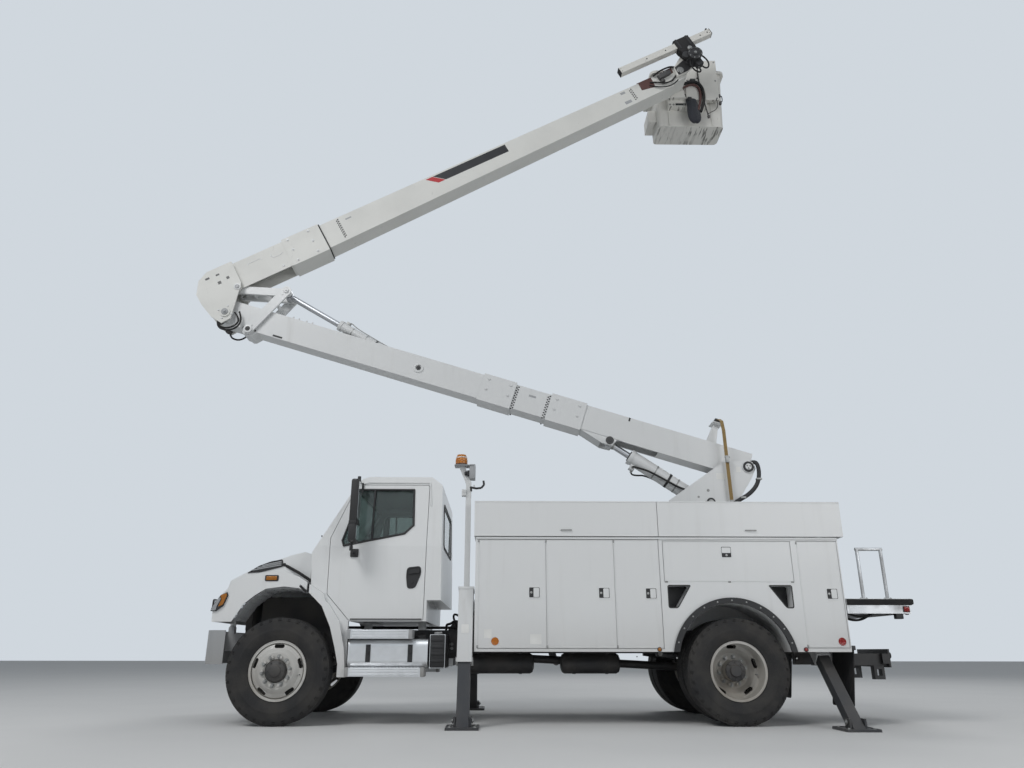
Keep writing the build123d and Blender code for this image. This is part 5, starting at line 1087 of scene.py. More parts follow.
def bumper_details():
    """Bolts, lamps and a blank plate on the front bumper."""
    bolts = Piece("bumper_bolts", "chassis", STEEL)
    for y in (-0.425, -0.365, 0.365, 0.425):
        for z in (0.7, 0.86):
            bolts.bolt(at(-0.826 - 0.012 * (1 - (y / 0.9) ** 2) + 0.004, y, z), (-1, 0, 0), 0.03, 0.018)
    bolts.done()
    fogs = Piece("bumper_lamps", "chassis", LAMP_CLEAR)
    rims = Piece("bumper_lamp_rims", "chassis", TRIM_BLACK)
    for y in (-0.72, 0.72):
        rims.lathe([(-0.01, 0.0), (-0.01, 0.07), (0.022, 0.07), (0.022, 0.054), (0.012, 0.052), (0.012, 0.0)],
                   at(-0.8165, y, 0.775), (-1, 0, 0), 40)
        fogs.lathe([(0.008, 0.0), (0.008, 0.05), (0.016, 0.05), (0.026, 0.03), (0.03, 0.0)],
                   at(-0.8165, y, 0.775), (-1, 0, 0), 40)
    all_done(rims, fogs)
    plate = Piece("front_blank_plate", "chassis", PLATE_WHITE)
    plate.ring([at(-0.8435, y, z) for y, z in oblong(-0.155, 0.695, 0.155, 0.85)], 0.0, (-0.004, 0, 0), 0.016)
    plate.done()


windscreen_trim()
roof_lamps()
for side_name, side in SIDES.items():
    cab_door_trim(side_name, side)
cab_seats()
dash_details()
hood_trim()
bumper_details()


# Tanks, steps and the frame's fittings
def tank_fittings():
    """Step treads, end blocks, tank straps, caps, and the battery cover behind each tank."""
    for side_name, side in SIDES.items():
        treads = Piece(f"step_tread_bars_{side_name}", "chassis", ALUMINIUM)
        ends = Piece(f"step_end_blocks_{side_name}", "chassis", BUMPER_GREY)
        for x0, x1, z0, z1 in ((0.704, 1.386, 0.855, 0.945), (0.704, 1.524, 0.48, 0.566)):
            y = side * 1.15
            for row in range(5):
                z = z0 + 0.014 + row * (z1 - z0 - 0.028) / 4
                treads.bar(at(x0 + 0.05, y, z), at(x1 - 0.05, y, z), 0.0055, sides=10)
            count = round((x1 - x0) / 0.04)
            for notch in range(count):
                x = x0 + 0.06 + notch * (x1 - x0 - 0.12) / (count - 1)
                for across in (0.93, 0.995, 1.06, 1.125):
                    spot = at(x, side * across, z1 - 0.001)
                    treads.lathe([(0.0, 0.006), (0.0, 0.012), (0.005, 0.01), (0.005, 0.007)], spot, (0, 0, 1),
                                 8)
            for x in (x0 - 0.006, x1 - 0.034):
                ends.block(at(x, side * 0.896, z0 - 0.004), at(x + 0.04, side * 1.155, z1 + 0.004), 0.006)
        all_done(treads, ends)
        straps = Piece(f"tank_straps_{side_name}", "chassis", TRIM_BLACK)
        section = [(0.556, 0.64), (0.556, 0.778), (0.628, 0.8585), (1.012, 0.8585), (1.0845, 0.786),
                   (1.0845, 0.632), (1.012, 0.5595), (0.628, 0.5595)]
        for x in (0.9, 1.345):
            loop = [at(x, side * y, z) for y, z in section]
            for low, high in zip(loop, loop[1:] + loop[:1]):
                way = (high - low).normalized()
                out = Vector((0, -way.z, way.y)) * side
                if out.dot(low - at(x, side * 0.82, 0.709)) < 0:
                    out = -out
                start, end, width = low - way * 0.002, high + way * 0.002, Vector((0.05, 0, 0))
                straps.plate([start, end, end + width, start + width], out * 0.004)
            straps.bolt(at(x + 0.025, side * 1.089, 0.72), (0, side, 0), 0.022, 0.016)
        straps.done()
        cap = Piece(f"tank_cap_{side_name}", "chassis", TRIM_BLACK)
        cap.lathe([(-0.012, 0.0), (-0.012, 0.058), (0.01, 0.058), (0.016, 0.052), (0.03, 0.052),
                   (0.034, 0.046), (0.034, 0.0)], at(1.452, side * 0.85, 0.862), (0, side * 0.25, 1), 36)
        cap.done()
        box = Piece(f"battery_cover_{side_name}", "chassis", TRIM_BLACK)
        box.block(at(1.571, side * 0.434, 0.556), at(1.743, side * 1.064, 0.904), 0.018)
        for rib in range(4):
            z = 0.62 + rib * 0.07
            box.block(at(1.59, side * 1.06, z), at(1.724, side * 1.072, z + 0.028), 0.006)
        box.done()
        lid = Piece(f"fluid_tank_cap_{side_name}", "chassis", BUMPER_GREY)
        lid.lathe(cap_section(-0.01, 0.016, 0.022, 0.044, 0.038), at(1.655, side * 0.96, 0.905), (0, 0, 1),
                  30)
        lid.done()


def frame_fittings():
    """Air tanks, brake chambers, shock absorbers, exhaust, bolts, spring clips and lines."""
    tanks = Piece("air_tanks", "chassis", CHASSIS_BLACK)
    for y, x0, x1 in ((-0.245, 1.9, 2.72), (0.245, 1.9, 2.72), (-0.245, 3.02, 3.72)):
        length = x1 - x0
        tanks.lathe([(0.0, 0.0), (0.004, 0.055), (0.02, 0.096), (0.05, 0.112), (length - 0.05, 0.112),
                     (length - 0.02, 0.096), (length - 0.004, 0.055), (length, 0.0)], at(x0, y, 0.6),
                    (1, 0, 0), 40)
        for x in (x0 + 0.16, x1 - 0.16):
            tanks.lathe(oblong(-0.018, 0.111, 0.018, 0.117), at(x, y, 0.6), (1, 0, 0), 40)
            tanks.block(at(x - 0.018, y - 0.06, 0.7), at(x + 0.018, y + 0.06, 0.752), 0.004)
    tanks.done()
    chambers = Piece("brake_chambers", "chassis", CHASSIS_BLACK)
    for x, y, z in ((0.15, 0.56, 0.56), (4.64, 0.44, 0.64)):
        for side in SIDES.values():
            chambers.lathe([(0.0, 0.0), (0.0, 0.07), (0.03, 0.086), (0.062, 0.086), (0.066, 0.094),
                            (0.08, 0.094), (0.084, 0.086), (0.15, 0.08), (0.158, 0.0)], at(x, side * y, z),
                           (1 if x < 1 else -1, 0, 0), 36)
    chambers.done()
    shocks = Piece("shock_absorbers", "chassis", CHASSIS_BLACK)
    for side in SIDES.values():
        low, high = at(0.17, side * 0.5, 0.56), at(0.3, side * 0.47, 0.93)
        shocks.bar(low, low.lerp(high, 0.55), 0.03, sides=24, edge=0.004)
        shocks.bar(low.lerp(high, 0.5), high, 0.038, sides=24, edge=0.004)
    shocks.done()
    exhaust = Piece("exhaust", "chassis", IRON)
    exhaust.lathe([(0.0, 0.0), (0.0, 0.06), (0.03, 0.13), (0.06, 0.14), (0.64, 0.14), (0.67, 0.13),
                   (0.7, 0.06), (0.7, 0.0)], at(1.96, 0.12, 1.07), (1, 0, 0), 40)
    exhaust.done()
    pipe = [at(1.97, 0.12, 1.07), at(1.8, 0.12, 1.07), at(1.7, 0.12, 0.9), at(1.5, 0.15, 0.64),
            at(1.1, 0.18, 0.6), at(0.6, 0.2, 0.62), at(0.33, 0.2, 0.7), at(0.3, 0.2, 0.82)]
    hose("exhaust_down_pipe", "chassis", IRON, pipe, 0.05)
    tail_pipe = [at(2.65, 0.12, 1.07), at(2.8, 0.12, 1.07), at(2.9, 0.3, 0.98), at(3.0, 0.62, 0.64),
                 at(3.06, 0.9, 0.6), at(3.07, 1.12, 0.6)]
    hose("exhaust_tail_pipe", "chassis", IRON, tail_pipe, 0.046)
    bolts = Piece("frame_bolts", "chassis", STEEL)
    for x in (-0.52, 0.75, 1.75, 2.9, 3.9, 5.48, 6.29):
        for side in SIDES.values():
            for dx, dz in ((-0.022, 0.052), (0.022, 0.052), (-0.022, 0.098), (0.022, 0.098)):
                bolts.bolt(at(x + dx, side * 0.43, 0.71 + dz), (0, side, 0), 0.024, 0.014)
    for x in (-0.6, 0.6, 4.152, 5.512):
        for side in SIDES.values():
            bolts.bolt(at(x, side * 0.468, 0.672 if x < 1 else 0.706), (0, side, 0), 0.034, 0.022)
    bolts.done()
    clips = Piece("spring_clips", "chassis", CHASSIS_BLACK)
    for x, z0, z1 in ((-0.075, 0.436, 0.568), (0.075, 0.436, 0.568), (4.757, 0.43, 0.7), (4.907, 0.43, 0.7)):
        for side in SIDES.values():
            for y in (0.384, 0.476):
                clips.bar(at(x, side * y, z0), at(x, side * y, z1), 0.009, sides=12)
            clips.bar(at(x, side * 0.376, z1), at(x, side * 0.484, z1), 0.009, sides=12)
            for y in (0.384, 0.476):
                clips.bolt(at(x, side * y, z0 - 0.002), (0, 0, -1), 0.03, 0.02)
    clips.done()
    runs = (
        ("left_air_line", [(0.45, -0.412, 0.985), (1.1, -0.412, 0.975), (1.9, -0.412, 0.985),
                           (2.6, -0.412, 0.975), (3.4, -0.412, 0.985), (4.1, -0.412, 0.975)], 0.011),
        ("left_wiring_loom", [(0.45, -0.375, 0.99), (1.2, -0.378, 0.985), (2.0, -0.372, 0.99),
                              (2.8, -0.378, 0.985), (3.6, -0.372, 0.99), (4.2, -0.375, 0.985)], 0.016),
        ("cab_back_hose", [(1.7, -0.4, 0.965), (1.705, -0.52, 1.02), (1.76, -0.62, 1.02),
                           (1.82, -0.7, 1.06), (1.884, -0.76, 1.03)], 0.014),
        ("outrigger_hose_front", [(1.884, -0.64, 1.09), (1.8, -0.56, 1.15), (1.78, -0.48, 1.08),
                                  (1.84, -0.43, 0.98)], 0.012),
    )
    for name, points, radius in runs:
        hose(name, "chassis", HOSE_RUBBER, [at(*point) for point in points], radius)


# Service body
DOOR_LOW = 0.76
DOOR_TOP = 1.886
# Each door from its first to its last station, and from its foot to its top
DOOR_SPANS = {
    "front": (2.09, 2.815, DOOR_LOW, DOOR_TOP), "middle": (2.825, 3.555, DOOR_LOW, DOOR_TOP),
    "narrow": (3.565, 4.048, DOOR_LOW, DOOR_TOP), "shelf": (4.1, 5.5, 1.445, 1.872),
    "rear": (5.575, 6.013, 0.768, 1.873),
}
# Each door's latch: station, height, and 1 where its paddle is turned to lie flat
LATCHES = {
    "front": (2.69, 1.326, 0), "middle": (3.44, 1.322, 0), "narrow": (3.945, 1.318, 0),
    "shelf": (4.793, 1.757, 1), "rear": (5.9, 1.317, 0),
}


def on_body(station, z, side, out=0.0):
    """Point on the service body's outer face."""
    return at(station, side * (BODY_SIDE_Y + out), z)


def paddle_latch(name, body, station, z, side, turned):
    """Flush paddle latch: a square dish with its frame, the paddle and a key barrel."""
    def spot(along, up, out):
        return on_body(station + (up if turned else along), z + (along if turned else up), side, out)

    dish = Piece(f"{name}_latch_dish", body, TRIM_BLACK)
    dish.ring(each(spot, oblong(-0.058, -0.056, 0.058, 0.056), 0.0003), 0.0, (0, side * 0.0012, 0), 0.014)
    dish.done()
    latch = Piece(f"{name}_latch", body, BODY_WHITE)
    frame_edge = oblong(-0.066, -0.062, 0.066, 0.062)
    latch.ring(each(spot, frame_edge, 0.0003), 0.01, (0, side * 0.004, 0), 0.018)
    paddle = oblong(-0.01, -0.048, 0.05, 0.048)
    latch.ring(each(spot, paddle, 0.0016), 0.0, (0, side * 0.0028, 0), 0.01)
    latch.done()
    barrel = Piece(f"{name}_latch_key", body, STEEL)
    barrel.bar(spot(-0.034, 0.0, 0.001), spot(-0.034, 0.0, 0.006), 0.013, sides=24, edge=0.0015)
    barrel.done()


def body_doors():
    """Latches, folded door edges, rubber seals and hinge knuckles of every compartment door."""
    for side_name, side in SIDES.items():
        for name, (x0, x1, z0, z1) in DOOR_SPANS.items():
            body = f"{name}_door_{side_name}"
            station, z, turned = LATCHES[name]
            paddle_latch(f"{name}_door_{side_name}", body, station, z, side, turned)
            fold = Piece(f"{name}_door_fold_{side_name}", body, BODY_WHITE)
            corners = oblong(x0 + 0.004, z0 + 0.004, x1 - 0.004, z1 - 0.004)
            fold.ring(each(on_body, corners, side, 0.0002), 0.007, (0, side * 0.0018, 0), 0.006)
            fold.done()
            seal = Piece(f"{name}_door_seal_{side_name}", body, HOSE_RUBBER)
            hem = 0.03
            corners = oblong(x0 + hem, z0 + hem, x1 - hem, z1 - hem)
            seal.ring(each(on_body, corners, side, -0.0222), 0.012, (0, -side * 0.0018, 0), 0.02)
            seal.done()
            knuckles = Piece(f"{name}_door_knuckles_{side_name}", body, STEEL)
            if name == "shelf":
                below = z0 - 0.0045
                middles = (x0 + 0.016, (x0 + x1) / 2, x1 - 0.016)
                ends = [((x - 0.014, below), (x + 0.014, below)) for x in middles]
            else:
                beside = x0 - 0.0045
                ends = [((beside, z - 0.014), (beside, z + 0.014)) for z in (z0 + 0.016, z1 - 0.016)]
            for low, high in ends:
                knuckles.bar(on_body(*low, side, 0.004), on_body(*high, side, 0.004), 0.0075, sides=16,
                             edge=0.001)
            knuckles.done()


def body_trim():
    """Drip rail, a black strip of painted shade under the lids, reflectors, blank plates, painted shade in
    the hand recesses, and rivets.
    """
    for side_name, side in SIDES.items():
        rail = Piece(f"body_drip_rail_{side_name}", "chassis", BODY_WHITE)
        rail.block(at(2.054, side * 1.2202, 1.893), at(6.028, side * 1.233, 1.9005), 0.002)
        rail.block(at(2.054, side * 1.2202, 1.8995), at(6.028, side * 1.2245, 1.9155), 0.001)
        rail.done()
        # Black strip in the gap between the drip rail and the lids: painted shade in that gap.
        shade = Piece(f"lid_gap_shade_{side_name}", "chassis", HOSE_RUBBER)
        shade.block(at(2.054, side * 1.19, 1.9172), at(6.028, side * 1.219, 1.9215), 0.001)
        shade.done()
        amber = Piece(f"side_reflector_front_{side_name}", "chassis", LAMP_AMBER)
        holders = Piece(f"side_reflector_rims_{side_name}", "chassis", TRIM_BLACK)
        red = Piece(f"side_reflector_rear_{side_name}", "chassis", LAMP_RED)
        for piece, x in ((amber, 4.0), (red, 5.545)):
            spot = on_body(x, 0.75, side)
            holders.lathe([(0.0002, 0.0), (0.0002, 0.024), (0.006, 0.024), (0.006, 0.019), (0.003, 0.018),
                           (0.003, 0.0)], spot, (0, side, 0), 28)
            piece.lathe(cap_section(0.003, 0.007, 0.01, 0.0178, 0.012), spot, (0, side, 0), 28)
        all_done(holders, amber, red)
        for name, station, material in (("front", 2.271, LAMP_AMBER), ("rear", 5.94, LAMP_RED)):
            disc = Piece(f"{name}_door_reflector_{side_name}", f"{name}_door_{side_name}", material)
            disc.lathe([(0.0004, 0.0), (0.0004, 0.04), (0.005, 0.04), (0.007, 0.036), (0.0055, 0.032),
                        (0.007, 0.0)], on_body(station, 0.83, side), (0, side, 0), 40)
            disc.done()
        plates = Piece(f"blank_door_plates_{side_name}", f"front_door_{side_name}", PLATE_WHITE)
        for x0, x1, z0, z1 in ((2.155, 2.235, 0.86, 0.95), (2.64, 2.76, 0.8, 0.9)):
            plates.ring(each(on_body, oblong(x0, z0, x1, z1), side, 0.0003), 0.0, (0, side * 0.0008, 0),
                        0.006)
        plates.done()
        # Black frame at each hand recess's mouth and a black sheet at its back: painted shade in the recess.
        recess_shade = Piece(f"hand_recess_painted_shade_{side_name}", "chassis", TRIM_BLACK)
        for corners in (
            [(4.128, 1.402), (4.374, 1.402), (4.227, 1.172), (4.128, 1.172)],
            [(5.222, 1.402), (5.469, 1.402), (5.469, 1.172), (5.392, 1.172)],
        ):
            edge = each(on_body, corners, side, 0.0003)
            middle = sum(edge, Vector()) / 4
            recess_shade.ring([middle + (p - middle) * 1.05 for p in edge], 0.012, (0, side * 0.003, 0), 0.022)
            recess_shade.ring([middle + (p - middle) * 0.985 - Vector((0, side * 0.172, 0)) for p in edge], 0.0,
                        (0, side * 0.003, 0), 0.02)
        recess_shade.done()
        rivets = Piece(f"flare_rivets_{side_name}", "chassis", STEEL)
        for turn in range(13):
            angle = radians(4 + turn * 14.3)
            spot = at(4.8 + 0.63 * cos(angle), side * 1.2443, 0.617 + 0.63 * sin(angle))
            rivets.bar(spot, spot + Vector((0, side * 0.004, 0)), 0.009, 0.005, sides=12)
        rivets.done()


def lid_details():
    """Folded rims and grips of the top lids."""
    for side_name, side in SIDES.items():
        for name, x0, x1 in (("front", 2.035, 4.054), ("rear", 4.06, 6.1)):
            body = f"{name}_lid_{side_name}"
            rim = Piece(f"{name}_lid_rim_{side_name}", body, BODY_WHITE)
            rim.block(at(x0 + 0.002, side * 1.2348, 2.296), at(x1 - 0.002, side * 1.2385, 2.3095), 0.0015)
            rim.block(at(x0 + 0.002, side * 1.2348, 1.9235), at(x1 - 0.002, side * 1.2385, 1.933), 0.0015)
            rim.done()
            grip = Piece(f"{name}_lid_grip_{side_name}", body, STEEL)
            middle = (x0 + x1) / 2
            for x in (middle - 0.055, middle + 0.055):
                grip.bar(at(x, side * 1.2345, 1.99), at(x, side * 1.249, 1.99), 0.006, sides=14)
            grip.bar(at(middle - 0.061, side * 1.249, 1.99), at(middle + 0.061, side * 1.249, 1.99), 0.006,
                     sides=14, edge=0.002)
            grip.done()


def tail_details():
    """Rubber edge, lamps, blank plate, mudflaps, tow hook, sockets, hoses and the rail's feet."""
    edging = Piece("tail_rubber_edge", "chassis", HOSE_RUBBER)
    for side in SIDES.values():
        for rib in range(5):
            z = 1.208 + rib * 0.0125
            edging.bar(at(6.045, side * 1.2235, z), at(6.74, side * 1.2235, z), 0.0068, sides=10)
        edging.block(at(6.7, side * 1.16, 1.203), at(6.77, side * 1.232, 1.2695), 0.02)
    edging.block(at(6.7545, -1.19, 1.206), at(6.768, 1.19, 1.2665), 0.005)
    edging.done()
    lamps = Piece("tail_lamps", "chassis", LAMP_RED)
    backs = Piece("tail_lamp_housings", "chassis", TRIM_BLACK)
    clear = Piece("reversing_lamps", "chassis", LAMP_CLEAR)
    for side in SIDES.values():
        for y in (1.115, 0.985):
            backs.lathe([(-0.006, 0.0), (-0.006, 0.052), (0.014, 0.052), (0.016, 0.046), (0.008, 0.044),
                         (0.008, 0.0)], at(6.7255, side * y, 1.158), (1, 0, 0), 36)
            lamps.lathe([(0.006, 0.0), (0.006, 0.043), (0.014, 0.043), (0.024, 0.026), (0.026, 0.0)],
                        at(6.7255, side * y, 1.158), (1, 0, 0), 36)
        backs.block(at(6.7245, side * 0.84, 1.124), at(6.734, side * 0.92, 1.192), 0.006)
        clear.block(at(6.733, side * 0.846, 1.13), at(6.745, side * 0.914, 1.186), 0.008)
        backs.block(at(6.64, side * 1.2205, 1.128), at(6.712, side * 1.227, 1.192), 0.004)
        lamps.block(at(6.646, side * 1.2265, 1.134), at(6.706, side * 1.237, 1.186), 0.008)
        backs.block(at(6.56, side * 1.15, 1.06), at(6.64, side * 1.215, 1.1152), 0.008)
    all_done(backs, lamps, clear)
    plate = Piece("rear_blank_plate", "chassis", PLATE_WHITE)
    plate.ring([at(6.7245, y, z) for y, z in oblong(-0.6, 1.12, -0.3, 1.198)], 0.0, (0.003, 0, 0), 0.012)
    plate.done()
    flaps = Piece("rear_mudflaps", "chassis", HOSE_RUBBER)
    brackets = Piece("mudflap_brackets", "chassis", CHASSIS_BLACK)
    for side in SIDES.values():
        outline = [at(6.06, side * 0.64, 0.76), at(6.06, side * 1.19, 0.76), at(5.985, side * 1.19, 0.18),
                   at(5.985, side * 0.64, 0.18)]
        flaps.ring(outline, 0.0, (0.008, 0, 0.001), 0.03)
        for rib in range(7):
            y = side * (0.7 + rib * 0.072)
            flaps.bar(at(6.059, y, 0.7), at(5.995, y, 0.23), 0.007, sides=8)
        brackets.block(at(6.04, side * 0.436, 0.745), at(6.085, side * 1.195, 0.79), 0.005)
        for y in (0.7, 0.91, 1.12):
            brackets.bolt(at(6.04, side * y, 0.766), (-1, 0, 0), 0.026, 0.016)
    all_done(flaps, brackets)
    hook = Piece("tow_hook", "chassis", CHASSIS_BLACK)
    hook.block(at(6.8182, -0.08, 0.59), at(6.845, 0.08, 0.712), 0.008)
    hook.bar(at(6.84, 0.0, 0.668), at(6.872, 0.0, 0.668), 0.034, 0.028, sides=28)
    hook.lathe(oblong(-0.022, 0.036, 0.022, 0.062), at(6.912, 0.0, 0.662), (0, 1, 0), 36)
    for y in (-0.04285, 0.04285):
        for z in (0.62775, 0.67225):
            hook.bolt(at(6.845, y, z), (1, 0, 0), 0.024, 0.014)
    for side in SIDES.values():
        hook.lathe(oblong(-0.012, 0.024, 0.012, 0.044), at(6.85, side * 0.23, 0.64), (0, 1, 0), 32)
        hook.block(at(6.8182, side * 0.23 - 0.02, 0.612), at(6.834, side * 0.23 + 0.02, 0.668), 0.005)
    hook.done()
    socket = Piece("trailer_socket", "chassis", TRIM_BLACK)
    socket.lathe([(0.0, 0.0), (0.0, 0.038), (0.034, 0.038), (0.036, 0.032), (0.04, 0.032), (0.042, 0.0)],
                 at(6.8182, -0.32, 0.69), (1, 0, 0), 30)
    for y, z in ((0.3, 0.715), (0.35, 0.715)):
        socket.lathe([(0.0, 0.0), (0.0, 0.016), (0.03, 0.016), (0.032, 0.024), (0.05, 0.024), (0.052, 0.0)],
                     at(6.8182, y, z), (1, 0, 0), 20)
    socket.done()
    for name, points, radius in (
        ("tail_hose_upper", [(6.06, -0.9, 1.192), (6.18, -0.9, 1.12), (6.33, -0.905, 1.09),
                             (6.48, -0.9, 1.13), (6.6, -0.9, 1.192)], 0.011),
        ("tail_hose_lower", [(6.04, -0.82, 1.192), (6.15, -0.82, 1.09), (6.3, -0.825, 1.05),
                             (6.44, -0.82, 1.1), (6.56, -0.82, 1.192)], 0.013),
    ):
        hose(name, "chassis", HOSE_RUBBER, [at(*point) for point in points], radius)
    clamps = Piece("tail_hose_clamps", "chassis", STEEL)
    for x, y in ((6.062, -0.9), (6.598, -0.9), (6.042, -0.82), (6.558, -0.82)):
        clamps.block(at(x - 0.02, y - 0.022, 1.18), at(x + 0.02, y + 0.022, 1.2028), 0.003)
    clamps.done()
    grips = Piece("tail_hoop_feet", "chassis", STEEL)
    for side in SIDES.values():
        for x in (6.264, 6.526):
            grips.lathe(collar_section(0.0002, 0.006, 0.008, 0.0185, 0.046), at(x, side * 1.15, 1.269),
                        (0, 0, 1), 28)
            for spot in ring_of(3, at(x, side * 1.15, 1.275), (0, 0, 1), 0.034, 0.5):
                grips.bolt(spot, (0, 0, 1), 0.012, 0.008)
    grips.done()


def deck_details():
    """Lashing rings on the deck between the body's packs."""
    rings = Piece("deck_lashing_rings", "chassis", STEEL)
    for x in (2.3, 3.2, 4.2):
        for y in (-0.55, 0.55):
            rings.block(at(x - 0.035, y - 0.02, 1.2692), at(x + 0.035, y + 0.02, 1.275), 0.002)
            rings.lathe(oblong(-0.005, 0.02, 0.005, 0.03), at(x, y, 1.28), (0, 0, 1), 24)
    rings.done()


def outrigger_details():
    """Pins, pad bolts, pad edges, collars and a blank plate on the outriggers."""
    for side_name, side in SIDES.items():
        for end, x, foot, width in (("front", 1.955, 1.38, 0.13), ("rear", 5.82, 1.56, 0.12)):
            body = f"outrigger_{end}_{side_name}"
            pins = Piece(f"outrigger_pins_{end}_{side_name}", body, STEEL)
            for way in (-1, 1):
                tip = x + way * (width / 2 + 0.03)
                pins.bar(at(tip, side * foot, 0.075), at(tip + way * 0.008, side * foot, 0.075), 0.026,
                         sides=28, edge=0.002)
                pins.bolt(at(tip + way * 0.008, side * foot, 0.075), (way, 0, 0), 0.02, 0.01)
                for dy in (-0.12, 0.12):
                    pins.bolt(at(x + way * 0.125, side * (foot + dy), 0.02), (0, 0, 1), 0.026, 0.014)
            pins.done()
            gussets = Piece(f"outrigger_pad_edge_{end}_{side_name}", body, LEG_BLACK)
            edge = oblong(x - 0.165, foot - 0.185, x + 0.165, foot + 0.185)
            gussets.ring([at(px, side * py, 0.0202) for px, py in edge], 0.012, (0, 0, 0.006), 0.01)
            gussets.done()
    plate = Piece("outrigger_blank_plates", "chassis", PLATE_WHITE)
    collars = Piece("outrigger_collars", "chassis", BOOM_WHITE)
    lean = radians(14.3)
    for side in SIDES.values():
        def on_leg(along_leg, out, across):
            """Point on the front outrigger's housing, up along it, out from its face and across it."""
            y = 1.38 - along_leg * sin(lean) + out * cos(lean)
            return at(1.955 + across, side * y, 0.02 + along_leg * cos(lean) + out * sin(lean))

        plate.ring([on_leg(l, 0.0795, a) for l, a in ((0.9, -0.04), (0.9, 0.04), (0.99, 0.04),
                                                      (0.99, -0.04))], 0.0,
                   Vector((0, side * cos(lean), sin(lean))) * 0.002, 0.006)
        for l0, l1, grow in ((0.606, 0.65, 0.01), (1.372, 1.398, 0.006)):
            half = 0.079 + grow
            for out, across, wide in ((half, 0, 1), (-half, 0, 1), (0, half, 0), (0, -half, 0)):
                spots = []
                for l in (l0, l1):
                    for end_way in ((-1, 1) if l == l0 else (1, -1)):
                        spots.append(on_leg(l, out if wide else end_way * half,
                                            end_way * half if wide else across))
                normal = on_leg(1, out, across) - on_leg(1, 0, 0)
                collars.plate(spots, -normal.normalized() * (grow + 0.0006))
    all_done(plate, collars)


tank_fittings()
frame_fittings()
body_doors()
body_trim()
lid_details()
tail_details()
deck_details()
outrigger_details()

# Turret and booms
PLATE_OUT = 0.23
LOWER_FACE = 0.14


def lower_way():
    """Directions along and square to the lower boom."""
    return on_lower(1, 0) - on_lower(0, 0), on_lower(0, 1) - on_lower(0, 0)


def upper_way():
    """Directions along and square to the upper boom."""
    return on_upper(1, 0) - on_upper(0, 0), on_upper(0, 1) - on_upper(0, 0)


def turret_details():
    """Pin caps, bearing bolts, blank plates, hose cover, valve block and brace on the turret."""
    rings = Piece("boom_pin_rings", "turret", TRIM_BLACK)
    caps = Piece("boom_pin_caps", "turret", BOOM_WHITE)
    pins = Piece("turret_fasteners", "turret", STEEL)
    for side in SIDES.values():
        pin = at(BOOM_PIN[0], side * 0.2482, BOOM_PIN[1])
        rings.lathe([(0.0, 0.04), (0.0, 0.068), (0.005, 0.068), (0.008, 0.064), (0.008, 0.04)], pin,
                    (0, side, 0), 48)
        caps.lathe(cap_section(0.0, 0.01, 0.013, 0.04, 0.036), pin, (0, side, 0), 40)
        for spot in ring_of(3, pin + Vector((0, side * 0.013, 0)), (0, 1, 0), 0.022, 0.4):
            pins.bolt(spot, (0, side, 0), 0.016, 0.009)
        lift = at(LIFT_FOOT[0], side * PLATE_OUT, LIFT_FOOT[1])
        rings.lathe(collar_section(0.0002, 0.006, 0.006, 0.03, 0.056), lift, (0, side, 0), 40)
        pins.bar(lift, lift + Vector((0, side * 0.012, 0)), 0.0345, sides=36, edge=0.003)
        pins.block(lift + Vector((-0.075, side * 0.004, -0.012)),
                   lift + Vector((-0.028, side * 0.012, 0.012)), 0.002)
        for x, z, across in ((4.798, 2.558, 0.02), (4.924, 2.64, 0.026), (5.3, 2.47, 0.024),
                             (5.18, 2.47, 0.024)):
            pins.bolt(at(x, side * PLATE_OUT, z), (0, side, 0), across, 0.01)
    for spot in ring_of(30, at(4.9, 0, 2.4102), (0, 0, 1), 0.365, 0.05):
        if abs(abs(spot.y) - 0.2175) > 0.034:
            pins.bolt(spot, (0, 0, 1), 0.03, 0.02)
    all_done(rings, caps, pins)
    plates = Piece("turret_blank_plates", "turret", PLATE_WHITE)
    for x, z, wide, high in ((5.096, 2.821, 0.11, 0.08), (5.331, 2.91, 0.06, 0.07)):
        for side in SIDES.values():
            plates.ring(
                [at(x + a * wide / 2, side * (PLATE_OUT + 0.0003), z + b * high / 2)
                 for a, b in oblong(-1, -1, 1, 1)], 0.0, (0, side * 0.0012, 0), 0.006)
    plates.done()
    cover = [at(5.52, -0.17, 3.01), at(5.56, -0.262, 3.02), at(5.585, -0.266, 2.86), at(5.54, -0.262, 2.7),
             at(5.42, -0.258, 2.58), at(5.3, -0.256, 2.52), at(5.235, -0.252, 2.47)]
    hose("turret_hose_cover", "turret", TRIM_BLACK, cover, 0.026)
    clips = Piece("turret_hose_clips", "turret", STEEL)
    for x, z in ((5.568, 2.78), (5.345, 2.543)):
        clips.block(at(x - 0.034, -0.292, z - 0.012), at(x + 0.034, -0.2298, z + 0.012), 0.006)
    clips.done()
    box = Piece("control_valve_block", "turret", IRON)
    box.block(at(5.12, -0.13, 2.4105), at(5.36, 0.13, 2.56), 0.01)
    for row in range(5):
        y = -0.1 + row * 0.05
        box.bar(at(5.18, y, 2.56), at(5.18, y, 2.592), 0.014, sides=20, edge=0.003)
        box.bar(at(5.29, y, 2.56), at(5.3, y, 2.64), 0.006, 0.008, sides=14)
        box.bar(at(5.12, y, 2.49), at(5.096, y, 2.49), 0.016, sides=6)
    box.done()
    for row in range(4):
        y = -0.1 + row * 0.05
        path = [at(5.098, y, 2.49), at(5.076, y, 2.49), at(5.062, y, 2.476), at(5.06, y, 2.44),
                at(5.06, y, 2.4115)]
        hose(f"turret_hose_{row + 1}", "turret", HOSE_RUBBER, path, 0.011)
    guard = Piece("turret_cross_brace", "turret", BOOM_WHITE)
    guard.block(at(4.56, -0.2052, 2.4105), at(4.59, 0.2052, 2.436), 0.004)
    guard.block(at(5.18, -0.2052, 2.4105), at(5.2, 0.2052, 2.418), 0.002)
    guard.done()


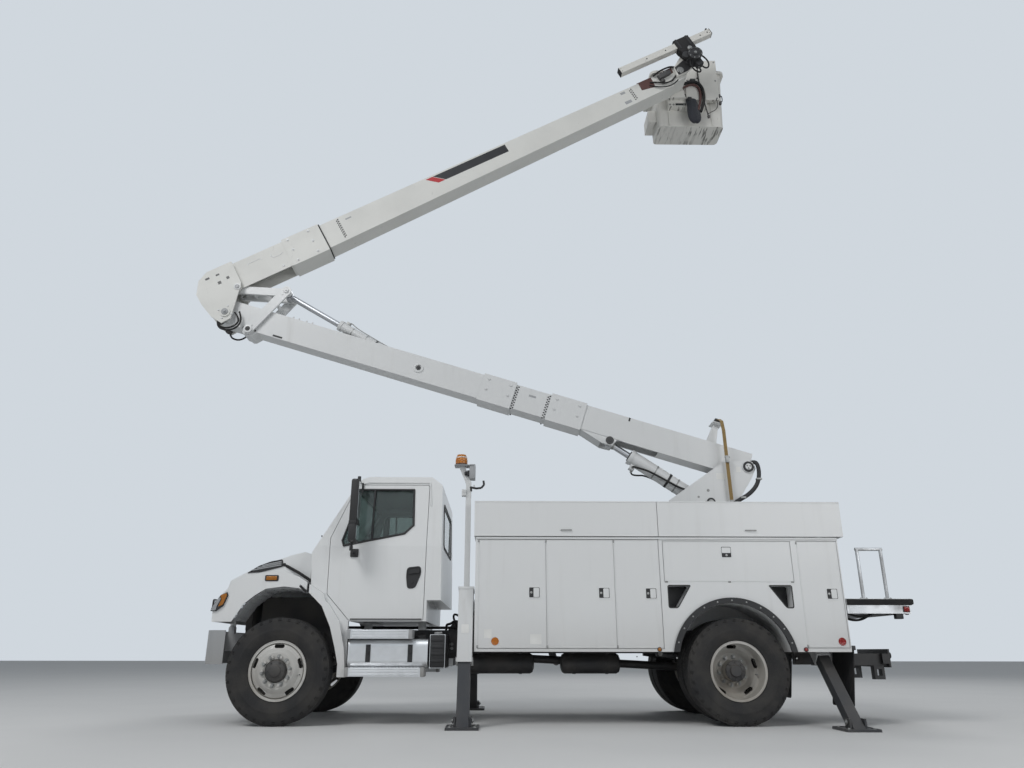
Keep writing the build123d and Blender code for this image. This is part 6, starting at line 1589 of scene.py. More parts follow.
def lower_boom_details():
    """Collar bolts, insert rivets, gussets, pins, boom rest, tie-down strap and side hoses."""
    along, up = lower_way()
    bolts = Piece("lower_boom_collar_bolts", "lower_boom", BOOM_WHITE)
    rivets = Piece("lower_boom_insert_rivets", "lower_boom", TRIM_BLACK)
    plates = Piece("lower_boom_blank_plates", "lower_boom", BUMPER_GREY)
    for side in SIDES.values():
        out = Vector((0, side, 0))
        for u in (2.257, 2.567, 3.2, 3.501):
            for v in (0.17, 0.026):
                bolts.bolt(on_lower(u, v, side * 0.158), out, 0.03, 0.014)
        for u0 in (2.662, 3.092):
            for row in range(9):
                for column in (0, 1):
                    u, v = u0 + column * 0.022, 0.186 - row * 0.037 - column * 0.0185
                    low = on_lower(u - 0.009, v - 0.008, side * 0.1379)
                    rivets.plate(patch(low, along * 0.018, up * 0.016), out * 0.004)
        low = on_lower(2.838, 0.102, side * 0.1379)
        plates.plate(patch(low, along * 0.095, up * 0.026), out * 0.002)
    all_done(bolts, rivets, plates)
    seams = Piece("lower_boom_gussets", "lower_boom", BOOM_WHITE)
    # Black plates on the boom's faces where its slots are: painted shade inside the slots.
    slots = Piece("lower_boom_slot_shade", "lower_boom", TRIM_BLACK)
    for side in SIDES.values():
        out = Vector((0, side * 0.006, 0))
        face = side * (LOWER_FACE - 0.0005)
        gusset = [(1.6, -0.12), (1.7, -0.04), (1.83, 0.128), (1.96, 0.15), (2.16, 0.15), (2.16, -0.12)]
        seams.plate(each(on_lower, gusset, face), out)
        for u0, u1, v0, v1 in ((1.574, 1.596, 0.165, 0.2145), (6.341, 6.475, -0.112, -0.088)):
            slots.plate(each(on_lower, oblong(u0, v0, u1, v1), face), out * 0.5)
        for u in (6.045, 6.13, 6.24, 6.322):
            seams.bar(on_lower(u, 0.214, side * 0.11), on_lower(u, 0.246, side * 0.11), 0.013, 0.01, sides=20)
        seams.lathe(collar_section(0.0, 0.01, 0.012, 0.034, 0.056), on_lower(*ROCKER_FOOT, side * 0.192),
                    (0, side, 0), 40)
        cheek = [(2.166, -0.126), (1.85, -0.222), (1.715, -0.214), (1.672, -0.126)]
        seams.plate(each(on_lower, cheek, side * 0.118), (0, side * 0.0215, 0), 0.003)
        seams.lathe(collar_section(0.0, 0.012, 0.014, 0.041, 0.066), on_lower(*ELBOW_FOOT, side * 0.1398),
                    (0, side, 0), 40)
    seams.plate([on_lower(u, v, -0.118) for u, v in ((2.166, -0.128), (1.87, -0.216), (1.87, -0.208),
                                                     (2.166, -0.12))], (0, 0.236, 0))
    all_done(seams, slots)
    pins = Piece("lower_boom_pins", "lower_boom", IRON)
    for side in SIDES.values():
        out = Vector((0, side, 0))
        for pin, face, radius in ((LIFT_EYE, 0.1396, 0.052), (ELBOW_FOOT, 0.14, 0.03),
                                  (ROCKER_FOOT, 0.192, 0.033)):
            spot = on_lower(*pin, side * face)
            pins.lathe(cap_section(0.0002, 0.008, 0.012, radius, radius - 0.005), spot, out, 40)
            pins.bolt(spot + out * 0.012, out, radius * 0.6, 0.012)
        for u in (6.73, 6.892):
            pins.bolt(on_lower(u, -0.11, side * 0.14), out, 0.022, 0.012)
    pins.done()
    rest = Piece("boom_rest_post", "lower_boom", BOOM_WHITE)
    rest.plate([on_lower(u, v, -0.034) for u, v in ((0.405, 0.214), (0.545, 0.214), (0.5, 0.5), (0.44, 0.5))],
               (0, 0.068, 0), 0.006)
    rest.plate(each(on_lower, oblong(0.4, 0.496, 0.53, 0.512), -0.12), (0, 0.24, 0), 0.003)
    rest.done()
    jaws = Piece("boom_rest_clamps", "lower_boom", TRIM_BLACK)
    for y in (-0.118, 0.078):
        jaws.plate([on_lower(u, v, y) for u, v in ((0.405, 0.511), (0.525, 0.511), (0.51, 0.556),
                                                   (0.42, 0.556))], (0, 0.04, 0), 0.006)
    jaws.bar(on_lower(0.465, 0.524, -0.13), on_lower(0.465, 0.524, 0.13), 0.012, sides=20)
    jaws.done()
    strap = Piece("tie_down_strap", "lower_boom", STRAP_WEB)
    fall = [(5.158, -0.1, 3.597), (5.16, -0.17, 3.592), (5.164, -0.262, 3.54), (5.17, -0.296, 3.4),
            (5.176, -0.298, 3.05), (5.184, -0.297, 2.75), (5.19, -0.296, 2.505)]
    for (x0, y0, z0), (x1, y1, z1) in zip(fall, fall[1:]):
        edge = [at(x0 - 0.022, y0, z0), at(x0 + 0.022, y0, z0), at(x1 + 0.022, y1, z1),
                at(x1 - 0.022, y1, z1)]
        thick = (edge[1] - edge[0]).cross(edge[3] - edge[0]).normalized() * 0.003
        strap.plate(edge, thick)
    strap.done()
    buckle = Piece("tie_down_ratchet", "lower_boom", STEEL)
    buckle.block(at(5.154, -0.322, 2.98), at(5.202, -0.296, 3.07), 0.006)
    buckle.bar(at(5.146, -0.312, 3.05), at(5.21, -0.312, 3.05), 0.01, sides=18, edge=0.002)
    buckle.block(at(5.168, -0.306, 2.48), at(5.212, -0.288, 2.508), 0.004)
    buckle.done()
    for place, v in (("upper", 0.06), ("lower", 0.02)):
        path = [on_lower(u, v + 0.006 * sin(u * 5), 0.1535) for u in (0.6, 1.05, 1.5, 1.95, 2.1)]
        hose(f"boom_side_hose_{place}", "lower_boom", HOSE_RUBBER, path, 0.0115)
    clamps = Piece("boom_side_hose_clamps", "lower_boom", STEEL)
    for u in (0.7, 1.3, 1.9):
        low = on_lower(u - 0.014, -0.004, 0.1398)
        clamps.plate(patch(low, along * 0.028, up * 0.088), (0, 0.026, 0), 0.003)
    clamps.done()


def cylinder_way(foot, eye):
    """Direction of a cylinder, and a function for points along it, above its axis and across it."""
    way = (eye - foot).normalized()
    over = way.cross(Vector((0, 1, 0))).normalized()
    if over.z < 0:
        over = -over

    def beside(along, up=0.0, y=0.0):
        point = foot + way * along + over * up
        return Vector((point.x, y, point.z))

    return way, beside


def cylinder_details():
    """Bands, ports, fittings and hoses on the two boom cylinders."""
    base, end = at(LIFT_FOOT[0], 0, LIFT_FOOT[1]), on_lower(*LIFT_EYE)
    way, lift = cylinder_way(base, end)
    trim = Piece("lift_barrel_bands", "lift_barrel", TRIM_BLACK)
    trim.lathe(collar_section(0.56, 0.59, 0.59, 0.0945, 0.0985), base, way, 48)
    trim.lathe([(1.1502, 0.0412), (1.1502, 0.07), (1.158, 0.07), (1.162, 0.064), (1.162, 0.0412)], base, way,
               48)
    trim.done()
    ports = Piece("lift_barrel_ports", "lift_barrel", BOOM_WHITE)
    ports.plate(each(lift, oblong(1.01, -0.085, 1.08, -0.15), -0.05), (0, 0.1, 0), 0.006)
    ports.done()
    hose("lift_hose_long", "lift_barrel", HOSE_RUBBER,
         [lift(1.045, -0.118, -0.045), lift(1.045, -0.118, -0.095), lift(0.99, -0.105, -0.118),
          lift(0.85, -0.06, -0.114), lift(0.6, -0.04, -0.112), lift(0.43, -0.03, -0.116),
          lift(0.355, -0.014, -0.128), lift(0.335, -0.01, -0.116)], 0.013)
    hose("lift_hose_short", "lift_barrel", HOSE_RUBBER,
         [lift(1.03, -0.15, 0.02), lift(1.015, -0.185, 0.03), lift(0.95, -0.15, 0.08),
          lift(0.85, -0.07, 0.112), lift(0.6, -0.04, 0.112), lift(0.43, -0.03, 0.114),
          lift(0.355, -0.014, 0.126), lift(0.335, -0.01, 0.116)], 0.011)
    fittings = Piece("lift_cylinder_fittings", "lift_barrel", STEEL)
    fittings.bar(lift(1.045, -0.118, -0.049), lift(1.045, -0.118, -0.078), 0.017, sides=6)
    for side in SIDES.values():
        fittings.bar(lift(0.335, -0.01, side * 0.088), lift(0.335, -0.01, side * 0.118), 0.017, sides=6)
    fittings.bar(lift(1.03, -0.149, 0.02), lift(1.026, -0.172, 0.02), 0.016, sides=6)
    for along in (0.45, 0.76):
        fittings.lathe(collar_section(along, along + 0.018, along + 0.018, 0.0948, 0.0972), base, way, 48)
    fittings.done()
    eye = Piece("lift_rod_wiper", "lift_rod", STEEL)
    length = (end - base).length
    eye.lathe([(length - 0.09, 0.0402), (length - 0.09, 0.047), (length - 0.06, 0.05),
               (length - 0.06, 0.0402)], base, way, 40)
    eye.done()

    low = on_lower(*ELBOW_FOOT)
    reach, elbow = cylinder_way(low, ROCKER_TOP)
    gland = Piece("elbow_barrel_bands", "elbow_barrel", TRIM_BLACK)
    gland.lathe(collar_section(1.3022, 1.312, 1.314, 0.0412, 0.056), low, reach, 40)
    gland.lathe(collar_section(0.7, 0.724, 0.724, 0.0655, 0.0695), low, reach, 40)
    gland.done()
    block = Piece("elbow_barrel_ports", "elbow_barrel", STEEL)
    for port in (oblong(1.18, 0.058, 1.24, 0.1), oblong(0.33, 0.058, 0.4, 0.104)):
        block.plate(each(elbow, port, -0.024), (0, 0.048, 0), 0.004)
    for along in (0.56, 0.86, 1.08):
        block.lathe(collar_section(along, along + 0.014, along + 0.014, 0.0658, 0.068), low, reach, 40)
    block.done()
    hose("elbow_hard_line", "elbow_barrel", STEEL,
         [elbow(1.2, 0.098, 0.0), elbow(1.18, 0.112, 0.0), elbow(1.08, 0.084, 0.0), elbow(0.8, 0.078, 0.0),
          elbow(0.56, 0.078, 0.0), elbow(0.43, 0.092, 0.0), elbow(0.38, 0.1, 0.0)], 0.007)


def upper_boom_details():
    """Elbow pins, bolts, welds, collar seal, stripe, guard band, rivet rows and blank plates."""
    along, up = upper_way()
    pins = Piece("elbow_pins", "upper_boom", BUMPER_GREY)
    bolts = Piece("upper_boom_bolts", "upper_boom", BOOM_WHITE)
    welds = Piece("upper_boom_welds", "upper_boom", BOOM_WHITE)
    for side in SIDES.values():
        out = Vector((0, side, 0))
        pins.lathe(cap_section(0.0002, 0.01, 0.014, 0.044, 0.039), on_upper(0, 0, side * 0.232), out, 44)
        pins.bolt(on_upper(0, 0, side * 0.246), out, 0.04, 0.016)
        pins.lathe(cap_section(0.0002, 0.008, 0.011, 0.028, 0.024), on_upper(0.287, 0.275, side * 0.226), out,
                   40)
        welds.lathe(collar_section(0.0002, 0.007, 0.008, 0.031, 0.048), on_upper(0.287, 0.275, side * 0.218),
                    out, 40)
        for turn in range(4):
            angle = radians(45 + turn * 90)
            bolts.bolt(on_upper(0.095 * cos(angle), 0.095 * sin(angle), side * 0.218), out, 0.022, 0.012)
        for u, v in ((1.173, 0.655), (1.184, 0.48), (1.484, 0.48), (1.484, 0.655), (1.184, 0.3),
                     (1.484, 0.3)):
            bolts.bolt(on_upper(u, v, side * 0.168), out, 0.03, 0.014)
        bolts.bolt(on_upper(0.968, 0.32, side * 0.15), out, 0.028, 0.012)
        for loop in (collar_section(0.534, 0.73, 0.73, 0.546, 0.573),
                     [(0.885, 0.574), (0.87, 0.54), (0.9, 0.5), (1.0, 0.5), (1.04, 0.52)]):
            for (u0, v0), (u1, v1) in zip(loop, loop[1:]):
                welds.bar(on_upper(u0, v0, side * 0.15), on_upper(u1, v1, side * 0.15), 0.005, sides=10)
        for (u0, v0), (u1, v1) in (((0.065, 0.657), (0.345, 0.657)), ((0.345, 0.4), (0.345, 0.657))):
            welds.bar(on_upper(u0, v0, side * 0.1505), on_upper(u1, v1, side * 0.1505), 0.006, sides=10)
    all_done(pins, bolts, welds)
    marks = Piece("elbow_blank_plates", "upper_boom", DECAL_BLACK)
    for u, v, wide, high in ((-0.06, 0.56, 0.06, 0.03), (0.09, 0.556, 0.05, 0.026),
                             (0.074, 0.421, 0.046, 0.046), (0.205, 0.444, 0.04, 0.04)):
        for side in SIDES.values():
            low = on_upper(u, v, side * 0.2183)
            marks.plate(patch(low, along * wide, up * high), (0, side * 0.0008, 0))
    marks.done()
    ring = Piece("upper_boom_collar_seal", "upper_boom", TRIM_BLACK)
    for face in (-1, 1):
        ring.plate(each(on_upper, oblong(1.641, 0.272, 1.66, 0.679), face * 0.1395), (0, face * 0.014, 0))
    for v0, v1 in ((0.262, 0.2745), (0.6765, 0.69)):
        ring.plate(each(on_upper, oblong(1.641, v0, 1.66, v1), -0.1535), (0, 0.307, 0))
    ring.done()
    decals = (
        ("red", DECAL_RED, [(3.33, 0.652), (3.44, 0.652), (3.59, 0.52), (3.48, 0.52)]),
        ("black", DECAL_BLACK, [(3.45, 0.652), (4.64, 0.652), (4.64, 0.52), (3.6, 0.52)]),
    )
    for name, material, outline in decals:
        strip = Piece(f"tube_decal_{name}", "upper_boom", material)
        for side in SIDES.values():
            strip.ring(each(on_upper, outline, side * 0.1402), 0.0, (0, side * 0.0008, 0), 0.004)
        strip.done()
    band = Piece("tube_guard_band", "upper_boom", BAND_BROWN)
    cuff = [(6.97, 0.54), (7.19, 0.5), (7.215, 0.679), (6.985, 0.679)]
    for face in (-1, 1):
        band.plate(each(on_upper, cuff, face * 0.1398), (0, face * 0.006, 0), 0.002)
    band.plate(each(on_upper, oblong(6.96, 0.6765, 7.2, 0.684), -0.1455), (0, 0.291, 0), 0.002)
    band.done()
    studs = Piece("tube_rivet_rows", "upper_boom", TRIM_BLACK)
    for side in SIDES.values():
        for u0, lowest in ((6.79, 0.43), (6.82, 0.447), (1.9, 0.33), (1.922, 0.347)):
            for row in range(round((0.655 - lowest) / 0.036)):
                low = on_upper(u0, lowest + row * 0.036, side * 0.1395)
                studs.plate(patch(low, along * 0.018, up * 0.018), (0, side * 0.003, 0))
    studs.done()
    labels = Piece("tube_blank_plates", "upper_boom", BUMPER_GREY)
    for side in SIDES.values():
        for u, v, wide, high in ((6.62, 0.425, 0.11, 0.05), (6.64, 0.61, 0.08, 0.04),
                                 (2.03, 0.585, 0.09, 0.022)):
            low = on_upper(u, v, side * 0.14)
            labels.plate(patch(low, along * wide, up * high), (0, side * 0.0012, 0))
    labels.done()


def elbow_hoses():
    """Hoses and casting held under the elbow's plates."""
    sets = (
        [(-0.105, -0.06, -0.202), (-0.15, -0.13, -0.202), (-0.11, -0.205, -0.202), (0.0, -0.245, -0.202),
         (0.095, -0.225, -0.202), (0.13, -0.15, -0.202), (0.11, -0.06, -0.202)],
        [(-0.13, -0.06, -0.202), (-0.185, -0.15, -0.202), (-0.07, -0.268, -0.202), (0.06, -0.282, -0.202),
         (0.16, -0.2, -0.202), (0.17, -0.08, -0.202)],
        [(-0.09, -0.04, 0.202), (-0.14, -0.14, 0.202), (-0.06, -0.25, 0.202), (0.06, -0.262, 0.202),
         (0.14, -0.19, 0.202), (0.16, -0.08, 0.202)],
    )
    for place, path in enumerate(sets, 1):
        hose(f"elbow_hose_{place}", "upper_boom", HOSE_RUBBER, [on_upper(*point) for point in path], 0.012)
    swivel = Piece("elbow_swivel_casting", "upper_boom", IRON)
    for side in SIDES.values():
        swivel.lathe([(0.0, 0.0), (0.0, 0.04), (-0.02, 0.046), (-0.05, 0.046), (-0.06, 0.036), (-0.06, 0.0)],
                     on_upper(-0.105, -0.075, side * 0.198), (0, side, 0), 32)
    swivel.done()


def rocker_details():
    """Pin caps and nuts on the rocker."""
    caps = Piece("rocker_pin_caps", "rocker", BOOM_WHITE)
    for side in SIDES.values():
        spot = ROCKER_TOP + Vector((0, side * 0.191, 0))
        caps.lathe(cap_section(0.0002, 0.008, 0.012, 0.034, 0.029), spot, (0, side, 0), 36)
        caps.bolt(spot + Vector((0, side * 0.012, 0)), (0, side, 0), 0.022, 0.01)
        start = on_lower(*ROCKER_FOOT, side * 0.185)
        for share in (0.1, 0.9):
            spot = start.lerp(Vector((ROCKER_TOP.x, start.y, ROCKER_TOP.z)), share)
            caps.bolt(spot, (0, side, 0), 0.018, 0.01)
    caps.done()


turret_details()
lower_boom_details()
cylinder_details()
upper_boom_details()
elbow_hoses()
rocker_details()


# Bucket and jib
def jib_details():
    """Sleeve guard and straps, winch with its hoses, pole bolts and end caps."""
    guard = Piece("jib_sleeve_guard", "jib", HOSE_RUBBER)
    shape = [(7.768, 0.799), (7.768, 0.989), (8.038, 0.989), (8.038, 0.799), (8.038, 0.7), (7.992, 0.557),
             (7.848, 0.557), (7.797, 0.7)]
    guard.plate(each(on_upper, shape, -0.329), (0, 0.123, 0), 0.004)
    guard.done()
    straps = Piece("jib_sleeve_straps", "jib", TRIM_BLACK)
    for u in (7.8, 7.98):
        for y in (-0.333, -0.2085):
            straps.plate(each(on_upper, oblong(u, 0.81, u + 0.03, 0.992), y), (0, 0.004, 0), 0.001)
        straps.plate(each(on_upper, oblong(u, 0.9885, u + 0.03, 0.993), -0.333), (0, 0.1285, 0), 0.001)
    straps.done()
    winch = Piece("jib_winch", "jib", TRIM_BLACK)
    hub = on_upper(7.915, 0.6)
    winch.lathe([(0.208, 0.0), (0.208, 0.111), (0.222, 0.111), (0.226, 0.1065), (0.376, 0.1065),
                 (0.38, 0.111), (0.392, 0.111), (0.395, 0.106), (0.395, 0.082), (0.3915, 0.078),
                 (0.3915, 0.05), (0.402, 0.044), (0.404, 0.026), (0.404, 0.0)], hub, (0, -1, 0), 56)
    winch.plate(each(on_upper, oblong(7.866, 0.416, 7.974, 0.56), -0.334), (0, 0.098, 0), 0.008)
    winch.bar(on_upper(7.79, 0.655, -0.331), on_upper(7.79, 0.655, -0.37), 0.058, sides=32, edge=0.006)
    winch.plate([on_upper(u, v, -0.365) for u, v in ((7.77, 0.64), (7.86, 0.56), (7.89, 0.64), (7.8, 0.72))],
                (0, 0.037, 0), 0.006)
    winch.done()
    drum = Piece("jib_winch_bolts", "jib", STEEL)
    for spot in ring_of(8, hub + Vector((0, -0.395, 0)), (0, 1, 0), 0.094, 0.2):
        drum.bolt(spot, (0, -1, 0), 0.014, 0.008)
    drum.bolt(hub + Vector((0, -0.404, 0)), (0, -1, 0), 0.03, 0.01)
    for u, v in ((7.89, 0.44), (7.95, 0.44)):
        drum.bar(on_upper(u, v - 0.024, -0.285), on_upper(u, v - 0.055, -0.285), 0.012, sides=6)
    drum.done()
    hose("winch_hose_left", "jib", HOSE_RUBBER,
         [on_upper(7.89, 0.4, -0.285), on_upper(7.885, 0.345, -0.287), on_upper(7.84, 0.31, -0.3),
          on_upper(7.775, 0.36, -0.318), on_upper(7.77, 0.48, -0.322), on_upper(7.81, 0.56, -0.32),
          on_upper(7.85, 0.59, -0.318)], 0.012)
    hose("winch_hose_right", "jib", HOSE_RUBBER,
         [on_upper(7.95, 0.4, -0.285), on_upper(7.962, 0.345, -0.287), on_upper(8.01, 0.33, -0.3),
          on_upper(8.05, 0.4, -0.318), on_upper(8.04, 0.52, -0.322), on_upper(8.01, 0.58, -0.318)], 0.012)
    fittings = Piece("jib_pole_bolts", "jib", TRIM_BLACK)
    for u in (7.24, 7.58, 8.215, 8.345):
        for side_y, way in ((-0.3202, -1), (-0.2198, 1)):
            fittings.bar(on_upper(u, 0.895, side_y), on_upper(u, 0.895, side_y + way * 0.003), 0.01, sides=18)
    for u, v in ((6.79, 0.895), (8.376, 0.895)):
        for turn in range(4):
            a = radians(45 + 90 * turn)
            fittings.bar(on_upper(u, v + 0.034 * cos(a), -0.3202), on_upper(u, v + 0.034 * cos(a), -0.3225),
                         0.005, sides=12)
    fittings.done()
    caps = Piece("jib_pole_caps", "jib", HOSE_RUBBER)
    for u0, u1 in ((6.757, 6.7655), (8.3995, 8.409)):
        caps.plate(each(on_upper, oblong(u0, 0.8425, u1, 0.9475), -0.3225), (0, 0.105, 0), 0.003)
    for y in (-0.305, -0.235):
        caps.bar(on_upper(8.37, 0.94, y), on_upper(8.37, 0.972, y), 0.014, sides=20, edge=0.003)
    caps.bar(on_upper(8.37, 0.962, -0.312), on_upper(8.37, 0.962, -0.228), 0.016, sides=24, edge=0.003)
    caps.done()


def bucket_details():
    """Ribs, rim strip, control box, painted shade in the bracket's openings, bolts, step treads and the
    panel's lines.
    """
    ribs = Piece("bucket_ribs", "bucket", BUCKET_SHELL)
    for x in (4.96, 5.3, 5.64):
        for side, y in ((-1, 0.342), (1, 0.818)):
            ribs.plate([at(x - 0.01, y, 8.6), at(x + 0.01, y, 8.6), at(x + 0.01, y + side * 0.024, 9.54),
                        at(x - 0.01, y + side * 0.024, 9.54)], (0, side * 0.008, 0), 0.002)
    ribs.done()
    lip = Piece("bucket_rim_strip", "bucket", BUCKET_SHELL)
    outline = [at(x, y, 9.604) for x, y in oblong(4.701, 0.275, 5.895, 0.885)]
    lip.ring([p - Vector((0, 0, 0.006)) for p in outline], 0.016, (0, 0, 0.01), 0.09)
    lip.done()
    panel = Piece("bucket_control_box", "bucket", TRIM_BLACK)
    panel.block(at(5.3, 0.2455, 9.62), at(5.56, 0.3, 9.72), 0.012)
    for row in range(4):
        x = 5.33 + row * 0.065
        panel.bar(at(x, 0.27, 9.715), at(x + 0.006, 0.275, 9.765), 0.006, sides=16)
        panel.bar(at(x + 0.006, 0.275, 9.752), at(x + 0.007, 0.2755, 9.772), 0.011, sides=20, edge=0.003)
    panel.done()
    button = Piece("bucket_stop_button", "bucket", LAMP_RED)
    button.lathe([(0.0, 0.0), (0.0, 0.016), (0.02, 0.016), (0.024, 0.022), (0.034, 0.022), (0.038, 0.0)],
                 at(5.61, 0.2455, 9.68), (0, 1, 0), 28)
    button.done()
    # Black plates where the bracket's openings are: painted shade inside the openings.
    slot = Piece("bracket_opening_shade", "bucket", TRIM_BLACK)
    for x0, x1, z0, z1 in ((5.06, 5.225, 9.045, 9.105), (5.05, 5.215, 8.885, 8.925)):
        slot.ring([at(x, 0.2297, z) for x, z in oblong(x0, z0, x1, z1)], 0.0, (0, -0.003, 0), 0.006)
    slot.done()
    bolts = Piece("bucket_bracket_bolts", "bucket", STEEL)
    for x in (4.965, 5.02, 5.19):
        for z in (8.9, 9.01, 9.2):
            bolts.bolt(at(x, 0.23, z), (0, -1, 0), 0.024, 0.014)
    for x in (5.26, 5.715):
        for z in (9.01, 9.35, 9.715):
            bolts.bolt(at(x, 0.205, z), (0, -1, 0), 0.02, 0.01)
    hub = on_upper(7.66, 0.55, -0.2)
    bolts.lathe(cap_section(0.0002, 0.008, 0.012, 0.055, 0.05), hub, (0, -1, 0), 40)
    for spot in ring_of(4, hub + Vector((0, -0.012, 0)), (0, 1, 0), 0.036, 0.4):
        bolts.bolt(spot, (0, -1, 0), 0.014, 0.008)
    bolts.lathe(cap_section(0.0, 0.006, 0.01, 0.036, 0.03), on_upper(7.924, 0.749, -0.345), (0, -1, 0), 36)
    bolts.done()
    treads = Piece("bucket_step_treads", "bucket", TRIM_BLACK)
    for z in (8.722, 9.192):
        treads.block(at(4.668, 0.43, z), at(4.74, 0.71, z + 0.004), 0.001)
        for rib in range(4):
            treads.block(at(4.672 + rib * 0.017, 0.436, z + 0.003), at(4.68 + rib * 0.017, 0.704, z + 0.008),
                         0.001)
    treads.done()
    lines = (
        ("panel_line_left", [(5.44, 0.196, 9.56), (5.432, 0.186, 9.4), (5.47, 0.184, 9.15), (5.5, 0.186, 8.9),
                             (5.536, 0.19, 8.7), (5.545, 0.194, 8.652)], 0.009),
        ("panel_line_right", [(5.745, 0.225, 9.07), (5.79, 0.222, 9.08), (5.8, 0.22, 9.01),
                              (5.79, 0.222, 8.94), (5.745, 0.225, 8.93)], 0.007),
        ("panel_line_low", [(5.7, 0.205, 9.0), (5.72, 0.196, 8.9), (5.68, 0.192, 8.78), (5.6, 0.192, 8.74),
                            (5.54, 0.194, 8.7)], 0.006),
    )
    for name, path, radius in lines:
        hose(name, "bucket", HOSE_RUBBER, [at(*point) for point in path], radius)
    ends = Piece("panel_line_fittings", "bucket", IRON)
    ends.bar(at(5.545, 0.194, 8.665), at(5.548, 0.195, 8.625), 0.024, 0.018, sides=20, edge=0.004)
    ends.block(at(5.744, 0.208, 9.045), at(5.775, 0.242, 9.095), 0.004)
    ends.block(at(5.744, 0.206, 8.905), at(5.782, 0.244, 8.96), 0.004)
    for x, z0, z1 in ((5.428, 9.38, 9.402), (5.466, 9.145, 9.167)):
        ends.block(at(x - 0.014, 0.19, z0), at(x + 0.014, 0.2052, z1), 0.002)
    ends.done()


def tip_details():
    """Valve, guard and hoses at the boom's tip, the arm's cover and the bucket's two thick hoses."""
    valve = Piece("tip_valve", "upper_boom", IRON)
    valve.plate([on_upper(u, v, -0.145) for u, v in ((7.3, 0.56), (7.52, 0.575), (7.52, 0.64), (7.3, 0.64))],
                (0, -0.06, 0), 0.01)
    valve.bar(on_upper(7.33, 0.54, -0.17), on_upper(7.33, 0.5, -0.17), 0.036, sides=28, edge=0.004)
    for u in (7.38, 7.43, 7.48):
        valve.bar(on_upper(u, 0.638, -0.175), on_upper(u, 0.662, -0.175), 0.012, sides=6)
    valve.done()
    guard = Piece("tip_guard", "upper_boom", BAND_BROWN)
    guard.plate([on_upper(u, v, -0.146) for u, v in ((7.48, 0.69), (7.59, 0.692), (7.57, 0.6), (7.54, 0.59))],
                (0, -0.008, 0), 0.002)
    guard.plate([on_upper(u, v, -0.15) for u, v in ((7.34, 0.6845), (7.7, 0.6855), (7.7, 0.694),
                                                    (7.34, 0.692))], (0, 0.3, 0), 0.003)
    guard.done()
    arcs = (
        ("tip_hose_upper", [(7.25, 0.67, -0.165), (7.34, 0.7, -0.168), (7.48, 0.706, -0.176),
                            (7.6, 0.69, -0.176), (7.64, 0.64, -0.168)], 0.014),
        ("tip_hose_middle", [(7.15, 0.6, -0.15), (7.22, 0.56, -0.168), (7.33, 0.47, -0.172),
                             (7.45, 0.455, -0.168), (7.54, 0.5, -0.16), (7.6, 0.54, -0.156)], 0.012),
        ("tip_hose_lower", [(7.12, 0.56, -0.146), (7.2, 0.47, -0.166), (7.32, 0.4, -0.172),
                            (7.47, 0.392, -0.17), (7.56, 0.44, -0.158)], 0.009),
    )
    for name, path, radius in arcs:
        hose(name, "upper_boom", HOSE_RUBBER, [on_upper(*point) for point in path], radius)
    cover = Piece("tip_arm_cover", "bucket", TRIM_BLACK)
    outline = [(7.59, 0.484), (7.757, 0.484), (7.985, 0.563), (8.003, 0.66), (7.94, 0.7), (7.8, 0.69),
               (7.606, 0.63)]
    cover.plate(each(on_upper, outline, -0.2002), (0, -0.007, 0), 0.003)
    for u, v in ((7.62, 0.52), (7.74, 0.51), (7.95, 0.59), (7.7, 0.64), (7.86, 0.66)):
        cover.bolt(on_upper(u, v, -0.2072), (0, -1, 0), 0.018, 0.01)
    cover.done()
    arc = [at(x, 0.18, z) for x, z in ((5.0, 9.124), (5.09, 9.19), (5.18, 9.254), (5.345, 9.323),
                                       (5.47, 9.25), (5.505, 9.066), (5.485, 8.875), (5.425, 8.73))]
    hose("bucket_hose_bundle", "bucket", HOSE_RUBBER, arc, 0.024)
    second = [at(x, 0.182, z) for x, z in ((5.02, 9.08), (5.1, 9.14), (5.2, 9.2), (5.33, 9.265), (5.43, 9.2),
                                           (5.45, 9.06), (5.43, 8.9), (5.39, 8.76))]
    hose("bucket_hose_second", "bucket", BAND_BROWN, second, 0.018)
    stub = Piece("bucket_hose_clamps", "bucket", TRIM_BLACK)
    stub.bar(at(4.96, 0.228, 9.1), at(5.01, 0.165, 9.132), 0.036, sides=28, edge=0.004)
    stub.block(at(5.235, 0.16, 8.93), at(5.3, 0.2302, 9.0), 0.008)
    stub.bar(at(5.3, 0.18, 9.328), at(5.385, 0.18, 9.328), 0.03, sides=28, edge=0.004)
    stub.block(at(5.328, 0.17, 9.28), at(5.358, 0.2052, 9.345), 0.004)
    stub.done()


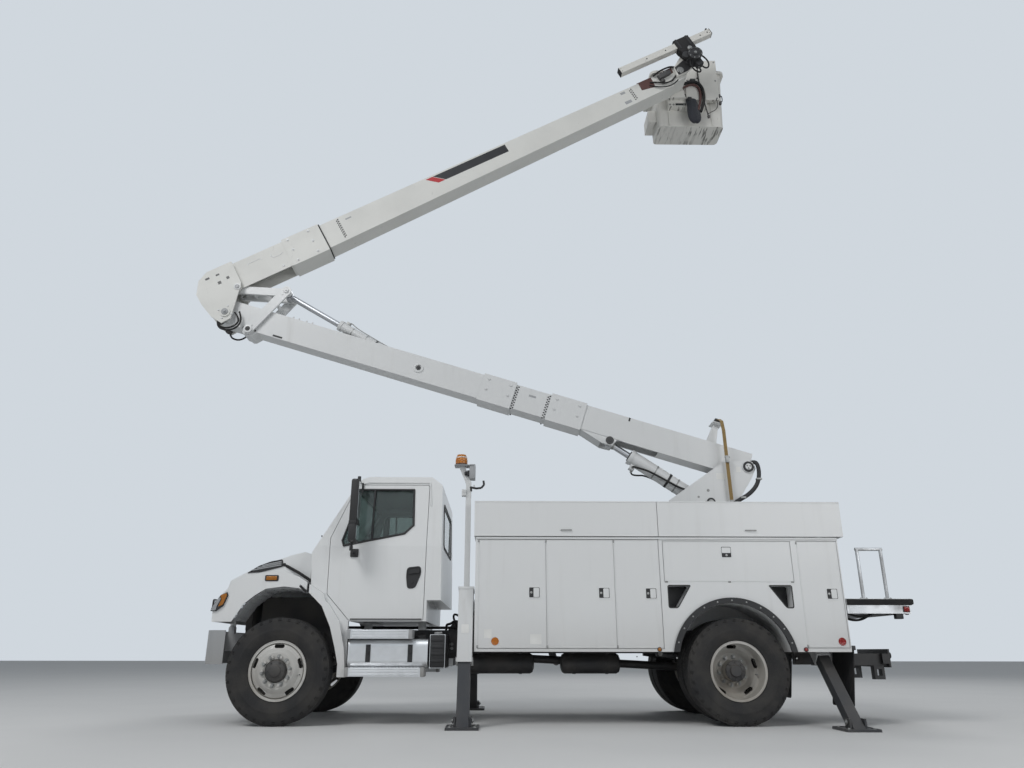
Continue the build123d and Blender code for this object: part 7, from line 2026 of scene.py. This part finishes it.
def hose_bag():
    """Sagging fabric bag below the bucket's bracket, gathered at its top; it rounds out as padding."""
    turns = 40
    bag = Piece("hose_bag", "bucket", BAG_CLOTH)
    levels = (
        (8.985, 0.075, 0.02), (8.96, 0.086, 0.026), (8.9, 0.084, 0.029), (8.82, 0.088, 0.03),
        (8.74, 0.1, 0.032), (8.66, 0.104, 0.032), (8.59, 0.094, 0.03), (8.54, 0.07, 0.026),
    (8.52, 0.034, 0.014), )
    rings = []
    for level, (z, half_x, half_y) in enumerate(levels):
        loop = []
        for turn in range(turns):
            angle = 2 * pi * turn / turns
            deep = 0.07 * sin(angle * 7 + level * 0.8) * (1.3 - level * 0.1)
            fold = 1 + deep + 0.03 * sin(angle * 13 - level)
            shift = (9.0 - z) * 0.1
            loop.append(bag.mesh.verts.new(at(
                5.29 + shift + half_x * fold * cos(angle), 0.19 + half_y * fold * sin(angle),
                z + 0.006 * sin(angle * 4 + level))))
        rings.append(loop)
    for upper, lower in zip(rings, rings[1:]):
        for turn in range(turns):
            after = (turn + 1) % turns
            bag.mesh.faces.new((upper[turn], lower[turn], lower[after], upper[after]))
    bag.mesh.faces.new(rings[0])
    bag.mesh.faces.new(list(reversed(rings[-1])))
    bmesh.ops.recalc_face_normals(bag.mesh, faces=bag.mesh.faces)
    made = bag.done(180)
    smooth = made.modifiers.new("smooth", "SUBSURF")
    smooth.levels = smooth.render_levels = 1
    cords = Piece("hose_bag_cords", "bucket", TRIM_BLACK)
    for x, z in ((5.225, 8.96), (5.345, 8.955)):
        cords.bar(at(x, 0.19, z), at(x, 0.226, 9.0), 0.006, sides=12)
    cords.done()


jib_details()
bucket_details()
tip_details()
hose_bag()


# Beacon and mast
BEACON = (1.867, -1.035)


def mast_details():
    """Ribbed amber lens on its base, the mast's hook and shelf, and a work lamp."""
    lens_piece = Piece("beacon_lens", "chassis", LAMP_AMBER)
    lens_piece.lathe([(0.004, 0.0), (0.004, 0.0665), (0.06, 0.0665), (0.088, 0.064), (0.1, 0.056),
                      (0.115, 0.0515), (0.1165, 0.0)], at(*BEACON, 2.763), (0, 0, 1), 56)
    ribs = 28
    for turn in range(ribs):
        angle = 2 * pi * turn / ribs
        x, y = BEACON[0] + 0.0665 * cos(angle), BEACON[1] + 0.0665 * sin(angle)
        lens_piece.bar(at(x, y, 2.77), at(x, y, 2.82), 0.0022, sides=6)
    lens_piece.done()
    collar = Piece("beacon_base", "chassis", TRIM_BLACK)
    collar.lathe(cap_section(-0.014, -0.001, 0.005, 0.079, 0.07), at(*BEACON, 2.764), (0, 0, 1), 56)
    hook = [(1.985, -1.04, 2.462), (1.988, -1.228, 2.462), (2.05, -1.235, 2.448), (2.105, -1.235, 2.455),
            (2.135, -1.235, 2.49), (2.128, -1.235, 2.536)]
    for start, end in zip(hook, hook[1:]):
        collar.bar(at(*start), at(*end), 0.012, sides=16)
    collar.done()
    shelf = Piece("beacon_shelf", "chassis", BUMPER_GREY)
    shelf.block(at(1.79, -1.115, 2.7415), at(2.01, -0.955, 2.7505), 0.002)
    shelf.block(at(1.962, -1.105, 2.59), at(2.03, -0.965, 2.76), 0.01)
    shelf.done()
    work = Piece("mast_work_lamp", "chassis", TRIM_BLACK)
    work.block(at(1.935, -1.09, 2.625), at(1.963, -0.98, 2.69), 0.008)
    work.block(at(1.905, -1.075, 2.635), at(1.936, -0.995, 2.68), 0.01)
    work.done()


mast_details()
